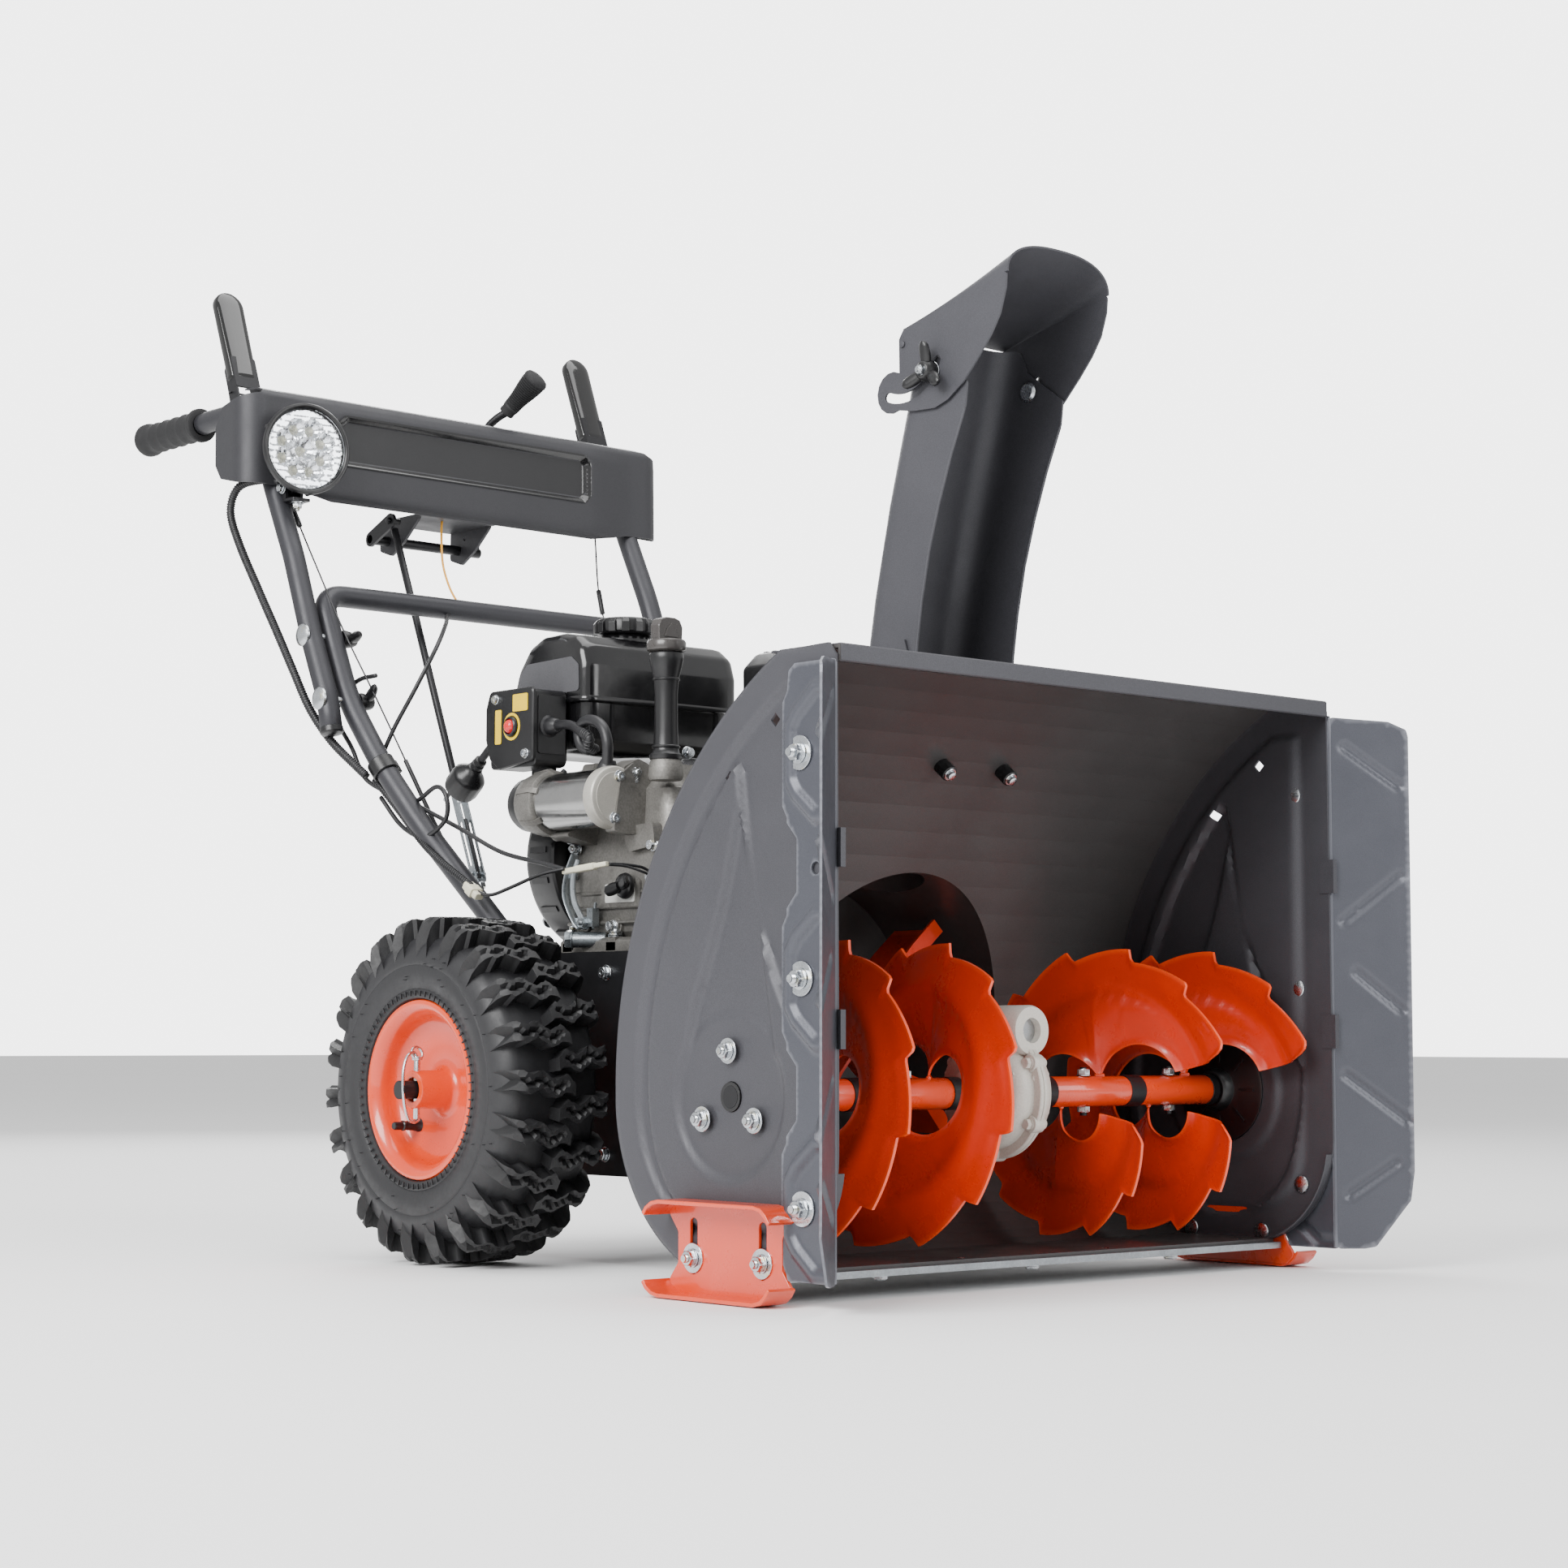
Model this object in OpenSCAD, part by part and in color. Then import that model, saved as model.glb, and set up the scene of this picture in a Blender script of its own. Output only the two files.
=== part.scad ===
// Two stage walk-behind snowblower.
// Built with the wheel axle on the plane y = 0 and the ground at z = 0; the
// whole machine is then moved along Y by y_off so that its overall box is
// centred on the origin. -Y is the front (auger side), +X the operator's left.

/* [Auger housing] */
// Distance from the middle to a side plate's inner face
half_w = 338; // [330:1:345]
// Thickness of the side plates
plate_t = 4; // [3:0.5:5]
// Thickness of the drum sheet
drum_t = 3; // [2:0.5:4]
// Height of the front lip
lip_z = 575; // [565:1:580]
// Height of the auger shaft
auger_z = 180; // [178:0.5:182]
// Radius of the impeller tunnel, inside
tunnel_r = 158; // [154:1:160]
// Height of the impeller shaft
imp_z = 240; // [239:0.5:241]

/* [Augers] */
// Outer radius of the auger ribbons
auger_r = 147; // [140:1:150]
// Radius of the auger shaft
shaft_r = 10; // [9:0.5:10]
// Length of one ribbon along the shaft
ribbon_l = 112; // [90:1:116]

/* [Wheels] */
// Radius of the tyres
tyre_r = 179; // [176:1:179]
// Inner side of a wheel
wheel_in = 205; // [200:1:208]
// Outer side of a wheel
wheel_out = 330; // [320:1:335]
// Radius of the axle
axle_r = 9.5; // [9:0.1:9.5]

/* [Chute] */
// Forward lean of the chute's turning axis in degrees
chute_lean = 13; // [12:0.5:14]
// Half of the chute's inner width
chute_hw = 66; // [60:1:66]
// Length of the chute channel
chute_l = 290; // [260:1:295]

/* [Handles] */
// Radius of the handle tubes
tube_r = 12.5; // [11:0.5:12.5]
// Half distance between the upper tubes
upper_x = 261; // [260:0.5:262]
// Half distance between the lower tubes, at their top
lower_x = 233; // [231:0.5:234]

/* [Hidden] */
$fn = 48;
y_off = 6.1;
auger_y = -510;
ring_y = -421;
ring_z = 572;

// ---- helpers ------------------------------------------------------------
// An outline in (y, z), extruded along X from x0 to x1
module yz(x0, x1) translate([x0, 0, 0]) rotate([90, 0, 90]) linear_extrude(x1 - x0) children();
// An outline in (x, z), extruded along Y from y0 to y1
module xz(y0, y1) translate([0, y1, 0]) rotate([90, 0, 0]) linear_extrude(y1 - y0) children();
// Cylinders along X and Y
module cylx(x0, x1, y, z, r) translate([x0, y, z]) rotate([0, 90, 0]) cylinder(h = x1 - x0, r = r);
module cyly(y0, y1, x, z, r) translate([x, y0, z]) rotate([-90, 0, 0]) cylinder(h = y1 - y0, r = r);
module cylz(z0, z1, x, y, r) translate([x, y, z0]) cylinder(h = z1 - z0, r = r);
module block(a, b) translate(a) cube([b[0] - a[0], b[1] - a[1], b[2] - a[2]]);
module both() { children(); mirror([1, 0, 0]) children(); }
function arc(cy, cz, r, a0, a1, n = 12) =
  [for (i = [0:n]) let (a = a0 + (a1 - a0) * i / n) [cy + r * cos(a), cz + r * sin(a)]];
function rev(l) = [for (i = [len(l) - 1:-1:0]) l[i]];
// The drum's outline in (y, z), e inside the outside face
function back_arc(e) = concat(
  arc(-784, 190, 440 - e, asin((lip_z + 2 - e - 190) / (440 - e)), 0, 16),
  arc(auger_y, auger_z, 166 - e, 0, -70, 14));
function unit(v) = v / norm(v);
// A round tube swept along points p, radius r, s sides; ref is never parallel to it
module sweep(p, r, s = 10, ref = [1, 0, 0]) {
  n = len(p);
  rings = [for (i = [0:n - 1])
    let (t = unit(p[min(i + 1, n - 1)] - p[max(i - 1, 0)]),
         u = unit(cross(ref, t)), v = cross(t, u))
    for (j = [0:s - 1]) p[i] + r * (cos(360 * j / s) * u + sin(360 * j / s) * v)];
  polyhedron(rings, concat(
    [[for (j = [0:s - 1]) j]],
    [for (i = [0:n - 2]) for (j = [0:s - 1])
      let (a = i * s + j, b = i * s + (j + 1) % s) [a, a + s, b + s, b]],
    [[for (j = [s - 1:-1:0]) (n - 1) * s + j]]));
}
// Rounds the corners of a path: each inner corner becomes k + 1 points, cut back by d
function bend(p, d, k = 4) = concat([p[0]],
  [for (i = [1:len(p) - 2])
    let (a = p[i] + d * unit(p[i - 1] - p[i]), b = p[i] + d * unit(p[i + 1] - p[i]))
    for (j = [0:k]) let (t = j / k) (1 - t) * (1 - t) * a + 2 * t * (1 - t) * p[i] + t * t * b],
  [p[len(p) - 1]]);
function flip(p) = [for (q = p) [-q[0], q[1], q[2]]];
// Hex bolt head, washer and threaded end standing out of a plate along +X
module stud_x(x, y, z, r = 5) {
  cylx(x - 6, x + 1.5, y, z, r);
  cylx(x, x + 1.6, y, z, 2.1 * r);
  translate([x + 1.6, y, z]) rotate([0, 90, 0]) cylinder(h = 5, r = 1.7 * r, $fn = 6);
  cylx(x + 6.6, x + 11, y, z, 0.8 * r);
}

// ---- auger housing ------------------------------------------------------
module auger_housing() color([0.30, 0.30, 0.31]) {
  difference() {
    union() {
      yz(-half_w, half_w) polygon(concat(
        [[-652, lip_z]], back_arc(2), [[-575, 180 - 164 * sin(70)]],
        [[-575, 180 - 164 * sin(70) + drum_t]], rev(back_arc(2 + drum_t)), [[-652, lip_z - drum_t]]));
      block([-half_w, -652, lip_z - 15], [half_w, -649, lip_z]);
    }
    cyly(-460, -300, 0, imp_z, tunnel_r + 0.01, $fn = 96);
  }
}
module plate_outline() polygon(concat(
  [[-652, lip_z + 2]], back_arc(0), arc(-545, 131, 107, -90, -180, 10)));
// clearance holes for the bolts through the side plate and the wing
module bolt_holes() {
  for (q = [[-608, wing_z[0], 5.1], [-610, wing_z[1], 5.1], [-612, wing_z[2], 5.1], [-560, 35, 4.5], [-466, 35, 4.5],
      [auger_y, auger_z + 41, 4.6], [auger_y - 41 * cos(30), auger_z - 20.5, 4.6], [auger_y + 41 * cos(30), auger_z - 20.5, 4.6]])
    cylx(half_w - 1, half_w + plate_t + 8, q[0], q[1], q[2]);
}
module side_plate() difference() {
  yz(half_w, half_w + plate_t) difference() {
    plate_outline();
    translate([-566, 515]) rotate(45) square(9, center = true);
    translate([-504, 467]) rotate(45) square(9, center = true);
  }
  cylx(half_w - 1, half_w + plate_t + 1, auger_y, auger_z, 14);
  bolt_holes();
}
module side_plate_right() color([0.35, 0.35, 0.37]) mirror([1, 0, 0]) side_plate();
module side_plate_left() color([0.35, 0.35, 0.37]) side_plate();
module scraper_bar() color([0.2, 0.2, 0.2]) block([-half_w, -585, 19.5], [half_w, -540, 25.8]);

module chute_frame() translate([0, ring_y, ring_z]) rotate([chute_lean, 0, 0]) children();
module neck_line() translate([0, -296, 370]) rotate([atan2(121, 190), 0, 0]) children();
module impeller_housing() color([0.28, 0.28, 0.29]) difference() {
  union() {
    cyly(-420, -222, 0, imp_z, tunnel_r + 3, $fn = 96);
    cyly(-226, -222, 0, imp_z, tunnel_r + 14, $fn = 96);
    neck_line() cylinder(h = 240, r = 67);
    cyly(-238, -208, 0, imp_z, 30);
  }
  difference() {
    cyly(-430, -226, 0, imp_z, tunnel_r, $fn = 96);
    cyly(-238, -208, 0, imp_z, 30);
  }
  difference() {
    neck_line() translate([0, 0, -30]) cylinder(h = 300, r = 64);
    block([-80, -226, 200], [80, -200, 500]);
  }
  cyly(-250, -200, 0, imp_z, 12.05);
  // flush with the outside of the drum, and with the underside of the chute ring
  yz(-200, 200) polygon(concat([[-800, lip_z]], back_arc(2), [[-800, 26]]));
  chute_frame() translate([-150, -150, -20]) cube([300, 300, 200]);
}
module chute_ring() color([0.15, 0.15, 0.16]) chute_frame() difference() {
  union() {
    translate([0, 0, -20]) cylinder(h = 4, r = 92);
    translate([0, 0, -20]) cylinder(h = 19, r = 78);
  }
  translate([0, 0, -21]) cylinder(h = 22, r = 72);
}

// ---- wings, shoes, fasteners --------------------------------------------
wing_z = [482, 284, 85];
module wing() difference() {
  wx = half_w + plate_t;
  translate([0, 0, 22]) linear_extrude(538) polygon([[wx, -590], [wx, -650.8], [wx + 63, -701.6],
    [wx + 65, -699.4], [wx + 3, -649.4], [wx + 3, -590]]);
  // scallops along the flange, the cut lower corner and the sloping top of the blade
  yz(wx - 1, wx + 4) for (q = [[22, 72, 96], [150, 240, 262], [335, 440, 462], [545, 561, 580]])
    polygon([[-580, q[0] - 22], [-594, q[0] - 12], [-612, q[0]], [-612, q[1]], [-594, q[2]], [-580, q[2]]]);
  xz(-720, -656) polygon([[wx + 28, 20], [wx + 90, 20], [wx + 90, 80], [wx + 66, 72], [wx + 60, 66]]);
  xz(-720, -656) polygon([[wx + 4, 562], [wx + 4, 558], [wx + 58, 552], [wx + 66, 544], [wx + 90, 540], [wx + 90, 562]]);
  cylx(half_w, half_w + 12, -628, 380, 6);
  bolt_holes();
}
module wing_right() color([0.40, 0.41, 0.45]) mirror([1, 0, 0]) wing();
module wing_left() color([0.40, 0.41, 0.45]) wing();
module skid_shoe() difference() {
  union() {
    block([half_w + plate_t, -596, 4], [half_w + plate_t + 4, -430, 84]);
    yz(half_w + plate_t, half_w + plate_t + 34) polygon([[-602, 16], [-590, 0], [-440, 0],
      [-426, 14], [-430, 17], [-442, 4], [-588, 4], [-598, 19]]);
    yz(half_w + plate_t, half_w + plate_t + 34) polygon([[-602, 72], [-590, 88], [-440, 88],
      [-426, 74], [-430, 71], [-442, 84], [-588, 84], [-598, 69]]);
  }
  for (y = [-560, -466]) {
    block([half_w, y - 4.5, 26], [half_w + 12, y + 4.5, 66]);
    cylx(half_w, half_w + 12, y, 26, 4.5);
    cylx(half_w, half_w + 12, y, 66, 4.5);
  }
}
module skid_shoes() color([0.93, 0.34, 0.11]) both() skid_shoe();
module housing_fasteners() color([0.75, 0.75, 0.75]) {
  both() {
    stud_x(half_w + plate_t + 3, -608, wing_z[0]);
    stud_x(half_w + plate_t + 3, -610, wing_z[1]);
    stud_x(half_w + plate_t + 3, -612, wing_z[2]);
    for (y = [-560, -466]) stud_x(half_w + plate_t + 4, y, 35, 4.4);
    for (a = [90, 210, 330]) stud_x(half_w + plate_t, auger_y + 41 * cos(a), auger_z + 41 * sin(a), 4.5);
  }
  // chute base bolts, ends inside the drum
  for (x = [-42, 43]) translate([x, -476, 500]) rotate([51, 0, 0]) cylinder(h = 26, r = 5, center = true);
  // scraper bolts
  for (x = [-200, 0, 200]) cylz(15, 33, x, -556, 4);
}
module auger_bearings() color([0.12, 0.12, 0.12]) both() difference() {
  union() {
    cylx(half_w - 5, half_w, auger_y, auger_z, 55);
    cylx(half_w - 20, half_w + 3, auger_y, auger_z, 13.5);
    cylx(half_w - 20, half_w - 5, auger_y, auger_z, 19);
  }
  cylx(half_w - 30, half_w + 10, auger_y, auger_z, shaft_r + 0.05);
}

// ---- auger drive --------------------------------------------------------
module auger_gearbox() color([0.85, 0.84, 0.80]) {
  difference() {
    union() {
      cylx(-26, 26, auger_y, auger_z, 54);
      cylx(-42, 42, auger_y, auger_z, 22);
      cylx(-5, 5, auger_y, auger_z, 63);
      cyly(-560, -455, 0, imp_z, 24);
      cyly(-455, -430, 0, imp_z, 19);
    }
    cylx(-17, 17, auger_y, auger_z, 48);
    cyly(-552, -460, 0, imp_z, 16.5);
    cyly(-552, -420, 0, imp_z, 12.05);
    cylx(-50, 50, auger_y, auger_z, shaft_r + 0.05);
  }
  for (a = [150:60:390]) cylx(-9, 9, auger_y + 58 * cos(a), auger_z + 58 * sin(a), 4.5);
}
module auger_shaft() color([0.14, 0.14, 0.14]) {
  cylx(-half_w - 3, half_w + 3, auger_y, auger_z, shaft_r);
  both() { cylz(auger_z - 24, auger_z + 24, 124, auger_y, 3.5); cylz(auger_z - 24, auger_z + 24, 252, auger_y, 3.5); }
}
// One flight: a strip wound about the shaft from x0 over length l, starting at angle a0.
// Its inner edge dips down to the sleeve twice, which makes the two webs.
function inner_r(u) = 15.02 + 62 * pow(abs(cos(360 * u)), 1.2);
module ribbon(x0, l, a0, turn, n = 32, t = 4) {
  p = [for (i = [0:n]) let (a = a0 + turn * i / n, x = x0 + l * i / n, r0 = inner_r(i / n))
    each [for (c = [[-t / 2, r0], [t / 2, r0], [t / 2, auger_r], [-t / 2, auger_r]])
      [x + c[0], auger_y + c[1] * cos(a), auger_z + c[1] * sin(a)]]];
  polyhedron(p, concat([[0, 1, 2, 3]],
    [for (i = [0:n - 1]) for (j = [0:3]) let (a = 4 * i + j, b = 4 * i + (j + 1) % 4)
      each [[a, a + 4, b + 4], [a, b + 4, b]]],
    [[4 * n + 3, 4 * n + 2, 4 * n + 1, 4 * n]]));
}
module auger(a0) {
  difference() {
    cylx(60, 314, auger_y, auger_z, 15);
    cylx(59, 315, auger_y, auger_z, shaft_r);
  }
  for (k = [0, 1]) ribbon(66 + 130 * k, ribbon_l, a0, 330);
}
module auger_left() color([0.90, 0.28, 0.10]) auger(195);
module auger_right() color([0.90, 0.28, 0.10]) mirror([1, 0, 0]) auger(15);
module worm_wheel() color([0.75, 0.6, 0.3]) difference() {
  union() {
    cylx(-12, 12, auger_y, auger_z, 40);
    for (i = [0:19]) translate([0, auger_y, auger_z]) rotate([18 * i, 0, 0])
      translate([-10, -2.2, 38]) cube([20, 4.4, 6.5]);
  }
  cylx(-20, 20, auger_y, auger_z, shaft_r);
}
module impeller() color([0.90, 0.28, 0.10]) difference() {
  union() {
    cyly(-332, -244, 0, imp_z, 24);
    for (a = [45:90:315]) translate([0, 0, imp_z]) rotate([0, a, 0]) {
      block([20, -330, -2], [149, -256, 2]);
      block([60, -330, 1.5], [149, -326, 16]);
    }
  }
  cyly(-340, -240, 0, imp_z, 12);
}
module impeller_shaft() color([0.5, 0.5, 0.52]) {
  cyly(-550, -150, 0, imp_z, 12);
  difference() {
    cyly(-535, -485, 0, imp_z, 14.6);
    for (y = [-528:8:-488]) cyly(y, y + 3, 0, imp_z, 40);
  }
}
module pulley(x, z, y0, y1, r, floor_r, bore) difference() {
  cyly(y0, y1, x, z, r, $fn = 72);
  difference() {
    cyly((y0 + y1) / 2 - 7, (y0 + y1) / 2 + 7, x, z, r + 5, $fn = 72);
    cyly(y0, y1, x, z, floor_r, $fn = 72);
  }
  cyly(y0 - 1, y1 + 1, x, z, bore);
}
module impeller_pulley() color([0.35, 0.35, 0.36]) difference() {
  pulley(0, imp_z, -183, -165, 95, 85, 12);
  for (a = [0:72:288]) translate([0, 0, imp_z]) rotate([0, a, 0]) cyly(-190, -160, 52, 0, 18);
}
crank_z = 431;
module crank_pulley() color([0.35, 0.35, 0.36]) {
  pulley(0, crank_z, -183, -165, 42, 32, 10);
  cyly(-186, -130, 0, crank_z, 10.5);
}
module belt2d(e) { d = asin(53 / (crank_z - imp_z));
  polygon(concat(arc(0, imp_z, 85.6 + e, 180 - d, 360 + d, 30), arc(0, crank_z, 32.6 + e, d, 180 - d, 16))); }
module drive_belt() color([0.08, 0.08, 0.08]) xz(-180, -168) difference() { belt2d(8); belt2d(0); }
module cover2d(e) polygon(concat([[-106 + e, 322 + e], [106 - e, 322 + e]],
  arc(0, crank_z + 2, 60 - e, 20, 160, 16)));
module belt_cover() color([0.12, 0.12, 0.12]) difference() {
  xz(-218, -121) cover2d(0);
  xz(-215.5, -123.5) cover2d(2.5);
  block([-103.5, -215.5, 320], [103.5, -123.5, 325]);
  cyly(-130, -100, 0, crank_z, 16);
}

// ---- chassis and wheels -------------------------------------------------
module chassis_box() color([0.13, 0.13, 0.14]) difference() {
  union() {
    difference() {
      block([-158, -222, 90], [158, 75, 322]);
      block([-155, -221, 93], [155, -123, 330]);
      block([-155, -120, 93], [155, 72, 319]);
      block([-130, -230, 85], [130, -221, 330]);
    }
    both() cylx(150, 170, 0, tyre_r, 20);
    // tab and guide of the shift rod
    block([-92, 74, 296], [-68, 196, 302]);
    translate([-80, 188, 299]) rotate([-22.8, 0, 0]) cylinder(h = 24, r = 9, center = true);
  }
  cylx(-180, 180, 0, tyre_r, axle_r + 0.06);
  translate([-80, 188, 299]) rotate([-22.8, 0, 0]) cylinder(h = 60, r = 4.6, center = true);
}
module axle() color([0.1, 0.1, 0.1]) cylx(-348, 348, 0, tyre_r, axle_r);
module rot_x() rotate([0, 90, 0]) rotate_extrude($fn = 96) children();
module rim() translate([0, 0, tyre_r]) {
  rot_x() polygon([[77, 214], [87, 208], [90, 211], [80, 219], [80, 312], [90, 320], [87, 323],
    [77, 316], [74, 300], [60, 292], [20, 290], [20, 287], [60, 288], [76, 296], [76, 220]]);
  difference() { cylx(214, 332, 0, 0, 19); cylx(210, 340, 0, 0, axle_r); cylz(-30, 30, 326, 0, 3.45); }
}
module rim_right() color([0.93, 0.34, 0.11]) mirror([1, 0, 0]) rim();
module rim_left() color([0.93, 0.34, 0.11]) rim();
module tyre() translate([0, 0, tyre_r]) rot_x() polygon([[80, 222], [80, 310], [90, 319.5],
  [120, 330], [150, 329], [168, 322], [tyre_r, 312], [tyre_r, 223], [168, 213], [150, 206],
  [120, 205], [90, 212]]);
module tyre_right() color([0.10, 0.10, 0.11]) mirror([1, 0, 0]) tyre();
module tyre_left() color([0.10, 0.10, 0.11]) tyre();
module hub_pins() color([0.75, 0.75, 0.75]) both() {
  cylz(tyre_r - 26, tyre_r + 34, 326, 0, 3.4);
  translate([326, 0, tyre_r + 34]) rotate([0, 90, 0]) rotate_extrude($fn = 32) translate([12, 0]) circle(1.8, $fn = 16);
}

// ---- handles ------------------------------------------------------------
upper_pts = [[0, 268, 574], [0, 277, 610], [0, 313, 685], [0, 352, 781], [0, 396, 867],
  [0, 430, 940], [0, 468, 966], [0, 540, 967]];
module upper_path(x, y1) sweep(bend([for (p = concat(upper_pts, [[0, y1, 965]])) [x, p[1], p[2]]], 12, 3), tube_r, 14);
module handle_upper() color([0.25, 0.25, 0.27]) both() upper_path(upper_x, 560);
module grip(x) difference() {
  union() {
    cyly(560, 684, x, 965, 16.5);
    cyly(560, 566, x, 965, 20);
    cyly(682, 690, x, 965, 18);
    for (y = [578:14:660]) cyly(y, y + 7, x, 965, 17.6);
  }
}
module grip_right() color([0.08, 0.08, 0.08]) grip(-upper_x);
module grip_left() color([0.08, 0.08, 0.08]) grip(upper_x);
leg_pts = [[172, 10, 300], [180, 75, 362], [205, 170, 463], [222, 226, 535],
  [lower_x, 277, 610], [lower_x, 313, 685], [lower_x, 336, 738]];
module handle_lower() color([0.25, 0.25, 0.27]) {
  sweep(bend(concat(leg_pts, [for (p = rev(leg_pts)) [-p[0], p[1], p[2]]]), 26, 5), tube_r, 14, [0, 0.92, -0.4]);
}
module wing_knob_x() {
  cylx(-14, 0, 0, 0, 9);
  block([-12, -6, -30], [-5, 6, 30]);
}
module handle_fasteners() color([0.6, 0.6, 0.6]) both() for (p = [[313, 685], [277, 610]])
  translate([0, p[0], p[1]]) {
    cylx(216, 276, 0, 0, 4);
    cylx(upper_x + 12.5, upper_x + 16, 0, 0, 11);
    translate([221, 0, 0]) rotate([24, 0, 0]) wing_knob_x();
    if (p[1] == 610) translate([0, 450 - p[0], 950 - p[1]]) cylx(241, 281, 0, 0, 4);
  }
module console_front() polygon([[382, 853], [375, 868], [377, 960], [386, 976], [402, 982],
  [470, 988], [470, 985], [403, 979], [389, 973], [380, 959], [378, 869], [384, 855]]);
module cheek() polygon([[382, 853], [375, 868], [377, 960], [386, 976], [402, 982], [430, 975],
  [446, 950], [446, 890], [436, 872], [400, 862]]);
module console() color([0.22, 0.22, 0.24]) difference() {
  union() {
    yz(-305, 305) console_front();
    both() yz(304, 307) cheek();
    for (x = [-64, 40]) yz(x, x + 4) difference() {
      polygon([[382, 858], [470, 858], [470, 822], [440, 816], [420, 830]]);
      translate([shift_p[1], shift_p[2]]) circle(6.08);
    }
    yz(-64, 44) polygon([[382, 855], [470, 855], [470, 858], [382, 858]]);
  }
  block([55, 398, 960], [80, 469, 1000]);
    block([58, 420, 840], [76, 474, 880]);
  both() block([238, 420, 960], [284, 480, 1000]);
}
// Clutch lever: a channel-shaped paddle whose two ears straddle the tube
lever_p = [0, 450, 950];
module lever() {
  translate([upper_x, lever_p[1], lever_p[2]]) difference() {
    rotate([-21, 0, 0]) {
      both() block([14, -9, -12], [17, 9, 60]);
      block([-17, -9, 42], [17, -6, 60]);
      difference() {
        union() {
          block([-19, -10, 50], [19, 8, 158]);
          translate([0, 0, 158]) rotate([90, 0, 0]) translate([0, 0, -8]) cylinder(h = 18, r = 19);
        }
        block([-13, -4, 40], [13, 20, 156]);
      }
      // tail with the cable eye
      block([-17, -12, -60], [-14, 2, 0]);
    }
    cylx(-40, 40, 0, 0, 4.08);
  }
}
module clutch_lever_right() color([0.06, 0.06, 0.06]) mirror([1, 0, 0]) lever();
module clutch_lever_left() color([0.06, 0.06, 0.06]) lever();
// Shift lever with its cross shaft and rod arm
shift_p = [0, 453.5, 832.6];
module shift_lever() color([0.12, 0.12, 0.12]) {
  sweep([[66, 453.5, 832], [66, 448, 880], [66, 440, 950], [67, 433, 984], [72, 422, 997], [80, 408, 1006]], 5, 12);
  cylx(-90, 72, shift_p[1], shift_p[2], 6);
  difference() {
    hull() { cylx(-90, -86, shift_p[1], shift_p[2], 9); cylx(-90, -86, 412, 850, 9); }
    cylx(-95, -80, 412, 850, 4.5);
  }
}
module shift_knob() color([0.07, 0.07, 0.07]) translate([80, 408, 1006]) rotate([45, 22, 0]) {
  cylinder(h = 10, r1 = 9, r2 = 11);
  translate([0, 0, 10]) cylinder(h = 42, r1 = 11, r2 = 16);
  translate([0, 0, 52]) cylinder(h = 8, r1 = 16, r2 = 12);
}
module shift_rod() color([0.15, 0.15, 0.15]) {
  translate([-80, 188, 299]) rotate([-22.8, 0, 0]) {
    translate([0, 0, -30]) cylinder(h = 618, r = 4.5);
    translate([0, 0, 190]) cylinder(h = 70, r = 7);
  }
  cylx(-92, -76, 412, 850, 3.4);
}

// ---- headlight ----------------------------------------------------------
lamp = [-252, 346, 905];
module headlight_shell() color([0.10, 0.10, 0.11]) translate(lamp) {
  // lug and trunnion of the tilt
  yz(-4, 4) polygon([[8, -42], [16, -38], [22, -33], [26, -37], [29.5, -43], [26, -48], [19, -48]]);
  cylx(-12, 12, 26, -43, 5);
  rotate([-90, 0, 0]) rotate_extrude($fn = 72) polygon([[0, 26], [30, 25], [44, 16], [52, 2], [52, -4], [47, -4], [47, 4], [0, 6]]);
}
module headlight_lens() color([0.9, 0.92, 0.95]) translate(lamp) rotate([-90, 0, 0])
  rotate_extrude($fn = 72) polygon([[0, -6], [30, -5], [46.8, -1], [46.8, 4], [0, 6]]);
module headlight_bracket() color([0.1, 0.1, 0.1]) {
  difference() {
    union() {
      block([-264, 350, 846], [-240, 382, 850]);
      for (x = [-264, -244]) block([x, 367, 846], [x + 4, 380, 868]);
    }
    cylz(840, 860, -252, 360, 4);
    cylx(-270, -230, 372, 862, 5.08);
  }
  block([-264, 378.5, 838], [-240, 382, 866]);
}

// ---- engine -------------------------------------------------------------
module engine_block() color([0.62, 0.61, 0.58]) {
  difference() {
    union() {
      block([-92, -118, 340], [82, 62, 500]);
      block([-86, -110, 322], [86, 56, 342]);
      block([-80, -112, 498], [60, 50, 524]);
      cyly(-120.9, -110, 0, crank_z, 40);
      translate([70, -90, 400]) rotate([0, -25, 0]) block([0, 0, 0], [120, 120, 105]);
    }
    cyly(-130, -60, 0, crank_z, 10.7);
    // room for the starter
    cyly(-71, 94, -122, 487, 34.3);
    cyly(39.7, 94, -118, 480, 36.3);
  }
  cylz(520, 526, -90, -112, 15);
}
module recoil_housing() color([0.08, 0.08, 0.08]) difference() {
  union() {
    cyly(62, 118, 0, crank_z, 108, $fn = 72);
    cyly(118, 140, 0, crank_z, 88, $fn = 72);
  }
  cyly(125, 150, 0, crank_z, 40);
  // notch for the rear of the starter
  cyly(60, 94, -118, 480, 36.5);
}
module fuel_tank() color([0.07, 0.07, 0.08]) {
  xz(18, 148) polygon(concat([[-95, 546], [115, 546], [115, 600], [118, 608]],
    arc(88, 650, 26, 0, 90, 5), arc(-66, 650, 28, 90, 180, 5), [[-98, 608], [-95, 600]]));
  cylz(674, 684, 0, 70, 26);
}
module fuel_cap() color([0.08, 0.08, 0.08]) difference() {
  union() {
    cylz(684.3, 702, 0, 70, 34);
    for (i = [0:11]) translate([0, 70, 0]) rotate(30 * i) cylz(686, 700, 33, 0, 4);
  }
}
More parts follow.
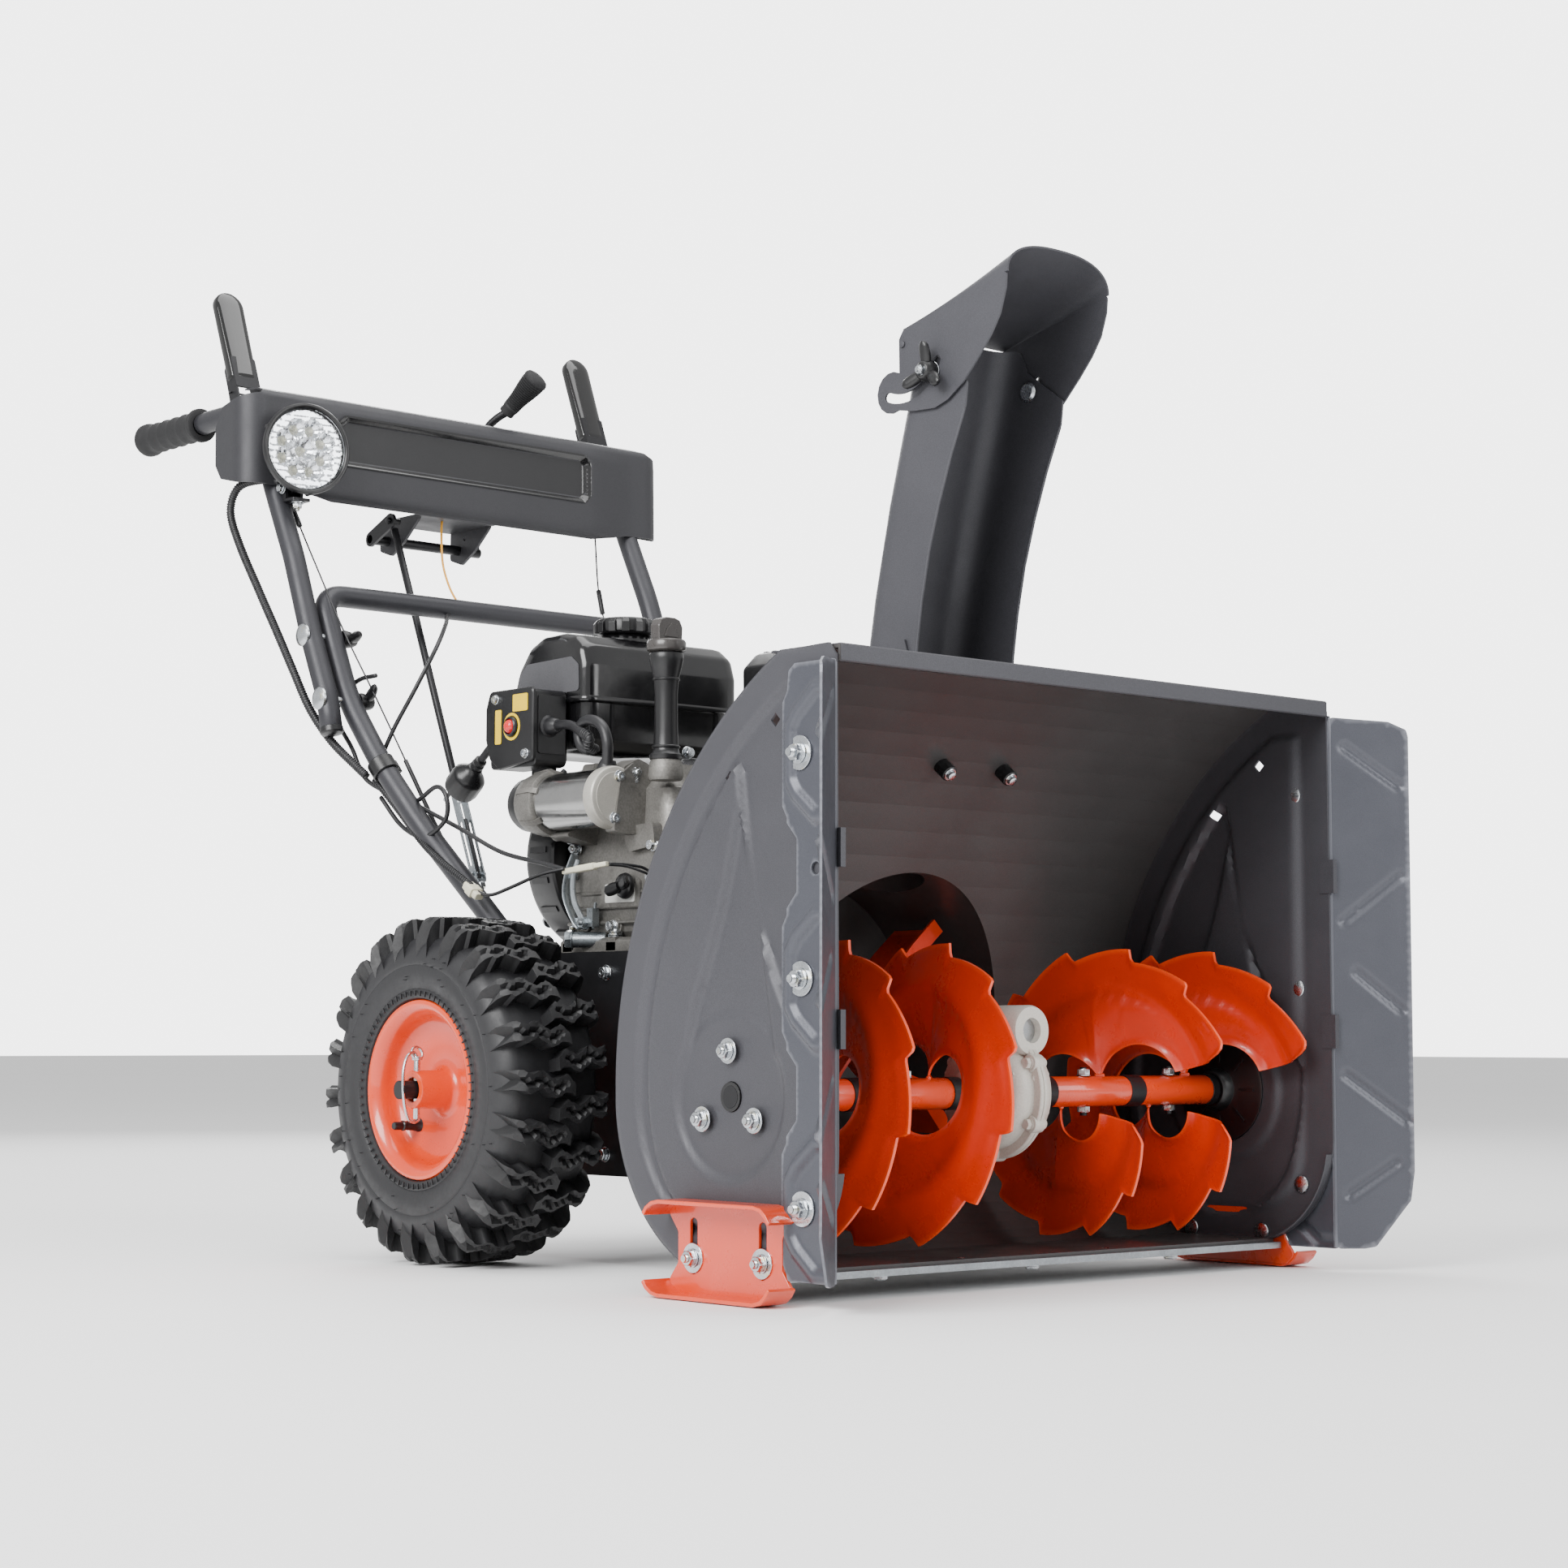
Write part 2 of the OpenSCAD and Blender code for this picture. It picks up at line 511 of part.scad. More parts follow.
module oil_filler_tube() color([0.07, 0.07, 0.07]) {
  cylz(526, 640, -90, -112, 13);
  cylz(526, 532, -90, -112, 16);
}
module dipstick_cap() color([0.35, 0.34, 0.33]) {
  cylz(640.3, 652, -90, -112, 19);
  block([-106, -119, 652], [-74, -105, 674]);
}
module muffler_cover() color([0.09, 0.09, 0.1]) {
  block([58, -180, 560], [185, -62, 645]);
  xz(-180, -62) polygon([[70, 640], [175, 640], [165, 657], [80, 657]]);
}
module starter_motor() color([0.7, 0.7, 0.69]) {
  cyly(-69, -61, -122, 487, 34);
  cyly(-61, 40, -122, 487, 32);
  cyly(40, 92, -118, 480, 36);
  block([-118, 10, 452], [-92, 60, 500]);
}
module switch_box() color([0.09, 0.09, 0.1]) difference() {
  block([-148, 46, 527], [-98.5, 128, 612]);
  cylx(-150, -128, 82, 572, 8.1);
}
module start_button() color([0.85, 0.08, 0.08]) {
  cylx(-156, -136, 82, 572, 8);
  cylx(-158, -156, 82, 572, 6.5);
}
plug_path = [[-122, 128, 566], [-122, 136, 566], [-122, 144, 564], [-122, 152, 560], [-122, 160, 555],
  [-122, 168, 549], [-122, 176, 543]];
module plug_lead() color([0.06, 0.06, 0.06]) sweep(plug_path, 4.5, 10);
module plug() color([0.05, 0.05, 0.05]) translate([-122, 176, 543]) rotate([-127, 0, 0]) {
  cylinder(h = 14, r1 = 7, r2 = 9);
  translate([0, 0, 14]) cylinder(h = 14, r1 = 12, r2 = 20);
  translate([0, 0, 28]) cylinder(h = 24, r = 20);
  for (x = [-9.5, 9.5]) translate([x, 0, 50]) cylinder(h = 20, r = 2.3);
}
module choke_knob() color([0.05, 0.05, 0.05]) {
  cylx(-104, -92.2, -56, 394, 14);
  block([-118, -60, 380], [-103, -52, 408]);
}

// ---- cables held along their whole route --------------------------------
conduit_pts = [[-264, 380, 870], [-276, 400, 874], [-288, 430, 868], [-290, 440, 840], [-288, 426, 800],
  [-284, 392, 745], [-280, 350, 690], [-276, 322, 640], [-266, 300, 596], [-252, 268, 560], [-240, 238, 530], [-226, 196, 470],
  [-214, 160, 430]];
cable_r = [[-240, 400, 862], [-240, 381, 839], [-238, 340, 770], [-232, 290, 690], [-206, 262, 640],
  [-190, 230, 560], [-170, 180, 450], [-150, 120, 350], [-140, 76, 300]];
cable_l = [[240, 434, 868], [240, 426, 782], [236, 390, 720], [210, 320, 660], [190, 250, 580],
  [170, 190, 470], [150, 120, 350], [140, 76, 300]];
lead_pts = [[-148, 60, 545], [-160, 40, 552], [-168, 0, 552], [-168, -30, 560], [-160, -48, 566],
  [-146, -54, 560], [-138, -50, 545], [-134, -46, 530], [-130, -44, 518]];
module control_cables() color([0.07, 0.07, 0.07]) {
  sweep(bend(conduit_pts, 10, 1), 5, 8);
  sweep(bend(cable_r, 10, 1), 2.5, 8);
  sweep(bend(cable_l, 10, 1), 2.5, 8);
  sweep(bend(lead_pts, 6, 1), 5, 8, [0, 0.3, 1]);
}

// ---- chute --------------------------------------------------------------
module chute() color([0.36, 0.36, 0.38]) {
  chute_frame() {
    difference() {
      union() {
        cylinder(h = 4, r = 94);
        translate([0, 0, -14]) cylinder(h = 14, r = 84);
      }
      translate([0, 0, -20]) cylinder(h = 30, r = 79);
    }
    block([-chute_hw - 3, 38, 3], [chute_hw + 3, 41, chute_l + 55]);
    both() {
      yz(chute_hw, chute_hw + 3) polygon([[-41, 3], [41, 3], [41, chute_l + 32], [-41, chute_l + 10]]);
      yz(chute_hw + 3, chute_hw + 6) polygon([[-41, 4], [-41, 54], [-19, 4]]);
    }
  }
  cylx(-74, 74, pivot[0], pivot[1], 3.5);
}
// Hinge of the deflector, and its slot's radius
pivot = [-455.5, 916];
slot_r = 54;
module hood_side() difference() {
  polygon(concat(arc(-440, 870, 21, -115, 120, 12), [[-456, 932], [-598, 963], [-589, 924], [-567, 893], [-532, 858], [-500, 845]]));
  intersection() {
    difference() { translate(pivot) circle(slot_r + 4.6, $fn = 64); translate(pivot) circle(slot_r - 4.6, $fn = 64); }
    polygon([pivot, pivot + 150 * [cos(205), sin(205)], pivot + 150 * [cos(249), sin(249)], pivot + 150 * [cos(293), sin(293)]]);
  }
  translate(pivot) circle(3.56);
}
module deflector() color([0.36, 0.36, 0.38]) {
  both() yz(chute_hw + 4.2, chute_hw + 6.2) hood_side();
  // arched top, sloping up to the front
  translate([0, -496.6, 843.2]) rotate([66, 0, 0]) linear_extrude(155) difference() {
    circle(95, $fn = 96);
    circle(93, $fn = 96);
    translate([-100, -200]) square([200, 262]);
  }
}
module deflector_knobs() color([0.06, 0.06, 0.06]) both()
  translate([0, pivot[0] + slot_r * cos(220), pivot[1] + slot_r * sin(220)]) {
    cylx(chute_hw - 4, chute_hw + 20, 0, 0, 4);
    cylx(chute_hw - 4, chute_hw - 0.5, 0, 0, 8);
    cylx(chute_hw + 6.5, chute_hw + 20, 0, 0, 9);
    for (a = [90, 210, 330]) rotate([a, 0, 0]) block([chute_hw + 9, -5, 5], [chute_hw + 16, 5, 26]);
  }

module place() translate([0, y_off, 0]) children();
place() auger_housing();
place() side_plate_right();
place() side_plate_left();
place() scraper_bar();
place() impeller_housing();
place() wing_right();
place() wing_left();
place() skid_shoes();
place() housing_fasteners();
place() auger_bearings();
place() auger_gearbox();
place() auger_shaft();
place() auger_right();
place() auger_left();
place() worm_wheel();
place() impeller();
place() impeller_shaft();
place() impeller_pulley();
place() crank_pulley();
place() drive_belt();
place() belt_cover();
place() chassis_box();
place() axle();
place() rim_right();
place() rim_left();
place() tyre_right();
place() tyre_left();
place() hub_pins();
place() handle_lower();
place() handle_upper();
place() grip_right();
place() grip_left();
place() handle_fasteners();
place() console();
place() clutch_lever_right();
place() clutch_lever_left();
place() shift_lever();
place() shift_knob();
place() shift_rod();
place() headlight_shell();
place() headlight_lens();
place() headlight_bracket();
place() control_cables();
place() engine_block();
place() recoil_housing();
place() fuel_tank();
place() fuel_cap();
place() oil_filler_tube();
place() dipstick_cap();
place() muffler_cover();
place() starter_motor();
place() switch_box();
place() start_button();
place() plug();
place() plug_lead();
place() choke_knob();
place() chute_ring();
place() chute();
place() deflector();
place() deflector_knobs();
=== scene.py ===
import bpy, bmesh, math, random
import numpy as np
from mathutils import Vector, Matrix
from mathutils.geometry import delaunay_2d_cdt


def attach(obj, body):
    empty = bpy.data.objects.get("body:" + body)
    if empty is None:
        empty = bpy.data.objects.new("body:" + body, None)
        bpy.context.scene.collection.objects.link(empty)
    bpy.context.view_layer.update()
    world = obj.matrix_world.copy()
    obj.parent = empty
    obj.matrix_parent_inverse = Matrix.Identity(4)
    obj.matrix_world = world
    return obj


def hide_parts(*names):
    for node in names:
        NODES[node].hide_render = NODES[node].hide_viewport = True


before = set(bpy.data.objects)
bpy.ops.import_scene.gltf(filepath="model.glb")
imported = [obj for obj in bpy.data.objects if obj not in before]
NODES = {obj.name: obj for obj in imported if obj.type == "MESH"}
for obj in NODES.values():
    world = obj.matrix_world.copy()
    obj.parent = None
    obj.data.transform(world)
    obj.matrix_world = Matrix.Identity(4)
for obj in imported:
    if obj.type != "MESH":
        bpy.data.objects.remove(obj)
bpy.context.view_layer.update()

DY = 6.1            # the machine is moved along Y by this many mm
sin, cos, pi = math.sin, math.cos, math.pi
rad = math.radians

# ---------------------------------------------------------------- camera
cam_data = bpy.data.cameras.new("camera")
cam_data.lens = 68.37
cam_data.sensor_width = 36.0
cam_data.clip_start, cam_data.clip_end = 0.05, 60
cam = bpy.data.objects.new("camera", cam_data)
bpy.context.scene.collection.objects.link(cam)
cam.matrix_world = (Matrix.Translation((-2.0872, -2.5407 + DY / 1000, 0.2330))
                    @ Matrix.Rotation(rad(-41.714), 4, "Z") @ Matrix.Rotation(rad(94.865), 4, "X")
                    @ Matrix.Rotation(rad(0.105), 4, "Z"))
bpy.context.scene.camera = cam

# ---------------------------------------------------------------- materials
def srgb(r, g, b):
    f = lambda c: ((c / 255 + 0.055) / 1.055) ** 2.4 if c > 10 else c / 255 / 12.92
    return (f(r), f(g), f(b), 1)

def N(nt, kind, **kw):
    n = nt.nodes.new(kind)
    for k, v in kw.items():
        if k in n.inputs:
            n.inputs[k].default_value = v
        else:
            setattr(n, k, v)
    return n

DARK = 0.58     # the studio is bright, so the dark coats are set lower
def material(name, color, rough=0.5, metal=0.0, coat=0.0, coat_rough=0.1, grain=(900, 0.05, 0.00003),
             mottle=(9, 0.12), rvar=0.08, bump2=None, spec=0.5, dust=0.0, wave=None, tint=None, edge=None):
    """A finish: colour with slow mottling, fine grain in the bump, roughness variation, optional dust, a painted edge
    highlight and machining.
    """
    m = bpy.data.materials.new(name)
    if max(color[:3]) < 0.2 and name != "drum_powder_coat": color = tuple(c * DARK for c in color[:3]) + (1.0,)
    m.use_nodes = True
    nt = m.node_tree
    bs = nt.nodes["Principled BSDF"]
    bs.inputs["Metallic"].default_value = metal
    bs.inputs["Coat Weight"].default_value = coat
    bs.inputs["Coat Roughness"].default_value = coat_rough
    bs.inputs["Specular IOR Level"].default_value = spec
    L = nt.links.new
    tc = N(nt, "ShaderNodeTexCoord")
    co = tc.outputs["Object"]
    n1 = N(nt, "ShaderNodeTexNoise", Scale=mottle[0], Detail=5.0, Roughness=0.6)
    L(co, n1.inputs["Vector"])
    r1 = N(nt, "ShaderNodeMapRange", **{"From Min": 0.3, "From Max": 0.7, "To Min": 1 - mottle[1], "To Max": 1 + mottle[1]})
    L(n1.outputs["Fac"], r1.inputs["Value"])
    mul = N(nt, "ShaderNodeVectorMath", operation="SCALE")
    mul.inputs[0].default_value = color[:3]
    L(r1.outputs["Result"], mul.inputs["Scale"])
    col = mul.outputs["Vector"]
    n2 = N(nt, "ShaderNodeTexNoise", Scale=float(grain[0]), Detail=2.0)
    L(co, n2.inputs["Vector"])
    if grain[1] > 0:
        r2 = N(nt, "ShaderNodeMapRange", **{"From Min": 0.35, "From Max": 0.65, "To Min": 1 - grain[1], "To Max": 1 + grain[1]})
        L(n2.outputs["Fac"], r2.inputs["Value"])
        mul2 = N(nt, "ShaderNodeVectorMath", operation="SCALE")
        L(col, mul2.inputs[0]); L(r2.outputs["Result"], mul2.inputs["Scale"])
        col = mul2.outputs["Vector"]
    if tint:      # (colour, noise scale, low, high): a second colour in patches
        n4 = N(nt, "ShaderNodeTexNoise", Scale=float(tint[1]), Detail=6.0, Roughness=0.65)
        L(co, n4.inputs["Vector"])
        r4 = N(nt, "ShaderNodeMapRange", **{"From Min": tint[2], "From Max": tint[3]})
        L(n4.outputs["Fac"], r4.inputs["Value"])
        mx = N(nt, "ShaderNodeMix", data_type="RGBA")
        L(r4.outputs["Result"], mx.inputs["Factor"])
        L(col, mx.inputs[6]); mx.inputs[7].default_value = tint[0]
        col = mx.outputs[2]
    if edge:      # (colour, strength): edges lightened from the surface's own curvature, a painted highlight along the edges and partly rubbed wear
        ge = N(nt, "ShaderNodeNewGeometry")
        r5 = N(nt, "ShaderNodeMapRange", **{"From Min": 0.53, "From Max": 0.6, "To Min": 0.0, "To Max": edge[1]})
        L(ge.outputs["Pointiness"], r5.inputs["Value"])
        mx = N(nt, "ShaderNodeMix", data_type="RGBA")
        L(r5.outputs["Result"], mx.inputs["Factor"])
        L(col, mx.inputs[6]); mx.inputs[7].default_value = edge[0]
        col = mx.outputs[2]
    if dust > 0:  # pale dust lying on upward faces
        ge = N(nt, "ShaderNodeNewGeometry")
        sp = N(nt, "ShaderNodeSeparateXYZ")
        L(ge.outputs["Normal"], sp.inputs[0])
        r3 = N(nt, "ShaderNodeMapRange", **{"From Min": 0.2, "From Max": 1.0, "To Min": 0.0, "To Max": dust})
        L(sp.outputs["Z"], r3.inputs["Value"])
        mu = N(nt, "ShaderNodeMath", operation="MULTIPLY")
        L(r3.outputs["Result"], mu.inputs[0]); L(n1.outputs["Fac"], mu.inputs[1])
        mx = N(nt, "ShaderNodeMix", data_type="RGBA")
        L(mu.outputs[0], mx.inputs["Factor"])
        L(col, mx.inputs[6]); mx.inputs[7].default_value = srgb(150, 148, 145)
        col = mx.outputs[2]
    L(col, bs.inputs["Base Color"])
    rr = N(nt, "ShaderNodeMapRange", **{"From Min": 0.3, "From Max": 0.7, "To Min": max(0.02, rough - rvar), "To Max": min(1, rough + rvar)})
    n3 = N(nt, "ShaderNodeTexNoise", Scale=mottle[0] * 3.7, Detail=7.0, Roughness=0.7)
    L(co, n3.inputs["Vector"])
    L(n3.outputs["Fac"], rr.inputs["Value"])
    L(rr.outputs["Result"], bs.inputs["Roughness"])
    b = N(nt, "ShaderNodeBump", Strength=1.0, Distance=grain[2])
    L(n2.outputs["Fac"], b.inputs["Height"])
    out = b.outputs["Normal"]
    if wave:      # (axis, scale, depth): turned or drawn lines
        wv = N(nt, "ShaderNodeTexWave", bands_direction=wave[0], Scale=float(wave[1]), Distortion=0.4)
        L(co, wv.inputs["Vector"])
        b3 = N(nt, "ShaderNodeBump", Strength=1.0, Distance=wave[2])
        L(wv.outputs["Fac"], b3.inputs["Height"]); L(out, b3.inputs["Normal"])
        out = b3.outputs["Normal"]
    if bump2:     # (scale, depth): a coarser unevenness
        nb = N(nt, "ShaderNodeTexNoise", Scale=float(bump2[0]), Detail=4.0)
        L(co, nb.inputs["Vector"])
        b2 = N(nt, "ShaderNodeBump", Strength=1.0, Distance=bump2[1])
        L(nb.outputs["Fac"], b2.inputs["Height"]); L(out, b2.inputs["Normal"])
        out = b2.outputs["Normal"]
    L(out, bs.inputs["Normal"])
    return m

M = {}
M["graphite"] = material("graphite_powder_coat", srgb(88, 88, 94), 0.48, 0.35, grain=(1500, 0.16, 0.00005), mottle=(5, 0.06), bump2=(14, 0.0003), dust=0.05)
M["drum"] = material("drum_powder_coat", srgb(72, 70, 70), 0.36, 0.3, grain=(1500, 0.14, 0.00004), mottle=(4, 0.08), bump2=(7, 0.0005))
# the edge colours of the wing, orange and auger coats are a painted highlight along convex edges, on the wing partly
# rubbed wear
M["wing"] = material("wing_powder_coat", srgb(96, 98, 107), 0.36, 0.4, grain=(1500, 0.08, 0.00003), mottle=(5, 0.05), bump2=(10, 0.0004), edge=(srgb(150, 152, 160), 0.5))
M["tube"] = material("tube_powder_coat", srgb(64, 64, 69), 0.42, 0.3, grain=(1600, 0.15, 0.00004), mottle=(8, 0.06))
M["console"] = material("console_powder_coat", srgb(66, 66, 70), 0.46, 0.3, grain=(1500, 0.15, 0.00004), mottle=(6, 0.06), bump2=(16, 0.0002))
M["panel"] = material("panel_black", srgb(40, 40, 42), 0.42, 0.1, grain=(1900, 0.22, 0.00004), mottle=(6, 0.06))
M["panel_gloss"] = material("panel_gloss", srgb(26, 26, 27), 0.16, 0.0, coat=0.5, grain=(700, 0.05, 0.00001), mottle=(20, 0.1))
M["orange"] = material("gloss_orange", (0.66, 0.042, 0.0008, 1), 0.3, 0.0, coat=0.7, coat_rough=0.08, grain=(600, 0.02, 0.00001), mottle=(7, 0.05), bump2=(22, 0.0003), edge=((0.9, 0.09, 0.004, 1), 0.5))
M["auger"] = material("auger_orange_red", (0.62, 0.024, 0.0006, 1), 0.3, 0.0, coat=0.6, coat_rough=0.1, grain=(600, 0.02, 0.00001), mottle=(9, 0.08), bump2=(26, 0.0005), edge=((0.9, 0.08, 0.004, 1), 0.8))
M["rubber"] = material("tyre_rubber", srgb(38, 38, 41), 0.5, 0.0, grain=(1300, 0.1, 0.00005), mottle=(14, 0.12), rvar=0.12, bump2=(60, 0.0002))
M["lug"] = material("tyre_lugs", srgb(34, 34, 36), 0.55, 0.0, grain=(1100, 0.12, 0.00008), mottle=(20, 0.15), rvar=0.12, bump2=(90, 0.0003))
M["black"] = material("black_plastic", srgb(26, 26, 28), 0.34, 0.0, grain=(1400, 0.1, 0.00003), mottle=(12, 0.1), rvar=0.07, bump2=(12, 0.0003))
M["tank"] = material("tank_plastic", srgb(20, 20, 22), 0.2, 0.0, coat=0.3, coat_rough=0.12, grain=(1400, 0.06, 0.00001), mottle=(9, 0.1), bump2=(9, 0.0006))
M["gloss"] = material("gloss_black_sleeve", srgb(10, 10, 11), 0.1, 0.0, coat=0.5, coat_rough=0.05, grain=(500, 0.03, 0.00001), mottle=(10, 0.1), rvar=0.04, bump2=(18, 0.0002))
M["blackmetal"] = material("black_steel", srgb(40, 40, 43), 0.38, 0.4, grain=(1500, 0.12, 0.00003), mottle=(10, 0.1), bump2=(20, 0.0003))
M["foam"] = material("grip_rubber", srgb(30, 30, 32), 0.72, 0.0, grain=(1600, 0.2, 0.0001), mottle=(30, 0.12))
M["cable"] = material("cable_jacket", srgb(34, 34, 37), 0.42, 0.0, grain=(1200, 0.08, 0.00003), mottle=(40, 0.1))
M["zinc"] = material("zinc_plate", srgb(196, 200, 204), 0.26, 1.0, grain=(700, 0.06, 0.00003), mottle=(60, 0.15), rvar=0.1, tint=(srgb(214, 205, 170), 90, 0.56, 0.72))
M["steel"] = material("drawn_steel", srgb(176, 178, 180), 0.3, 1.0, grain=(900, 0.05, 0.00002), mottle=(40, 0.1), wave=("Y", 60, 0.00002))
M["cast"] = material("cast_aluminium", srgb(124, 122, 118), 0.55, 0.75, grain=(420, 0.12, 0.00018), mottle=(28, 0.12), rvar=0.12, tint=(srgb(82, 80, 77), 26, 0.55, 0.8))
M["castdark"] = material("cast_iron_dark", srgb(86, 84, 82), 0.6, 0.5, grain=(420, 0.12, 0.0002), mottle=(26, 0.15))
M["starter"] = material("starter_can", srgb(168, 168, 167), 0.2, 1.0, grain=(900, 0.04, 0.00001), mottle=(16, 0.06), wave=("Y", 90, 0.00001))
M["endcap"] = material("end_cap_coat", srgb(176, 173, 165), 0.42, 0.35, grain=(1000, 0.08, 0.00006), mottle=(20, 0.07))
M["ivory"] = material("ivory_casting", srgb(196, 193, 184), 0.4, 0.0, coat=0.2, grain=(500, 0.06, 0.00015), mottle=(18, 0.06), bump2=(60, 0.0005), tint=(srgb(186, 180, 168), 30, 0.6, 0.85))
M["cream"] = material("connector_nylon", srgb(214, 210, 186), 0.4, 0.0, grain=(900, 0.05, 0.00003), mottle=(60, 0.08))
M["red"] = material("button_red", srgb(214, 22, 26), 0.22, 0.0, coat=0.4, grain=(900, 0.04, 0.00001), mottle=(60, 0.08))
M["yellow"] = material("plain_yellow_plate", srgb(226, 190, 8), 0.35, 0.0, coat=0.2, grain=(900, 0.05, 0.00001), mottle=(50, 0.06))
M["orangewire"] = material("thin_wire", srgb(222, 158, 50), 0.4, 0.0, grain=(900, 0.05, 0.00001), mottle=(60, 0.1))
M["chrome"] = material("reflector_chrome", srgb(236, 238, 240), 0.07, 1.0, grain=(300, 0.02, 0.00002), mottle=(60, 0.05), rvar=0.03, bump2=(200, 0.0002))
M["galv"] = material("galvanised", srgb(150, 156, 160), 0.34, 0.9, grain=(500, 0.08, 0.00005), mottle=(70, 0.14), rvar=0.12)
M["brass"] = material("worm_bronze", srgb(190, 150, 80), 0.35, 0.9, grain=(700, 0.06, 0.00004), mottle=(40, 0.12))
M["cap"] = material("dipstick_graphite", srgb(86, 82, 80), 0.3, 0.2, coat=0.3, grain=(1500, 0.12, 0.00003), mottle=(22, 0.08))
M["decal"] = material("plain_decal", srgb(92, 92, 96), 0.6, 0.0, grain=(2200, 0.3, 0.00002), mottle=(20, 0.06))
M["belt"] = material("belt_rubber", srgb(22, 22, 23), 0.7, 0.0, grain=(900, 0.2, 0.0001), mottle=(30, 0.15))
M["label"] = material("plain_label", srgb(205, 205, 200), 0.4, 0.0, grain=(900, 0.04, 0.00001), mottle=(50, 0.06))

# clear lens
gl = bpy.data.materials.new("clear_lens"); gl.use_nodes = True
bs = gl.node_tree.nodes["Principled BSDF"]
bs.inputs["Transmission Weight"].default_value = 1.0
bs.inputs["IOR"].default_value = 1.3
bs.inputs["Base Color"].default_value = (0.97, 0.98, 1, 1)
nz = N(gl.node_tree, "ShaderNodeTexNoise", Scale=160.0); tcn = N(gl.node_tree, "ShaderNodeTexCoord")
gl.node_tree.links.new(tcn.outputs["Object"], nz.inputs["Vector"])
rg = N(gl.node_tree, "ShaderNodeMapRange", **{"To Min": 0.01, "To Max": 0.06})
gl.node_tree.links.new(nz.outputs["Fac"], rg.inputs["Value"]); gl.node_tree.links.new(rg.outputs["Result"], bs.inputs["Roughness"])
bb = N(gl.node_tree, "ShaderNodeBump", Distance=0.0002); gl.node_tree.links.new(nz.outputs["Fac"], bb.inputs["Height"]); gl.node_tree.links.new(bb.outputs["Normal"], bs.inputs["Normal"])
M["lens"] = gl

# ---------------------------------------------------------------- mesh core
def T(x=0, y=0, z=0): return Matrix.Translation((x, y, z))
def R(a, ax): return Matrix.Rotation(rad(a), 4, ax)
def to(pos, d, up=(0, 0, 1)):
    """Local Z along d, at pos."""
    z = Vector(d).normalized()
    u = Vector(up)
    if abs(z.dot(u.normalized())) > 0.98: u = Vector((0, 1, 0)) if abs(z.y) < 0.9 else Vector((1, 0, 0))
    x = u.cross(z).normalized(); y = z.cross(x)
    m = Matrix((x, y, z)).transposed().to_4x4()
    return Matrix.Translation(pos) @ m
MIRX = Matrix.Diagonal((-1, 1, 1, 1))

def inside(pts, poly):
    x, y = pts[:, 0], pts[:, 1]
    c = np.zeros(len(pts), bool)
    q = np.asarray(poly, float); p = np.roll(q, 1, 0)
    for (x1, y1), (x2, y2) in zip(p, q):
        if y1 == y2: continue
        t = ((y1 > y) != (y2 > y)) & (x < (x2 - x1) * (y - y1) / (y2 - y1) + x1)
        c ^= t
    return c

def dist_poly(pts, poly, closed=True):
    """Distance of each point to a polyline."""
    q = np.asarray(poly, float)
    a = q if closed else q[:-1]
    b = np.roll(q, -1, 0) if closed else q[1:]
    best = np.full(len(pts), 1e9)
    for s, e in zip(a, b):
        d = e - s; L2 = max(1e-9, d @ d)
        t = np.clip(((pts - s) @ d) / L2, 0, 1)
        w = pts - s - t[:, None] * d
        best = np.minimum(best, np.hypot(w[:, 0], w[:, 1]))
    return best

def smooth(x, a, b):
    t = np.clip((np.asarray(x, float) - a) / (b - a), 0, 1)
    return t * t * (3 - 2 * t)

def dense(poly, step, closed=True):
    q = [Vector(p) for p in poly]; out = []
    n = len(q)
    for i in range(n if closed else n - 1):
        a, b = q[i], q[(i + 1) % n]
        k = max(1, int(math.ceil((b - a).length / step)))
        out += [tuple(a.lerp(b, j / k)) for j in range(k)]
    if not closed: out.append(tuple(q[-1]))
    return out

def arcp(cx, cy, r, a0, a1, n=12):
    return [(cx + r * cos(rad(a0 + (a1 - a0) * i / n)), cy + r * sin(rad(a0 + (a1 - a0) * i / n))) for i in range(n + 1)]

def fillet(poly, r, n=5, closed=True):
    """Rounds the corners of a 2D polygon; r is one radius or one per corner."""
    out = []; k = len(poly)
    for i, p in enumerate(poly):
        rr = r[i] if isinstance(r, (list, tuple)) else r
        p = Vector(p[:2]); a = Vector(poly[i - 1][:2]) - p; b = Vector(poly[(i + 1) % k][:2]) - p
        la, lb = a.length, b.length
        if rr <= 0 or (not closed and i in (0, k - 1)) or la < 1e-6 or lb < 1e-6: out.append(tuple(p)); continue
        a.normalize(); b.normalize()
        ang = math.acos(max(-1, min(1, a.dot(b))))
        if ang > 3.1 or ang < 0.02: out.append(tuple(p)); continue
        d = min(rr / math.tan(ang / 2), la * 0.49, lb * 0.49)
        s, e = p + a * d, p + b * d
        for j in range(n + 1):
            t = j / n
            out.append(tuple((1 - t) ** 2 * s + 2 * t * (1 - t) * p + t * t * e))
    return out

def catmull(pts, k=6):
    p = [Vector(q) for q in pts]; out = []
    for i in range(len(p) - 1):
        a = p[i - 1] if i else p[0] * 2 - p[1]; b, c = p[i], p[i + 1]
        d = p[i + 2] if i + 2 < len(p) else p[-1] * 2 - p[-2]
        for j in range(k):
            t = j / k
            out.append(0.5 * (2 * b + (c - a) * t + (2 * a - 5 * b + 4 * c - d) * t * t + (3 * b - a - 3 * c + d) * t ** 3))
    out.append(p[-1])
    return out

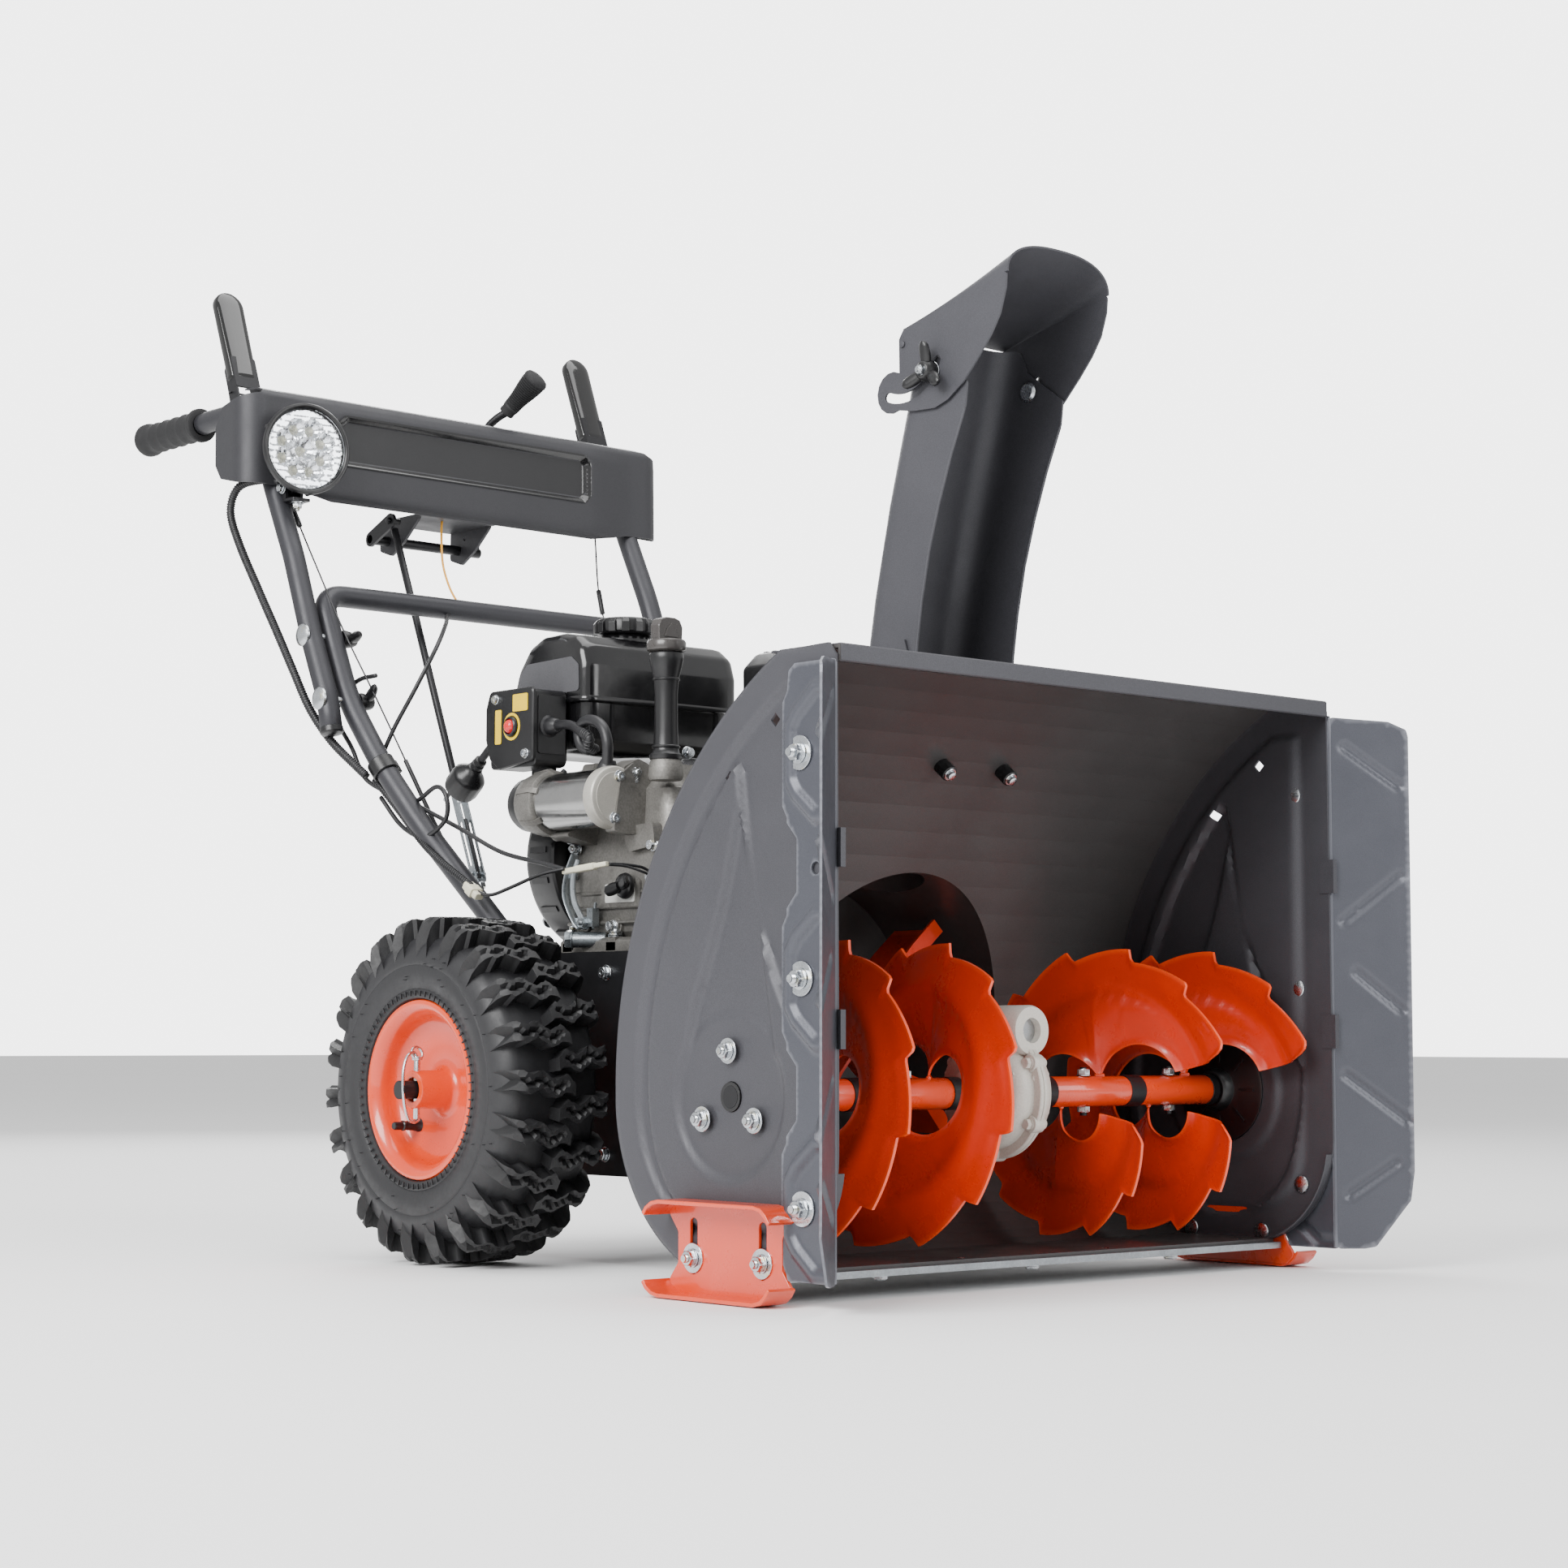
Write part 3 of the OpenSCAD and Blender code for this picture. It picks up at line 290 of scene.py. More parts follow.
def bend3(pts, d, k=5):
    p = [Vector(q) for q in pts]; out = [p[0]]
    for i in range(1, len(p) - 1):
        a = p[i] + (p[i - 1] - p[i]).normalized() * min(d, (p[i - 1] - p[i]).length * 0.49)
        b = p[i] + (p[i + 1] - p[i]).normalized() * min(d, (p[i + 1] - p[i]).length * 0.49)
        for j in range(k + 1):
            t = j / k
            out.append((1 - t) ** 2 * a + 2 * t * (1 - t) * p[i] + t * t * b)
    return out + [p[-1]]

class Build:
    """Collects closed shells, in design millimetres, into one mesh."""
    def __init__(s): s.v, s.f, s.m = [], [], Matrix.Identity(4)
    def at(s, m): s.m = m; return s
    def add(s, v, f, m=None):
        m = s.m @ m if m is not None else s.m
        k = len(s.v)
        s.v += [tuple(m @ Vector(p)) for p in v]
        flip = m.determinant() < 0
        s.f += [tuple(k + i for i in (reversed(q) if flip else q)) for q in f]
        return s
    def box(s, a, b, m=None):
        x0, y0, z0 = a; x1, y1, z1 = b
        v = [(x0, y0, z0), (x1, y0, z0), (x1, y1, z0), (x0, y1, z0), (x0, y0, z1), (x1, y0, z1), (x1, y1, z1), (x0, y1, z1)]
        return s.add(v, [(0, 3, 2, 1), (4, 5, 6, 7), (0, 1, 5, 4), (1, 2, 6, 5), (2, 3, 7, 6), (3, 0, 4, 7)], m)
    def lathe(s, prof, seg=32, m=None, mod=None):
        """Closed (r, z) outline turned about local Z. Points on the axis give caps."""
        n = len(prof); v = []; ring = []
        for r, z in prof:
            if r < 1e-6: ring.append([len(v)]); v.append((0, 0, z))
            else:
                ring.append(list(range(len(v), len(v) + seg)))
                for j in range(seg):
                    a = 2 * pi * j / seg
                    rr = r * (mod(a, r, z) if mod else 1)
                    v.append((rr * cos(a), rr * sin(a), z))
        f = []
        for i in range(n):
            A, B = ring[i], ring[(i + 1) % n]
            if len(A) == 1 and len(B) == 1: continue
            for j in range(seg):
                k = (j + 1) % seg
                if len(A) == 1: f.append((A[0], B[k], B[j]))
                elif len(B) == 1: f.append((A[j], A[k], B[0]))
                else: f.append((A[j], A[k], B[k], B[j]))
        return s.add(v, f, m)
    def cyl(s, r, z0, z1, seg=28, m=None, b=0.6):
        b = min(b, r * 0.4, abs(z1 - z0) * 0.4)
        return s.lathe([(0, z0), (r - b, z0), (r - b * 0.3, z0 + b * 0.3), (r, z0 + b), (r, z1 - b), (r - b * 0.3, z1 - b * 0.3), (r - b, z1), (0, z1)], seg, m)
    def ring(s, r0, r1, z0, z1, seg=32, m=None, b=0.4):
        return s.lathe([(r0 + b, z0), (r1 - b, z0), (r1, z0 + b), (r1, z1 - b), (r1 - b, z1), (r0 + b, z1), (r0, z1 - b), (r0, z0 + b)], seg, m)
    def tube(s, path, r, seg=16, m=None, cap=True, rad_fn=None, closed=False, flat=1.0):
        p = [Vector(q) for q in path]; n = len(p); v = []; up = None
        tans = []
        for i in range(n):
            if closed: t = p[(i + 1) % n] - p[i - 1]
            else: t = p[min(i + 1, n - 1)] - p[max(i - 1, 0)]
            tans.append(t.normalized())
        t0 = tans[0]
        u = Vector((1, 0, 0)) if abs(t0.x) < 0.8 else Vector((0, 1, 0))
        u = (u - t0 * u.dot(t0)).normalized()
        rings = []
        for i in range(n):
            t = tans[i]
            if i:
                ax = tans[i - 1].cross(t)
                if ax.length > 1e-9:
                    u = Matrix.Rotation(tans[i - 1].angle(t), 3, ax.normalized()) @ u
            u = (u - t * u.dot(t)).normalized(); w = t.cross(u)
            rr = rad_fn(i / (n - 1)) * r if rad_fn else r
            rings.append((p[i], u.copy(), w.copy(), rr))
        def ringpts(q, u, w, rr): return [tuple(q + rr * (cos(2 * pi * j / seg) * u + flat * sin(2 * pi * j / seg) * w)) for j in range(seg)]
        f = []
        if cap and not closed:
            b = min(r * 0.25, 1.5)
            q, u_, w_, rr = rings[0]; v += ringpts(q, u_, w_, rr - b); 
            v += ringpts(q + tans[0] * b, u_, w_, rr)
            for q, u_, w_, rr in rings[1:-1]: v += ringpts(q, u_, w_, rr)
            q, u_, w_, rr = rings[-1]
            v += ringpts(q - tans[-1] * b, u_, w_, rr); v += ringpts(q, u_, w_, rr - b)
            nr = n + 2
            f.append(tuple(range(seg - 1, -1, -1))); f.append(tuple(range((nr - 1) * seg, nr * seg)))
        else:
            for q, u_, w_, rr in rings: v += ringpts(q, u_, w_, rr)
            nr = n
        for i in range(nr if closed else nr - 1):
            for j in range(seg):
                a, b2 = i * seg + j, i * seg + (j + 1) % seg
                c, d = ((i + 1) % nr) * seg + (j + 1) % seg, ((i + 1) % nr) * seg + j
                f.append((a, b2, c, d))
        return s.add(v, f, m)
    def coil(s, path, r, wire, pitch, m=None, seg=8, per=10):
        """A wire wound about a path, as on a flexible conduit."""
        p = [Vector(q) for q in path]
        L = [0]
        for a, b in zip(p, p[1:]): L.append(L[-1] + (b - a).length)
        n = max(8, int(L[-1] / pitch * per)); pts = []
        for i in range(n + 1):
            d = L[-1] * i / n
            k = min(len(p) - 2, max(0, int(np.searchsorted(L, d)) - 1))
            t = (d - L[k]) / max(1e-9, L[k + 1] - L[k])
            c = p[k].lerp(p[k + 1], t); tan = (p[k + 1] - p[k]).normalized()
            u = Vector((1, 0, 0)) if abs(tan.x) < 0.8 else Vector((0, 0, 1))
            u = (u - tan * u.dot(tan)).normalized(); w = tan.cross(u)
            a = 2 * pi * d / pitch
            pts.append(c + r * (cos(a) * u + sin(a) * w))
        return s.tube(pts, wire, seg, m)
    def prism(s, outline, z0, z1, holes=(), m=None):
        return s.sheet(outline, z1 - z0, holes=holes, step=None, pos=lambda p, h: np.column_stack([p, z0 + h]), hfun=lambda p: np.full(len(p), z1 - z0), m=m)
    def sheet(s, outline, t, holes=(), step=6.0, pos=None, hfun=None, m=None, extra=(), edge=None):
        """A plate of thickness t over an outline, pressed to height hfun, with holes, put in space by pos(points, height)."""
        e = edge or (step * 0.9 if step else 1e9)
        loops = [dense(outline, e)] + [dense(h, max(0.8, min(e, 4))) for h in holes]
        pts, edges = [], []
        for lp in loops:
            k = len(pts); pts += [tuple(p[:2]) for p in lp]
            edges += [(k + i, k + (i + 1) % len(lp)) for i in range(len(lp))]
        nb = len(pts)
        if step:
            q = np.array(loops[0])[:, :2]
            lo, hi = q.min(0), q.max(0)
            gx = np.arange(lo[0] + step / 2, hi[0], step); gy = np.arange(lo[1] + step / 2, hi[1], step * 0.866)
            g = np.array([(x + (step / 2 if j % 2 else 0), y) for j, y in enumerate(gy) for x in gx])
            if len(extra): g = np.vstack([g, np.array(extra)])
            keep = inside(g, q) & (dist_poly(g, q) > step * 0.45)
            for h in loops[1:]:
                h2 = np.array(h)[:, :2]; keep &= ~inside(g, h2) & (dist_poly(g, h2) > step * 0.4)
            pts += [tuple(p) for p in g[keep]]
        vo, eo, fo, _, _, _ = delaunay_2d_cdt([Vector(p) for p in pts], edges, [], 0, 1e-5)
        P2 = np.array([tuple(p) for p in vo])
        F = np.array([tuple(f) for f in fo])
        c = P2[F].mean(1)
        ok = inside(c, np.array(loops[0])[:, :2])
        for h in loops[1:]: ok &= ~inside(c, np.array(h)[:, :2])
        F = F[ok]
        a = P2[F]; cr = (a[:, 1, 0] - a[:, 0, 0]) * (a[:, 2, 1] - a[:, 0, 1]) - (a[:, 1, 1] - a[:, 0, 1]) * (a[:, 2, 0] - a[:, 0, 0])
        F = F[np.abs(cr) > 1e-9]; cr = cr[np.abs(cr) > 1e-9]
        F[cr < 0] = F[cr < 0][:, ::-1]
        h = hfun(P2) if hfun else np.full(len(P2), float(t))
        if pos is None: pos = lambda p, h: np.column_stack([p, h])
        top = pos(P2, h); bot = pos(P2, h - t)
        k = len(P2)
        cnt = {}
        for tri in F:
            for i in range(3):
                e2 = (tri[i], tri[(i + 1) % 3]); cnt[e2] = cnt.get(e2, 0) + 1
        faces = [tuple(int(i) for i in tri) for tri in F] + [tuple(int(k + i) for i in tri[::-1]) for tri in F]
        for (i, j) in cnt:
            if (j, i) not in cnt: faces.append((int(j), int(i), int(k + i), int(k + j)))
        return s.add(list(map(tuple, top)) + list(map(tuple, bot)), faces, m)
    def loft(s, rings, m=None, cap=True):
        """Rings of equal point count, joined; ends capped."""
        n = len(rings[0]); v = [p for r in rings for p in r]
        f = [(i * n + j, i * n + (j + 1) % n, (i + 1) * n + (j + 1) % n, (i + 1) * n + j) for i in range(len(rings) - 1) for j in range(n)]
        if cap: f += [tuple(range(n - 1, -1, -1)), tuple(range((len(rings) - 1) * n, len(rings) * n))]
        return s.add(v, f, m)
    def hexhead(s, m, af=13, h=6, washer=0, wt=1.6, nut=False, tip=0, shank=None):
        """Washer, hex head with chamfer, and a threaded tip; local Z stands out of the plate."""
        z = 0
        if washer: s.ring(af * 0.28, washer, 0, wt, 32, m, 0.35); z = wt
        R2 = af / math.sqrt(3)
        if not nut: s.lathe([(0, z), (af * 0.55, z), (af * 0.66, z + 0.5), (af * 0.66, z + 1.2), (af * 0.5, z + 1.5), (0, z + 1.5)], 28, m); z += 1.0
        hexp = [(R2 * cos(pi / 3 * i), R2 * sin(pi / 3 * i)) for i in range(6)]
        prof = []
        ring = lambda k, zz: [(x * k, y * k, zz) for x, y in dense(hexp, R2 / 3)]
        chamf = lambda k, zz: [((x * k) * min(1, af * 0.5 * k / math.hypot(x * k, y * k)) if k < 1 else x, (y * k) * min(1, af * 0.5 * k / math.hypot(x * k, y * k)) if k < 1 else y, zz) for x, y in dense(hexp, R2 / 3)]
        s.loft([ring(0.96, z), ring(1, z + 0.5), ring(1, z + h - 1.0), chamf(0.97, z + h - 0.1), chamf(0.86, z + h)], m)
        if tip:
            r = (shank or af * 0.3)
            pr = [(0, z), (r, z)]
            zz = z + h * 0.8
            while zz < z + h + tip - 1: pr += [(r, zz), (r * 0.86, zz + 0.5)]; zz += 1.0
            pr += [(r * 0.8, z + h + tip), (0, z + h + tip)]
            s.lathe(pr, 20, m)
        else:  # shallow dish in the head
            s.ring(af * 0.22, af * 0.27, z + h - 0.3, z + h + 0.15, 24, m, 0.1)
        return s
    def done(s, name, mat, body, slot=None, rep=(), angle=35, bevel=0, seg=2, sub=0):
        me = bpy.data.meshes.new(name)
        V = np.array(s.v, float); V[:, 1] += DY; V /= 1000
        me.from_pydata(V.tolist(), [], s.f)
        bm = bmesh.new(); bm.from_mesh(me)
        bmesh.ops.remove_doubles(bm, verts=bm.verts, dist=2e-6)
        bmesh.ops.dissolve_degenerate(bm, dist=1e-7, edges=bm.edges)
        bmesh.ops.recalc_face_normals(bm, faces=bm.faces)
        bm.to_mesh(me); bm.free()
        me.polygons.foreach_set("use_smooth", [True] * len(me.polygons))
        me.set_sharp_from_angle(angle=rad(angle))
        me.materials.append(M[mat])
        o = bpy.data.objects.new(name, me)
        bpy.context.scene.collection.objects.link(o)
        if bevel:
            b = o.modifiers.new("edges", "BEVEL"); b.width = bevel / 1000; b.segments = seg
            b.limit_method = "ANGLE"; b.angle_limit = rad(40); b.harden_normals = True
        if sub:
            q = o.modifiers.new("smooth", "SUBSURF"); q.levels = q.render_levels = sub
        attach(o, body)
        if rep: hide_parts(*rep)
        return o

def finish_node(node, mat):
    """Gives a CAD node that stays its procedural finish."""
    o = NODES[node]
    o.data.materials.clear()
    o.data.materials.append(M[mat])

# ---------------------------------------------------------------- side plates
lip = 575
def back_arc(e=0, n=40):
    a0 = math.degrees(math.asin((lip + 2 - e - 190) / (440 - e)))
    return arcp(-784, 190, 440 - e, a0, 0, n) + arcp(-510, 180, 166 - e, 0, -70, 24)[1:]
OUT = [(-650, 566), (-641, 577)] + back_arc(0)[0:] + arcp(-545, 131, 107, -90, -180, 16) + [(-652, 200)]
def diamond(y, z, r=6.4): return [(y + r, z), (y, z + r), (y - r, z), (y, z - r)]
def circ(y, z, r, n=20): return [(y + r * cos(2 * pi * i / n), z + r * sin(2 * pi * i / n)) for i in range(n)]
def plate_h(p):
    """Height pressed outwards (mm) of the side plate."""
    o = np.array(OUT); rim = dist_poly(p, o)
    h = np.zeros(len(p))
    y, z = p[:, 0], p[:, 1]
    back = smooth(y, -640, -600) 
    # edge folded back a little, then a raised band and a groove inside it
    h -= 3.2 * (1 - smooth(rim, 0, 5)) * back
    h -= 4.8 * smooth(rim, 30, 38) * smooth(y, -622, -604)
    # large pressed field inside the groove, raised again
    field = dist_poly(p, BIG_PATH, False)
    ins = inside(p, BIG_POLY)
    h += np.where(ins, 6.6 * smooth(field, 0, 7.5), 0)
    # teardrop dish about the shaft
    d = np.hypot(y + 510, z - 180)
    td = dist_poly(p, TEAR); ti = inside(p, TEAR)
    h -= np.where(ti, 6.2 * smooth(td, 0, 9), 0)
    h += 1.6 * smooth(78 - d, 0, 8)
    return np.minimum(h, 3.2)
BIG_POLY = [(-617, 200)] + [(-613, 148), (-598, 98), (-563, 62), (-508, 49), (-450, 66), (-408, 110), (-390, 180), (-396, 262), (-420, 340), (-456, 408), (-498, 464), (-516, 482), (-524, 474), (-528, 450), (-536, 400), (-550, 340), (-572, 290), (-600, 240)]
BIG_POLY = [tuple(q) for q in catmull([Vector(q) for q in BIG_POLY + BIG_POLY[:1]], 5)][:-1]
BIG_PATH = BIG_POLY + BIG_POLY[:1]
TEAR = arcp(-510, 180, 78, 35, -215, 30) + [(-566, 262), (-556, 318), (-540, 380), (-528, 428), (-521, 448), (-515, 430), (-500, 372), (-478, 312), (-456, 262)]
TEAR = [tuple(q) for q in catmull([Vector(q) for q in TEAR + TEAR[:1]], 3)][:-1]

def side_plate(name, sgn, node):
    b = Build().at(MIRX if sgn < 0 else Matrix.Identity(4))
    holes = [diamond(-566, 515), diamond(-504, 467), circ(-510, 180, 13.9, 28)]
    pos = lambda p, h: np.column_stack([338 + 4 + h, p[:, 0], p[:, 1]])
    b.sheet(OUT, 2.6, holes, 4.0, pos, plate_h, edge=3.0)
    # rolled flange round the back edge
    arc = back_arc(0.2, 60) + arcp(-545, 131, 106.8, -90, -172, 16)
    sec = [(0, 0), (0, -11), (1.2, -12), (2.4, -11), (2.4, 0)]
    rings = []
    for i, (y, z) in enumerate(arc):
        a = Vector(arc[max(0, i - 1)]); c = Vector(arc[min(len(arc) - 1, i + 1)])
        t = (c - a).normalized(); n = Vector((t.y, -t.x))
        if n.dot(Vector((y + 520, z - 260))) < 0: n = -n
        rings.append([(339.2 + w, y - n.x * d, z - n.y * d) for d, w in ((0.1, 0.6), (0.1, -7.5), (1.0, -8.2), (2.3, -7.5), (2.3, 0.6))])
    b.loft(rings)
    # clips along the front edge
    for z in (397, 240):
        b.box((338.2, -656, z - 17), (341.6, -640, z + 17))
        b.box((337.6, -658.4, z - 17), (343.6, -655.6, z + 17))
    b.done(name, "graphite", "machine", "plate_paint", [node])
side_plate("plate_right", -1, "side_plate_right")
side_plate("plate_left", 1, "side_plate_left")

# ---------------------------------------------------------------- wings with pressed ribs
HEX = [482, 284, 85]
def flange_outline():
    """(y, z) of the wing's flange that lies on the side plate."""
    pts = [(-651.5, 22), (-592, 22), (-590, 30)]
    for c in (85, 284, 482):
        pts += [(-590, c - 56), (-584, c - 46), (-584, c + 46), (-590, c + 56)]
        if c < 400:
            lo, hi = c + 62, c + 137
            pts += [(-590, lo), (-603, lo + 14), (-603, hi - 14), (-590, hi)]
    pts += [(-592, 556), (-600, 562), (-651.5, 562)]
    return fillet(pts, 3.0, 3)
def hex_h(p, c):
    """A hexagonal ridge round a bolt, open at the front edge."""
    y, z = p[:, 0] + 611, p[:, 1] - c
    path = [(-44, 52), (-20, 52), (6, 40), (22, 22), (22, -22), (6, -40), (-20, -52), (-44, -52)]
    path = [(-40, 57), (-18, 57), (8, 36), (16, 24), (16, -24), (8, -36), (-18, -57), (-40, -57)]
    d = dist_poly(np.column_stack([y, z]), path, False)
    return 4.6 * (1 - smooth(d, 2.5, 8.5))
def wing(name, sgn, node):
    b = Build().at(MIRX if sgn < 0 else Matrix.Identity(4))
    FO = flange_outline()
    def fh(p):
        h = np.full(len(p), 3.0)
        for c in HEX: h = np.maximum(h, 3.0 + hex_h(p, c))
        return h
    bend_y = -650
    bx, by = 0.788, -0.616
    pos = lambda p, h: np.column_stack([342 + h, p[:, 0], p[:, 1]])
    b.sheet(FO, 2.4, [circ(-628, 380, 5.8, 18)], 3.2, pos, fh, edge=2.5)
    # blade: s along the blade, z up
    BO = fillet([(-1.5, 30), (-1.5, 558), (4, 560), (62, 556), (80, 548), (82, 540), (82, 100), (78, 70), (42, 24), (30, 22), (4, 22)], 5, 4)
    ribs = [((14, 522), (74, 486)), ((14, 330), (76, 372)), ((14, 300), (74, 262)), ((14, 190), (76, 236)), ((12, 160), (72, 118)), ((14, 62), (66, 98))]
    ribs = [((16, 530), (72, 490)), ((14, 352), (72, 398)), ((26, 300), (72, 262)), ((14, 196), (76, 150)), ((16, 76), (64, 108))]
    def bh(p):
        h = np.zeros(len(p))
        for a, c in ribs:
            d = dist_poly(p, [a, c], False)
            h = np.maximum(h, 4.2 * (1 - smooth(d, 1.0, 7.0)))
        # a slightly turned outer edge; the roll at the root is drawn below
        h -= 1.6 * smooth(p[:, 0], 74, 82)
        return h
    def bpos(p, h):
        s = p[:, 0]
        th = smooth(s, -2, 6)
        x = 342 + 1.2 + s * bx + 0; y = bend_y + s * by
        nx, ny = 0.616, 0.788
        return np.column_stack([x + nx * (h + 0.8), y + ny * (h + 0.8), p[:, 1]])
    b.sheet(BO, 2.2, [], 4.0, bpos, bh, edge=4)
    # tight roll where flange and blade meet
    b.tube([(343.8, -650.6, z) for z in np.linspace(23, 559, 30)], 2.3, 12)
    b.done(name, "wing", "machine", "wing_paint", [node], angle=40)
wing("wing_panel_right", -1, "wing_right")
wing("wing_panel_left", 1, "wing_left")

# ---------------------------------------------------------------- skid shoes
b = Build()
for sgn in (1, -1):
    b.at(MIRX if sgn < 0 else Matrix.Identity(4))
    outl = fillet([(-599, 13), (-588, 3), (-442, 3), (-430, 13), (-444, 30), (-444, 58), (-430, 75), (-442, 85), (-588, 85), (-599, 75), (-586, 58), (-586, 30)], 6, 4)
    slots = [[(y + 5 * cos(rad(a)), zc + 5 * sin(rad(a))) for zc, a in [(26, q) for q in range(180, 361, 30)] + [(66, q) for q in range(0, 181, 30)]] for y in (-560, -466)]
    b.sheet(outl, 3.8, slots, 6.0, lambda p, h: np.column_stack([342 + h, p[:, 0], p[:, 1]]),
            lambda p: 3.9 + 0.0 * p[:, 0], edge=3)
    for zs, k in ((4, 1), (84, -1)):   # curved runners, standing out of the plate
        prof = [(-602, 15), (-597, 8), (-590, 2.6), (-580, 0.4), (-450, 0.4), (-440, 2.2), (-432, 7), (-427, 13)]
        inn = [(-430.5, 15.5), (-434.5, 10), (-441.5, 5.8), (-450, 4.2), (-580, 4.2), (-588, 6), (-594.5, 11), (-599.5, 17)]
        pl = dense([(y, z if k > 0 else 88 - z) for y, z in prof + inn], 6)
        L = 33.6
        rings = []
        for w, ins in ((2, 0), (L - 6, 0), (L - 2, 0.2), (L, 0.9)):
            c = (-515, 10 if k > 0 else 78)
            rings.append([(342 + w, y, z) for y, z in pl])
        b.loft(rings)
b.done("skids", "orange", "machine", "orange_paint", ["skid_shoes"], bevel=0.9, seg=2, angle=40)

# ---------------------------------------------------------------- housing drum details
finish_node("auger_housing", "drum")
finish_node("scraper_bar", "galv")
finish_node("impeller_housing", "drum")
b = Build()
# hemmed front lip, with a small return
sec = [(-653.2, 574.6), (-651.8, 576.2), (-560, 576.9), (-560, 575.2), (-650, 574.4), (-650, 561.2), (-649, 560.2), (-651.4, 559.6), (-653.2, 561)]
b.loft([[(x, y, z) for y, z in sec] for x in np.linspace(-337.6, 337.6, 24)])
b.done("lip_strip", "graphite", "machine", "plate_paint", bevel=0.5)
b = Build()
for x in (-42, 43):   # spacer sleeves of the chute base bolts, seen inside the drum
    m = to((x, -476, 500), (0, -0.777, -0.629)) 
    b.cyl(8.4, -2, 17, 24, m, 0.8)
b.done("chute_base_sleeves", "black", "machine")
b = Build()
for x in (-42, 43):
    m = to((x, -476, 500), (0, -0.777, -0.629))
    b.cyl(4.6, 14, 22, 20, m, 0.8); b.ring(4.6, 6.8, 16.4, 18.4, 20, m)
for x in (-300, -100, 100, 300):   # rivets along the drum's foot
    b.lathe([(0, 0), (6, 0), (5.4, 2.0), (3.2, 3.2), (0, 3.6)], 20, to((x, -560, 26.2), (0, 0, 1)))
# hub bolts, wing bolts, shoe bolts: washer, flanged nut, thread
for sgn in (1, -1):
    mm = Matrix.Identity(4) if sgn > 0 else MIRX
    b.at(mm)
    for y, z in ((-608, 482), (-610, 284), (-612, 85)):
        b.hexhead(to((345.4, y, z), (1, 0, 0)), 14.5, 6.8, washer=15.5, wt=1.8, tip=5)
    for a in (90, 210, 330):
        b.hexhead(to((343.4, -510 + 41 * cos(rad(a)), 180 + 41 * sin(rad(a))), (1, 0, 0)), 13, 6.0, washer=11.6, wt=1.4, tip=3.4)
    for y in (-560, -466):
        b.hexhead(to((345.8, y, 35), (1, 0, 0)), 13, 6.4, washer=13.6, wt=1.6, tip=3.6)
    # round carriage heads on the inside
    for y, z in ((-608, 482), (-610, 284), (-612, 85), (-560, 35), (-466, 35)):
        b.lathe([(0, -2.6), (5, -2.2), (8.4, -0.8), (9, 0), (9, 0.9), (0, 0.9)], 24, to((337.6, y, z), (1, 0, 0)))
b.at(Matrix.Identity(4))
for x in (-200, 0, 200): b.hexhead(to((x, -556, 19.5), (0, 0, -1)), 12, 3.6, washer=9)
b.done("housing_bolts", "zinc", "machine", "zinc", ["housing_fasteners"], angle=30)

b = Build()
for sgn in (1, -1):
    b.at(Matrix.Identity(4) if sgn > 0 else MIRX)
    m = to((338, -510, 180), (-1, 0, 0))
    b.lathe([(10.05, 0.2), (55, 0.2), (55, 3.2), (52, 4.6), (30, 5.2), (22, 8), (19.5, 18), (17.5, 20), (10.05, 20)], 48, m)
    for a in range(0, 360, 45): b.box((24, -1.5, 4), (46, 1.5, 6.4), m @ R(a, "Z"))
    b.ring(10.1, 13.4, -3, 0.2, 32, m, 0.3)
b.done("bearing_flanges", "black", "machine", "black_plastic", ["auger_bearings"], bevel=0.4)

# ---------------------------------------------------------------- auger gearbox
b = Build()
mx = to((0, -510, 180), (1, 0, 0))
b.lathe([(22, -42), (20.5, -43), (10.1, -43), (10.1, 43), (20.5, 43), (22, 42), (22.5, 34), (28, 29), (47, 26), (53, 21), (55, 12), (55, 5), (63, 5), (64, 4), (64, 0.5), (62.8, 0.3), (62.8, -0.3), (64, -0.5), (64, -4), (63, -5), (55, -5), (55, -12), (53, -21), (47, -26), (28, -29), (22.5, -34)], 64, mx)
b.lathe([(12.1, -50), (23, -50), (24.5, -47), (24.5, 30), (22, 34), (20, 40), (20, 60), (19, 62), (12.1, 62)], 40, to((0, -508, 240), (0, 1, 0)))
for k in (0, 2, 3, 4, 5):
    a = rad(30 + 60 * k)
    m = to((0, -510 + 58 * cos(a), 180 + 58 * sin(a)), (1, 0, 0))
    b.cyl(8.6, -7.2, 7.2, 24, m, 1.0)
for k in range(8):  # stiffening ribs on both halves
    b.box((-25, 24, -1.5), (25, 50, 1.5), T(0, -510, 180) @ R(22.5 + 45 * k, "X") @ T(0, 0, 0))
b.done("gearcase", "ivory", "machine", "gearbox_paint", ["auger_gearbox"], bevel=0.7, angle=40)
b = Build()
for k in (0, 2, 3, 4, 5):
    a = rad(30 + 60 * k)
    for s in (1, -1):
        b.hexhead(to((7.2 * s, -510 + 58 * cos(a), 180 + 58 * sin(a)), (s, 0, 0)), 9.5, 5)
b.lathe([(0, 0), (7, 0), (7, 3), (5, 4), (0, 4)], 6, to((0, -510 - 52, 180 + 14), (0, -1, 0.3)))
b.done("gearcase_bolts", "ivory", "machine", bevel=0.3)

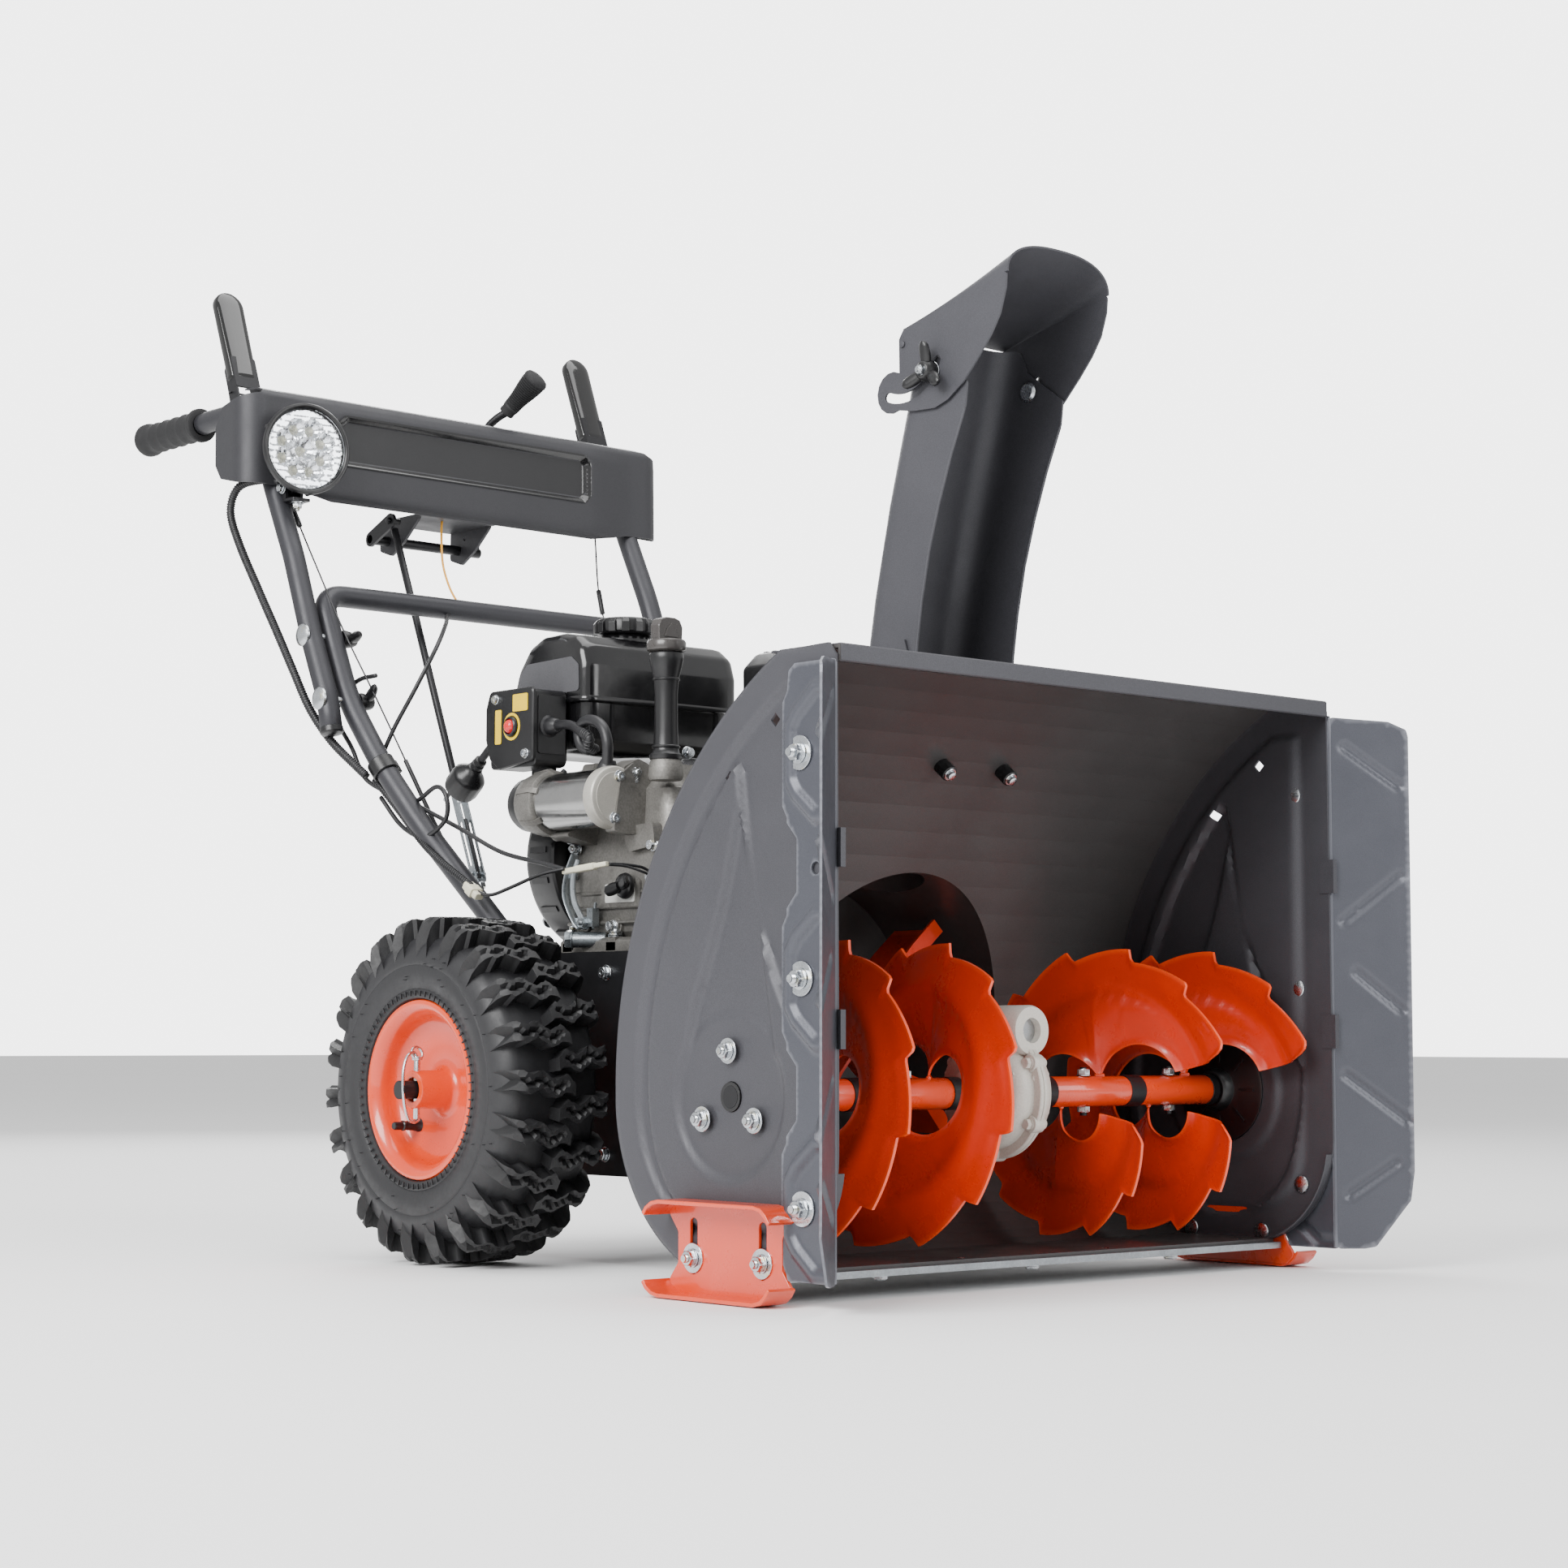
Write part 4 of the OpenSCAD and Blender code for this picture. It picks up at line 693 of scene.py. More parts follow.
# ---------------------------------------------------------------- augers
finish_node("auger_shaft", "blackmetal")
finish_node("worm_wheel", "brass")
def auger_side(name, a0, sgn, node):
    b = Build().at(T(0, -510, 180) if sgn > 0 else T(0, -510, 180) @ MIRX)
    mx = to((0, 0, 0), (1, 0, 0))
    b.lathe([(10.02, 60), (14.4, 60), (15, 60.8), (15, 313.2), (14.4, 314), (10.02, 314)], 40, mx)
    for k in (0, 1):
        x0, A0, turn, RO = 66 + 130 * k, rad(a0), rad(330), 146.5
        LEN = 112.0
        na, nr = 240, 20
        def outer(u):
            # saw teeth: each rises slowly and drops sharply
            n = 11.0; t = (u * n) % 1.0
            tooth = RO - 13 + 13 * (t ** 1.1) if t < 0.93 else RO - 13 * (t - 0.93) / 0.07
            endr = min(1, min(u, 1 - u) / 0.015)
            return tooth - 12 * (1 - endr)
        def inner(u):
            # two webs reach down to the sleeve
            w = abs(cos(2 * pi * u)) ** 1.15
            return 14.0 + 62 * w
        rows_f, rows_b = [], []
        for i in range(na + 1):
            u = i / na; a = A0 + turn * u; x = x0 + LEN * u
            ri, ro = inner(u), outer(u)
            fr, bk = [], []
            for j in range(nr + 1):
                v = j / nr; r = ri + (ro - ri) * v
                # pressed swelling: cupped blade with a raised band near mid radius and rolled inner edge
                cup = 6.5 * sin(pi * min(1, max(0, (r - 40) / 105))) 
                web = 1 - abs(cos(2 * pi * u)) ** 0.8
                ridge = 5.5 * math.exp(-((r - 104) / 13.0) ** 2) * (1 - 0.5 * web)
                roll = 4.0 * math.exp(-((r - ri) / 5.0) ** 2) * (1 - web)
                gut = -5.0 * math.exp(-((v - 0.5) / 0.25) ** 2) * web * (1 if r < 95 else 0.3)
                h = (cup + ridge * 0.9 - roll + gut) * min(1, (r - 14) / 20)
                edgefade = min(1, (ro - r) / 10 + 0.15)
                h *= min(1, edgefade)
                t = 1.6
                fr.append((x + h - t, r * cos(a), r * sin(a)))
                bk.append((x + h + t, r * cos(a), r * sin(a)))
            rows_f.append(fr); rows_b.append(bk)
        w = nr + 1; v = [p for r in rows_f for p in r] + [p for r in rows_b for p in r]
        o = (na + 1) * w; f = []
        for i in range(na):
            for j in range(nr):
                p0, p1, p2, p3 = i * w + j, i * w + j + 1, (i + 1) * w + j + 1, (i + 1) * w + j
                f.append((p0, p3, p2, p1)); f.append((o + p0, o + p1, o + p2, o + p3))
            for j in (0, nr):
                p0, p3 = i * w + j, (i + 1) * w + j
                f.append((p0, o + p0, o + p3, p3) if j == 0 else (p0, p3, o + p3, o + p0))
        for i in (0, na):
            for j in range(nr):
                p0, p1 = i * w + j, i * w + j + 1
                f.append((p0, p1, o + p1, o + p0) if i == 0 else (p0, o + p0, o + p1, p1))
        b.add(v, f)
        # weld beads where the webs meet the sleeve
        for u in (0.25, 0.75):
            pts = []
            for q in range(13):
                du = (q - 6) / 6 * 0.035
                a = A0 + turn * (u + du); x = x0 + LEN * (u + du)
                pts.append((x, 15.2 * cos(a), 15.2 * sin(a)))
            b.tube(pts, 2.6, 8)
    b.done(name, "auger", "auger", "auger_paint", [node], angle=50)
auger_side("flights_left", 195, 1, "auger_left")
auger_side("flights_right", 15, -1, "auger_right")
b = Build()
for sgn in (1, -1):
    for x in (124, 252):
        m = T(x * sgn, -510, 180)
        b.hexhead(m @ T(0, 0, 15), 11, 6.5, washer=0); b.hexhead(m @ R(180, "X") @ T(0, 0, 15), 11, 6, tip=3, nut=True)
b.done("shear_bolts", "zinc", "auger")
b = Build()
for sgn in (1, -1):
    b.at(T(0, -510, 180) if sgn > 0 else T(0, -510, 180) @ MIRX)
    mx = to((0, 0, 0), (1, 0, 0))
    for x0, x1 in ((56, 72), (180, 202), (306, 316)): b.ring(14.6, 15.9, x0, x1, 40, mx, 0.4)
b.done("shaft_spacers", "blackmetal", "auger")

# ---------------------------------------------------------------- impeller
b = Build().at(T(0, 0, 240))
m = to((0, -332, 0), (0, 1, 0))
b.lathe([(12, 0), (22, 0), (24, 2), (24, 86), (22, 88), (12, 88)], 40, m)
for k in range(4):
    q = R(45 + 90 * k, "Y")
    prof = []
    for i in range(15):
        t = i / 14; x = 20 + 128 * t
        prof.append((x, 3.5 * sin(pi * t)))
    top = [(x, -256 - 6 * t0, h) for (x, h), t0 in zip(prof, np.linspace(0, 1, 15))]
    rings = []
    for i, (x, h) in enumerate(prof):
        y0 = -330; y1 = -256 - 4 * (i / 14)
        fold = 14 * smooth(i / 14, 0.3, 0.6)
        rings.append([(x, y0, h - 1.6), (x, y1, h - 1.6), (x, y1, h + 1.6), (x, y0 + 3.6, h + 1.6), (x, y0 + 3.6, h + 1.8 + float(fold)), (x, y0, h + 1.8 + float(fold))])
    b.loft(rings, q)
b.done("impeller_blades", "auger", "impeller", "auger_paint", ["impeller"], bevel=0.5)
finish_node("impeller_shaft", "steel")
finish_node("impeller_pulley", "castdark")
finish_node("crank_pulley", "castdark")
finish_node("drive_belt", "belt")

# ---------------------------------------------------------------- the short plug lead: a free cord, seen end to end
LEAD = [(-122, 128, 566), (-122, 136, 566), (-122, 144, 564), (-122, 152, 560), (-122, 160, 555), (-122, 168, 549), (-122, 176, 543)]
LEADP = catmull(LEAD, 4)
b = Build(); b.tube(LEADP, 4.5, 20)
lead = b.done("lead_to_plug", "cable", "machine", "cable_rubber", ["plug_lead"])
b = Build()
mp = to((-122, 176, 543), (0, 0.7986, -0.6018))
b.lathe([(4.6, -1), (7, 0), (7.2, 3), (6.2, 4), (6.2, 5.5), (7.6, 6.5), (7.8, 9.5), (6.8, 10.5), (6.8, 12), (8.6, 13), (9.4, 16), (12, 19), (17, 24), (19.4, 27.5), (20, 31), (20, 48), (18.4, 52), (17.6, 52), (17.6, 44), (0, 44), (0, -1)], 40, mp,
        mod=lambda a, r, z: 1 - (0.045 * (0.5 + 0.5 * cos(12 * a)) if z > 28 and r > 18.5 else 0))
b.cyl(14.6, 40, 51.4, 32, mp, 0.8)
for x in (-9.5, 9.5):
    b.cyl(2.4, 44, 62, 16, mp @ T(x, 0, 0), 0.6)
b.done("mains_plug", "black", "machine", "cable_rubber", ["plug"])
b = Build()
for x in (-9.5, 9.5): b.lathe([(0, 61), (2.35, 61), (2.4, 69), (1.9, 70.8), (0.8, 71.4), (0, 71.5)], 16, mp @ T(x, 0, 0))
pins = b.done("plug_pins", "zinc", "machine", "zinc")

# ---------------------------------------------------------------- wheels
def wheel(name, sgn, rim_node, tyre_node, a_off=0.0):
    mm = T(0, 0, 179) @ (Matrix.Identity(4) if sgn > 0 else MIRX)
    mx = to((0, 0, 0), (1, 0, 0))
    # carcass
    prof = [(82, 219), (84, 213), (90, 208.5), (97, 207), (104, 205.6), (118, 204.6), (134, 206), (146, 209), (154, 214), (158.5, 222), (160.5, 240), (161, 267),
            (160.5, 294), (158.5, 312), (154, 320), (146, 326), (137, 329), (130, 330.2), (128, 329.2), (126, 330.3), (116, 329.6), (104, 328.0), (103, 327.0), (101, 327.9), (97, 326.6), (94, 325.6), (92.6, 322), (90, 317), (84, 311), (82, 304)]
    b = Build().at(mm)
    b.lathe(prof, 144, mx)
    # fine radial ribs and small vent spews on the sidewall
    rnd = random.Random(7)
    for i in range(72):
        a = 2 * pi * i / 72
        m = R(math.degrees(a), "X")
        b.box((328.4, -0.7, 96), (330.0, 0.7, 101.5), m)
    for i in range(40):
        a = rnd.uniform(0, 360); r = rnd.uniform(112, 150)
        b.cyl(0.45, 0, 4.5, 6, R(a, "X") @ T(0, 0, r) @ to((328.6 - max(0, r - 140) * 0.28, 0, 0), (1, 0, 0)), 0.1)
    b.done(name + "_tyre", "rubber", "wheels", "tyre", [tyre_node], angle=50)
    # lugs: wavy double bars reaching in from both shoulders, set half a pitch apart
    b = Build().at(mm)
    n = 22
    def tri(t): t = t % 1.0; return 4 * abs(t - 0.5) - 1
    for side in (1, -1):
        x_sh, x_in = (330, 258) if side > 0 else (205, 277)
        def zig(x): 
            u = abs(x - x_in) / 72
            return 4.6 * tri(u * 2.3 + 0.2) * float(smooth(1 - u, 0.12, 0.3)) + 10 * (1 - u)
        xs = list(np.linspace(x_in, x_sh, 22))
        def hw(x):
            u = abs(x - x_in) / 72
            return 9.0 + 1.8 * float(smooth(u, 0.6, 1.0)) - 3.2 * float(1 - smooth(u, 0.0, 0.14))
        up = [(x, zig(x) + hw(x) + 0.8 * tri(abs(x - x_in) / 9)) for x in xs]
        dn = [(x, zig(x) - hw(x) + 0.8 * tri(abs(x - x_in) / 9 + 0.5)) for x in xs]
        notch = [(x_sh - side * 9, zig(x_sh))]
        outl = up + notch + rev_list(dn) if False else up + notch + dn[::-1]
        def top(p):
            x, s = p[:, 0], p[:, 1]
            q = np.abs(x - x_sh)
            r = 178.6 - 2.6 * ((x - 267.5) / 62.5) ** 2 * 0.6
            r = r - 6.0 * (1 - smooth(q, 4, 14)) - 18.0 * (1 - smooth(q, -1, 6))
            z = np.array([zig(v) for v in x])
            u = np.abs(x - x_in) / 72
            g = (1 - smooth(np.abs(s - z), 1.6, 3.0)) * smooth(u, 0.10, 0.2) * (1 - smooth(u, 0.84, 0.93))
            sip = 0.7 * (np.sin(x * 2.1) > 0.4)
            return r - 6.5 * g - sip * (1 - g) * 0.5
        def pos(p, h):
            base = h < 170
            a = p[:, 1] / 179.0
            return np.column_stack([p[:, 0], -h * np.sin(a), h * np.cos(a)])
        tmp = Build(); tmp.sheet(outl, 23.0, [], 4.2, pos, top, edge=3.6)
        # bottoms tuck into the carcass, with a little draft
        V = np.array(tmp.v); rr = np.hypot(V[:, 1], V[:, 2]); half = len(V) // 2
        low = np.arange(len(V)) >= half
        X = V[:, 0]
        rb = np.where(np.abs(X - 267.5) > 50, 150 - (np.abs(X - 267.5) - 50) * 1.1, 157)
        rb = np.minimum(rb, np.hypot(V[:, 1], V[:, 2]) - 0.5)
        k = np.where(low, rb / rr, 1.0)
        V[:, 1] *= k; V[:, 2] *= k
        V[low, 0] = 267.5 + (V[low, 0] - 267.5) * 0.985
        tv, tf = V.tolist(), tmp.f
        for i in range(n):
            b.add(tv, tf, R(360.0 * (i + (0.5 if side < 0 else 0)) / n + a_off, "X"))
    b.done(name + "_lugs", "lug", "wheels", "tyre", angle=28)
    # rim: rolled lip, barrel with a bead seat, dished disc
    b = Build().at(mm)
    pr = [(79, 209), (84, 207.6), (88.5, 208.4), (90, 211), (89, 213.6), (86, 214.6), (83, 217), (81.5, 221), (81.5, 240), (78, 246), (76, 256), (76, 282), (78, 290), (81, 296), (81, 310),
          (83, 315), (87, 317.6), (91, 319.6), (92.6, 322), (91.5, 324.6), (88.5, 325.6), (85, 324.4), (80.5, 320), (77.5, 315), (76.6, 309), (75.6, 303), (72, 297.5), (66, 294.4), (58, 292.6), (44, 291.8), (32, 291.4), (26, 290.6), (23, 292.4), (19.6, 297),
          (19.4, 331), (18.6, 332.4), (13.4, 332.4), (12.4, 331.4), (12.4, 290), (12.4, 216), (18.4, 216), (18.8, 284), (24, 287.2), (50, 288.6), (64, 290.0), (70, 292.0), (73, 290), (73, 256), (75, 244), (78.4, 238), (78.4, 220), (80, 215), (82, 212.4)]
    b.lathe(pr, 96, mx)
    b.done(name + "_rim", "orange", "wheels", "orange_paint", [rim_node], angle=40)
    b = Build().at(mm)
    # valve stem and axle end
    mv = to((290.5, 44 if sgn < 0 else 44, -38), (1, 0, 0))
    b.lathe([(0, -2), (8.4, -2), (8.4, 1.2), (6.6, 3.2), (5.2, 9), (4.7, 20), (5.4, 21), (5.4, 22.4), (4.3, 23.4), (4.3, 32), (3.6, 33.4), (0, 33.4)], 28, mv)
    b.lathe([(0, 330), (9.5, 330), (9.5, 347), (8.6, 348.4), (0, 348.4)], 32, mx)
    b.done(name + "_valve", "black", "wheels", angle=35)
    b = Build().at(mm)
    # hub pin with its wire clip
    b.cyl(3.3, -30, 31, 20, T(326, 0, 0), 0.8)
    b.cyl(5.4, 30, 34, 20, T(326, 0, 0), 0.8)
    clip = catmull([(326, 0, 33), (331, -1, 38), (340, -3, 34), (346, -5, 20), (347.5, -7, 0), (345, -7, -18), (338, -4, -30), (329, -1, -33), (322, 1, -30)], 6)
    b.tube(clip, 1.7, 12)
    b.tube([(326 + 6.5 * cos(rad(a)), 6.5 * sin(rad(a)) * 0.35, 37 + 6.5 * sin(rad(a))) for a in range(-60, 241, 20)], 1.5, 10)
    b.done(name + "_pin", "zinc", "wheels", "zinc", ["hub_pins"] if sgn > 0 else (), angle=40)
wheel("wheel_right", -1, "rim_right", "tyre_right", 4.0)
wheel("wheel_left", 1, "rim_left", "tyre_left", 0.0)
finish_node("axle", "blackmetal")

# ---------------------------------------------------------------- handles
UP = [(268, 574), (277, 610), (313, 685), (352, 781), (396, 867), (430, 940), (468, 966), (540, 967), (560, 965)]
b = Build()
for x in (-261, 261):
    b.tube(bend3([(x, y, z) for y, z in UP], 15, 6), 12.5, 32)
b.done("upper_tubes", "tube", "machine", "tube_paint", ["handle_upper"], angle=50)
b = Build()
for x in (-261, 261):   # end plugs at the foot
    d = Vector((0, 268 - 277, 574 - 610)).normalized()
    b.lathe([(0, -4), (12.2, -4), (13.2, -3), (13.2, 2.5), (12, 4), (6, 5.4), (0, 5.6)], 28, to((x, 268, 574), d))
b.done("tube_end_plugs", "black", "machine")
LEG = [(172, 10, 300), (180, 75, 362), (205, 170, 463), (222, 226, 535), (233, 277, 610), (233, 313, 685), (233, 336, 738)]
path = LEG + [(-x, y, z) for x, y, z in LEG[::-1]]
b = Build()
b.tube(bend3(path, 30, 8), 12.5, 32)
b.done("lower_loop", "tube", "machine", "tube_paint", ["handle_lower"], angle=50)

# grips with finger waves and end flange
b = Build()
for x in (-261, 261):
    prof = [(12.6, 0), (19, 0), (20.4, 1.5), (20.4, 5), (18.6, 7.5), (17.2, 10)]
    for i in range(4):
        z0 = 16 + i * 22
        prof += [(17.0, z0 - 4), (16.2, z0 + 2), (16.6, z0 + 8), (18.4, z0 + 15), (17.8, z0 + 18)]
    prof += [(17.0, 106), (17.2, 112), (19.2, 116), (20.2, 120), (20.2, 126), (18.8, 129), (14, 130), (0, 130), (0, 127), (12.6, 127)]
    m = to((x, 560, 965), (0, 1, 0), up=(0, 0, 1))
    # wave modifier, not used: the finger waves run all round
    def wave(a, r, z): 
        return 1.0
    b.lathe(prof, 48, m)
b.done("grips", "foam", "machine", "grip_rubber", ["grip_right", "grip_left"], angle=60)

# folding joint hardware: saddle-headed bolts outside, wing knobs inside
b = Build()
for sgn in (1, -1):
    b.at(Matrix.Identity(4) if sgn > 0 else MIRX)
    for y, z in ((313, 685), (277, 610)):
        d = (0, 0.42, 0.907)
        m = to((261 + 9.5, y, z), (1, 0, 0), up=(0, -d[2], d[1]))
        b.lathe([(0, 0), (9.5, 0), (13, 0.8), (12.6, 3), (9, 5.2), (4, 6.2), (0, 6.4)], 28, m)
        b.cyl(4, -54, 0.5, 20, m, 0.4)
    b.cyl(4, 0, 40, 20, to((241, 450, 950), (1, 0, 0)), 0.8)
b.done("saddle_bolts", "zinc", "machine", "zinc", ["handle_fasteners"])
b = Build()
for sgn in (1, -1):
    b.at(Matrix.Identity(4) if sgn > 0 else MIRX)
    for k, (y, z) in enumerate(((313, 685), (277, 610))):
        m = to((221, y, z), (-1, 0, 0), up=(0, -0.4, 0.9)) @ R(30 + 25 * k, "Z")
        b.lathe([(4, 0), (9.5, 0), (10.6, 3), (9.6, 10), (8.2, 16), (6.6, 19), (5.2, 19.6), (5.2, 17), (4, 17)], 28, m)
        for s in (1, -1):
            rings = []
            for t in np.linspace(0, 1, 9):
                c = 5 + 27 * t; w = 4.2 + 2.6 * sin(pi * min(1, t * 1.15)); th = 5.6 - 1.8 * t; zc = 9.5 - 4.5 * t + 1.5 * sin(pi * t)
                if t > 0.98: w *= 0.6; th *= 0.5
                rings.append([(s * c, w * cos(rad(q)), zc + th * sin(rad(q))) for q in range(0, 360, 30)])
            b.loft(rings if s > 0 else [r[::-1] for r in rings], m)
b.done("wing_knobs", "black", "machine", "black_plastic", angle=50)

# ---------------------------------------------------------------- clutch levers
def lever(name, sgn, node, body):
    base = T(261 * sgn, 450, 950) @ R(-21, "X")
    if sgn < 0: base = base @ MIRX
    b = Build().at(base)
    # pressed channel: web in front, two ears round the tube, tail with the cable eye
    def ear(x0):
        o = fillet([(-10, -13), (8, -13), (10.5, 10), (8.5, 46), (8, 76), (-10, 76)], 5, 4)
        b.sheet(o, 2.6, [circ(0, 0, 4.2, 16)], 9, lambda p, h: np.column_stack([x0 + h, p[:, 0], p[:, 1]]), lambda p: np.full(len(p), 2.6), edge=4)
    ear(13.9); ear(-16.5)
    o = fillet([(-16.4, 43), (16.4, 43), (16.4, 84), (-16.4, 84)], 2, 2)
    b.sheet(o, 2.6, [], 9, lambda p, h: np.column_stack([p[:, 0], -10.4 + h, p[:, 1]]), lambda p: np.full(len(p), 2.6), edge=5)
    o = fillet([(-12, -60), (-2, -60), (2, -50), (1, 0), (-10, 0), (-14, -40)], 3, 3)
    b.sheet(o, 2.6, [circ(-7, -53, 2.2, 12)], 9, lambda p, h: np.column_stack([-16.8 + h, p[:, 0], p[:, 1]]), lambda p: np.full(len(p), 2.6), edge=4)
    b.done(name + "_channel", "blackmetal", body, "black_paint", [node], bevel=0.5)
    b = Build().at(base)
    rings = []
    N_ = 40
    zs = [56, 56.6, 58] + list(np.linspace(62, 152, 13)) + [153.5, 158] + [158 + 19 * sin(rad(a)) for a in (15, 30, 45, 58, 70, 79, 85, 88.5)]
    for z in zs:
        if z <= 158:
            t = (z - 56) / 102; w = 18.0 + 1.2 * t - (1.2 if z < 57 else 0.4 if z < 58 else 0); th = 9.6 - 1.0 * t - (1.0 if z < 57 else 0.3 if z < 58 else 0)
        else:
            q = (z - 158) / 19; k = math.sqrt(max(0, 1 - q * q)); w = 19.2 * k; th = 8.6 * (0.35 + 0.65 * k) if k > 0.05 else 2.2
        ring = []
        for j in range(N_):
            a = 2 * pi * j / N_; c, s_ = cos(a), sin(a); e = 0.62
            x_ = w * math.copysign(abs(c) ** e, c); y_ = -1.4 + th * math.copysign(abs(s_) ** e, s_)
            if s_ > 0 and z <= 152: y_ -= (y_ + 4.2) * float(smooth(14.6 - abs(x_), 0, 1.2))   # groove that closes over the tube
            ring.append((x_, y_, z))
        rings.append(ring)
    b.loft(rings)
    b.done(name + "_sleeve", "gloss", body, "black_plastic", angle=60)
    b = Build().at(base)
    b.ring(4.1, 7.5, 0, 1.2, 24, to((17, 0, 0), (1, 0, 0)), 0.3); b.hexhead(to((18, 0, 0), (1, 0, 0)), 8.5, 3.2)
    b.done(name + "_pivot", "zinc", body)
lever("clutch_right", -1, "clutch_lever_right", "clutch_right")
lever("clutch_left", 1, "clutch_lever_left", "clutch_left")

# ---------------------------------------------------------------- shift lever, knob and rod
SL = [(66, 453.5, 832), (66, 448, 880), (66, 440, 950), (67, 433, 984), (72, 422, 997), (80, 408, 1006)]
b = Build()
b.tube(catmull(SL, 6), 5, 20)
b.cyl(6, -90, 72, 28, to((0, 453.5, 832.6), (1, 0, 0)), 0.8)
o = [(y, z) for y, z in arcp(453.5, 832.6, 9, -150, 50, 12)] + [(y, z) for y, z in arcp(412, 850, 9, 50, 210, 12)]
o = arcp(453.5, 832.6, 9, -113, 67, 12) + arcp(412, 850, 9, 67, 247, 12)
b.sheet(o, 4, [circ(412, 850, 4.5, 20)], 8, lambda p, h: np.column_stack([-90 + h, p[:, 0], p[:, 1]]), lambda p: np.full(len(p), 4.0), edge=3)
b.done("shift_arm", "blackmetal", "shift", "black_paint", ["shift_lever"], bevel=0.3)
mk = T(80, 408, 1006) @ R(22, "Y") @ R(45, "X")
prof = [(5.1, -3), (9.4, -2.4), (9.8, 0), (9.4, 3), (10.2, 6), (10.6, 9)]
z = 10
while z < 50:
    t = (z - 10) / 42; r = 10.6 + 5.0 * smooth(t, 0, 1)
    prof += [(float(r) - 0.9, z), (float(r) + 0.15, z + 0.5), (float(r) + 0.25, z + 1.6), (float(r) - 0.8, z + 2.1)]
    z += 2.7
prof += [(15.6, 51.5), (16, 53), (15.7, 56), (14, 58.6), (10, 60.2), (5, 60.8), (0, 61)]
b = Build(); b.lathe(prof + [(0, -3)], 44, mk)
b.done("ribbed_knob", "foam", "shift", "black_plastic", ["shift_knob"], angle=60)
ROD = to((-80, 188, 299), (0, sin(rad(22.8)), cos(rad(22.8))))
b = Build().at(ROD)
b.cyl(4.4, 240, 588, 24, None, 1.0)
b.cyl(3.2, -30, 200, 20, None, 0.8)
b.at(Matrix.Identity(4)); b.cyl(3.4, -94, -75.5, 18, to((0, 412, 850), (1, 0, 0)), 0.6)
b.done("shift_linkage", "blackmetal", "shift_rod", "black_paint", ["shift_rod"], angle=40)
b = Build().at(ROD)
# adjuster: slotted zinc strap with its clevis and lock nut
for s in (-1, 1):
    b.sheet(fillet([(-5.6, 120), (5.6, 120), (5.6, 246), (-5.6, 246)], 4, 3), 1.8, [fillet([(-2.2, 140), (2.2, 140), (2.2, 196), (-2.2, 196)], 2.1, 4)], 9,
            lambda p, h, s=s: np.column_stack([s * 6.0 - 0.9 + h, p[:, 0], p[:, 1]]), lambda p: np.full(len(p), 1.8), edge=6)
b.box((-6, -5.4, 243), (6, 5.4, 247)); b.box((-6, -5.4, 119), (6, 5.4, 122))
b.cyl(3, -10, 10, 18, T(0, 0, 130) @ R(90, "Y"), 0.5)
b.done("linkage_adjuster", "galv", "shift_rod", "zinc", bevel=0.4)
b = Build().at(ROD)
b.hexhead(T(0, 0, 222), 11, 7, nut=True, tip=3); b.hexhead(T(0, 0, 112) @ R(0, "X"), 11, 7, nut=True, tip=0.6)
b.done("linkage_nuts", "zinc", "shift_rod")

# ---------------------------------------------------------------- console
PROF = fillet([(384, 855), (376, 862), (375.4, 872), (377, 958), (384, 976), (404, 982.4), (470, 988)], [0, 6, 3, 3, 12, 10, 0], 6, closed=False)
PL = [0.0]
for a_, c_ in zip(PROF, PROF[1:]): PL.append(PL[-1] + math.hypot(c_[0] - a_[0], c_[1] - a_[1]))
PY = np.array([q[0] for q in PROF]); PZ = np.array([q[1] for q in PROF]); PLn = np.array(PL)
def z_to_s(z): return float(np.interp(z, PZ, PLn))
NYv = np.gradient(PY, PLn); NZv = np.gradient(PZ, PLn)
S0, S965, SEND = z_to_s(857), z_to_s(966), PL[-1]
RC, XB = 26.0, 281.0
def con_pos(p, h):
    u, s = p[:, 0], p[:, 1]
    y = np.interp(s, PLn, PY); z = np.interp(s, PLn, PZ)
    ty = np.interp(s, PLn, NYv); tz = np.interp(s, PLn, NZv)
    L = np.hypot(ty, tz); ny, nz = -tz / L, ty / L            # outwards: forwards and up
    y = y + ny * h; z = z + nz * h
    au, sg = np.abs(u), np.sign(u)
    y = y + 7 * smooth(au, 185, 262) * (1 - smooth(z, 955, 976) * 0.6)   # ends drawn back in plan
    th = np.clip((au - XB) / RC, 0, pi / 2)
    extra = np.clip(au - XB - RC * pi / 2, 0, None)
    x = np.where(au < XB, au, XB + (RC + (378 - y) * 0 ) * np.sin(th))
    y2 = np.where(au < XB, y, y + RC * (1 - np.cos(th)) + extra)
    x = x + h * 0 + np.where(au > XB, (h) * np.sin(th), 0); y2 = y2 + np.where(au > XB, h * (1 - np.cos(th)), 0)
    return np.column_stack([sg * x, y2, z])
UE = XB + RC * pi / 2 + 40
def s(z): return z_to_s(z)
oc = [(-UE, s(893)), (-UE + 12, s(876)), (-XB - 34, s(868)), (-250, s(866)), (-214, s(860)), (-196, S0), (196, S0), (214, s(860)), (250, s(866)), (XB + 34, s(868)), (UE - 12, s(876)), (UE, s(893)),
      (UE, s(938)), (UE - 14, s(960)), (XB + 22, s(970)), (XB + 6, s(973)), (XB - 1, s(976) + 6), (XB - 1, SEND), (-XB + 1, SEND), (-XB + 1, s(976) + 6), (-XB - 6, s(973)), (-XB - 22, s(970)), (-UE + 14, s(960)), (-UE, s(938))]
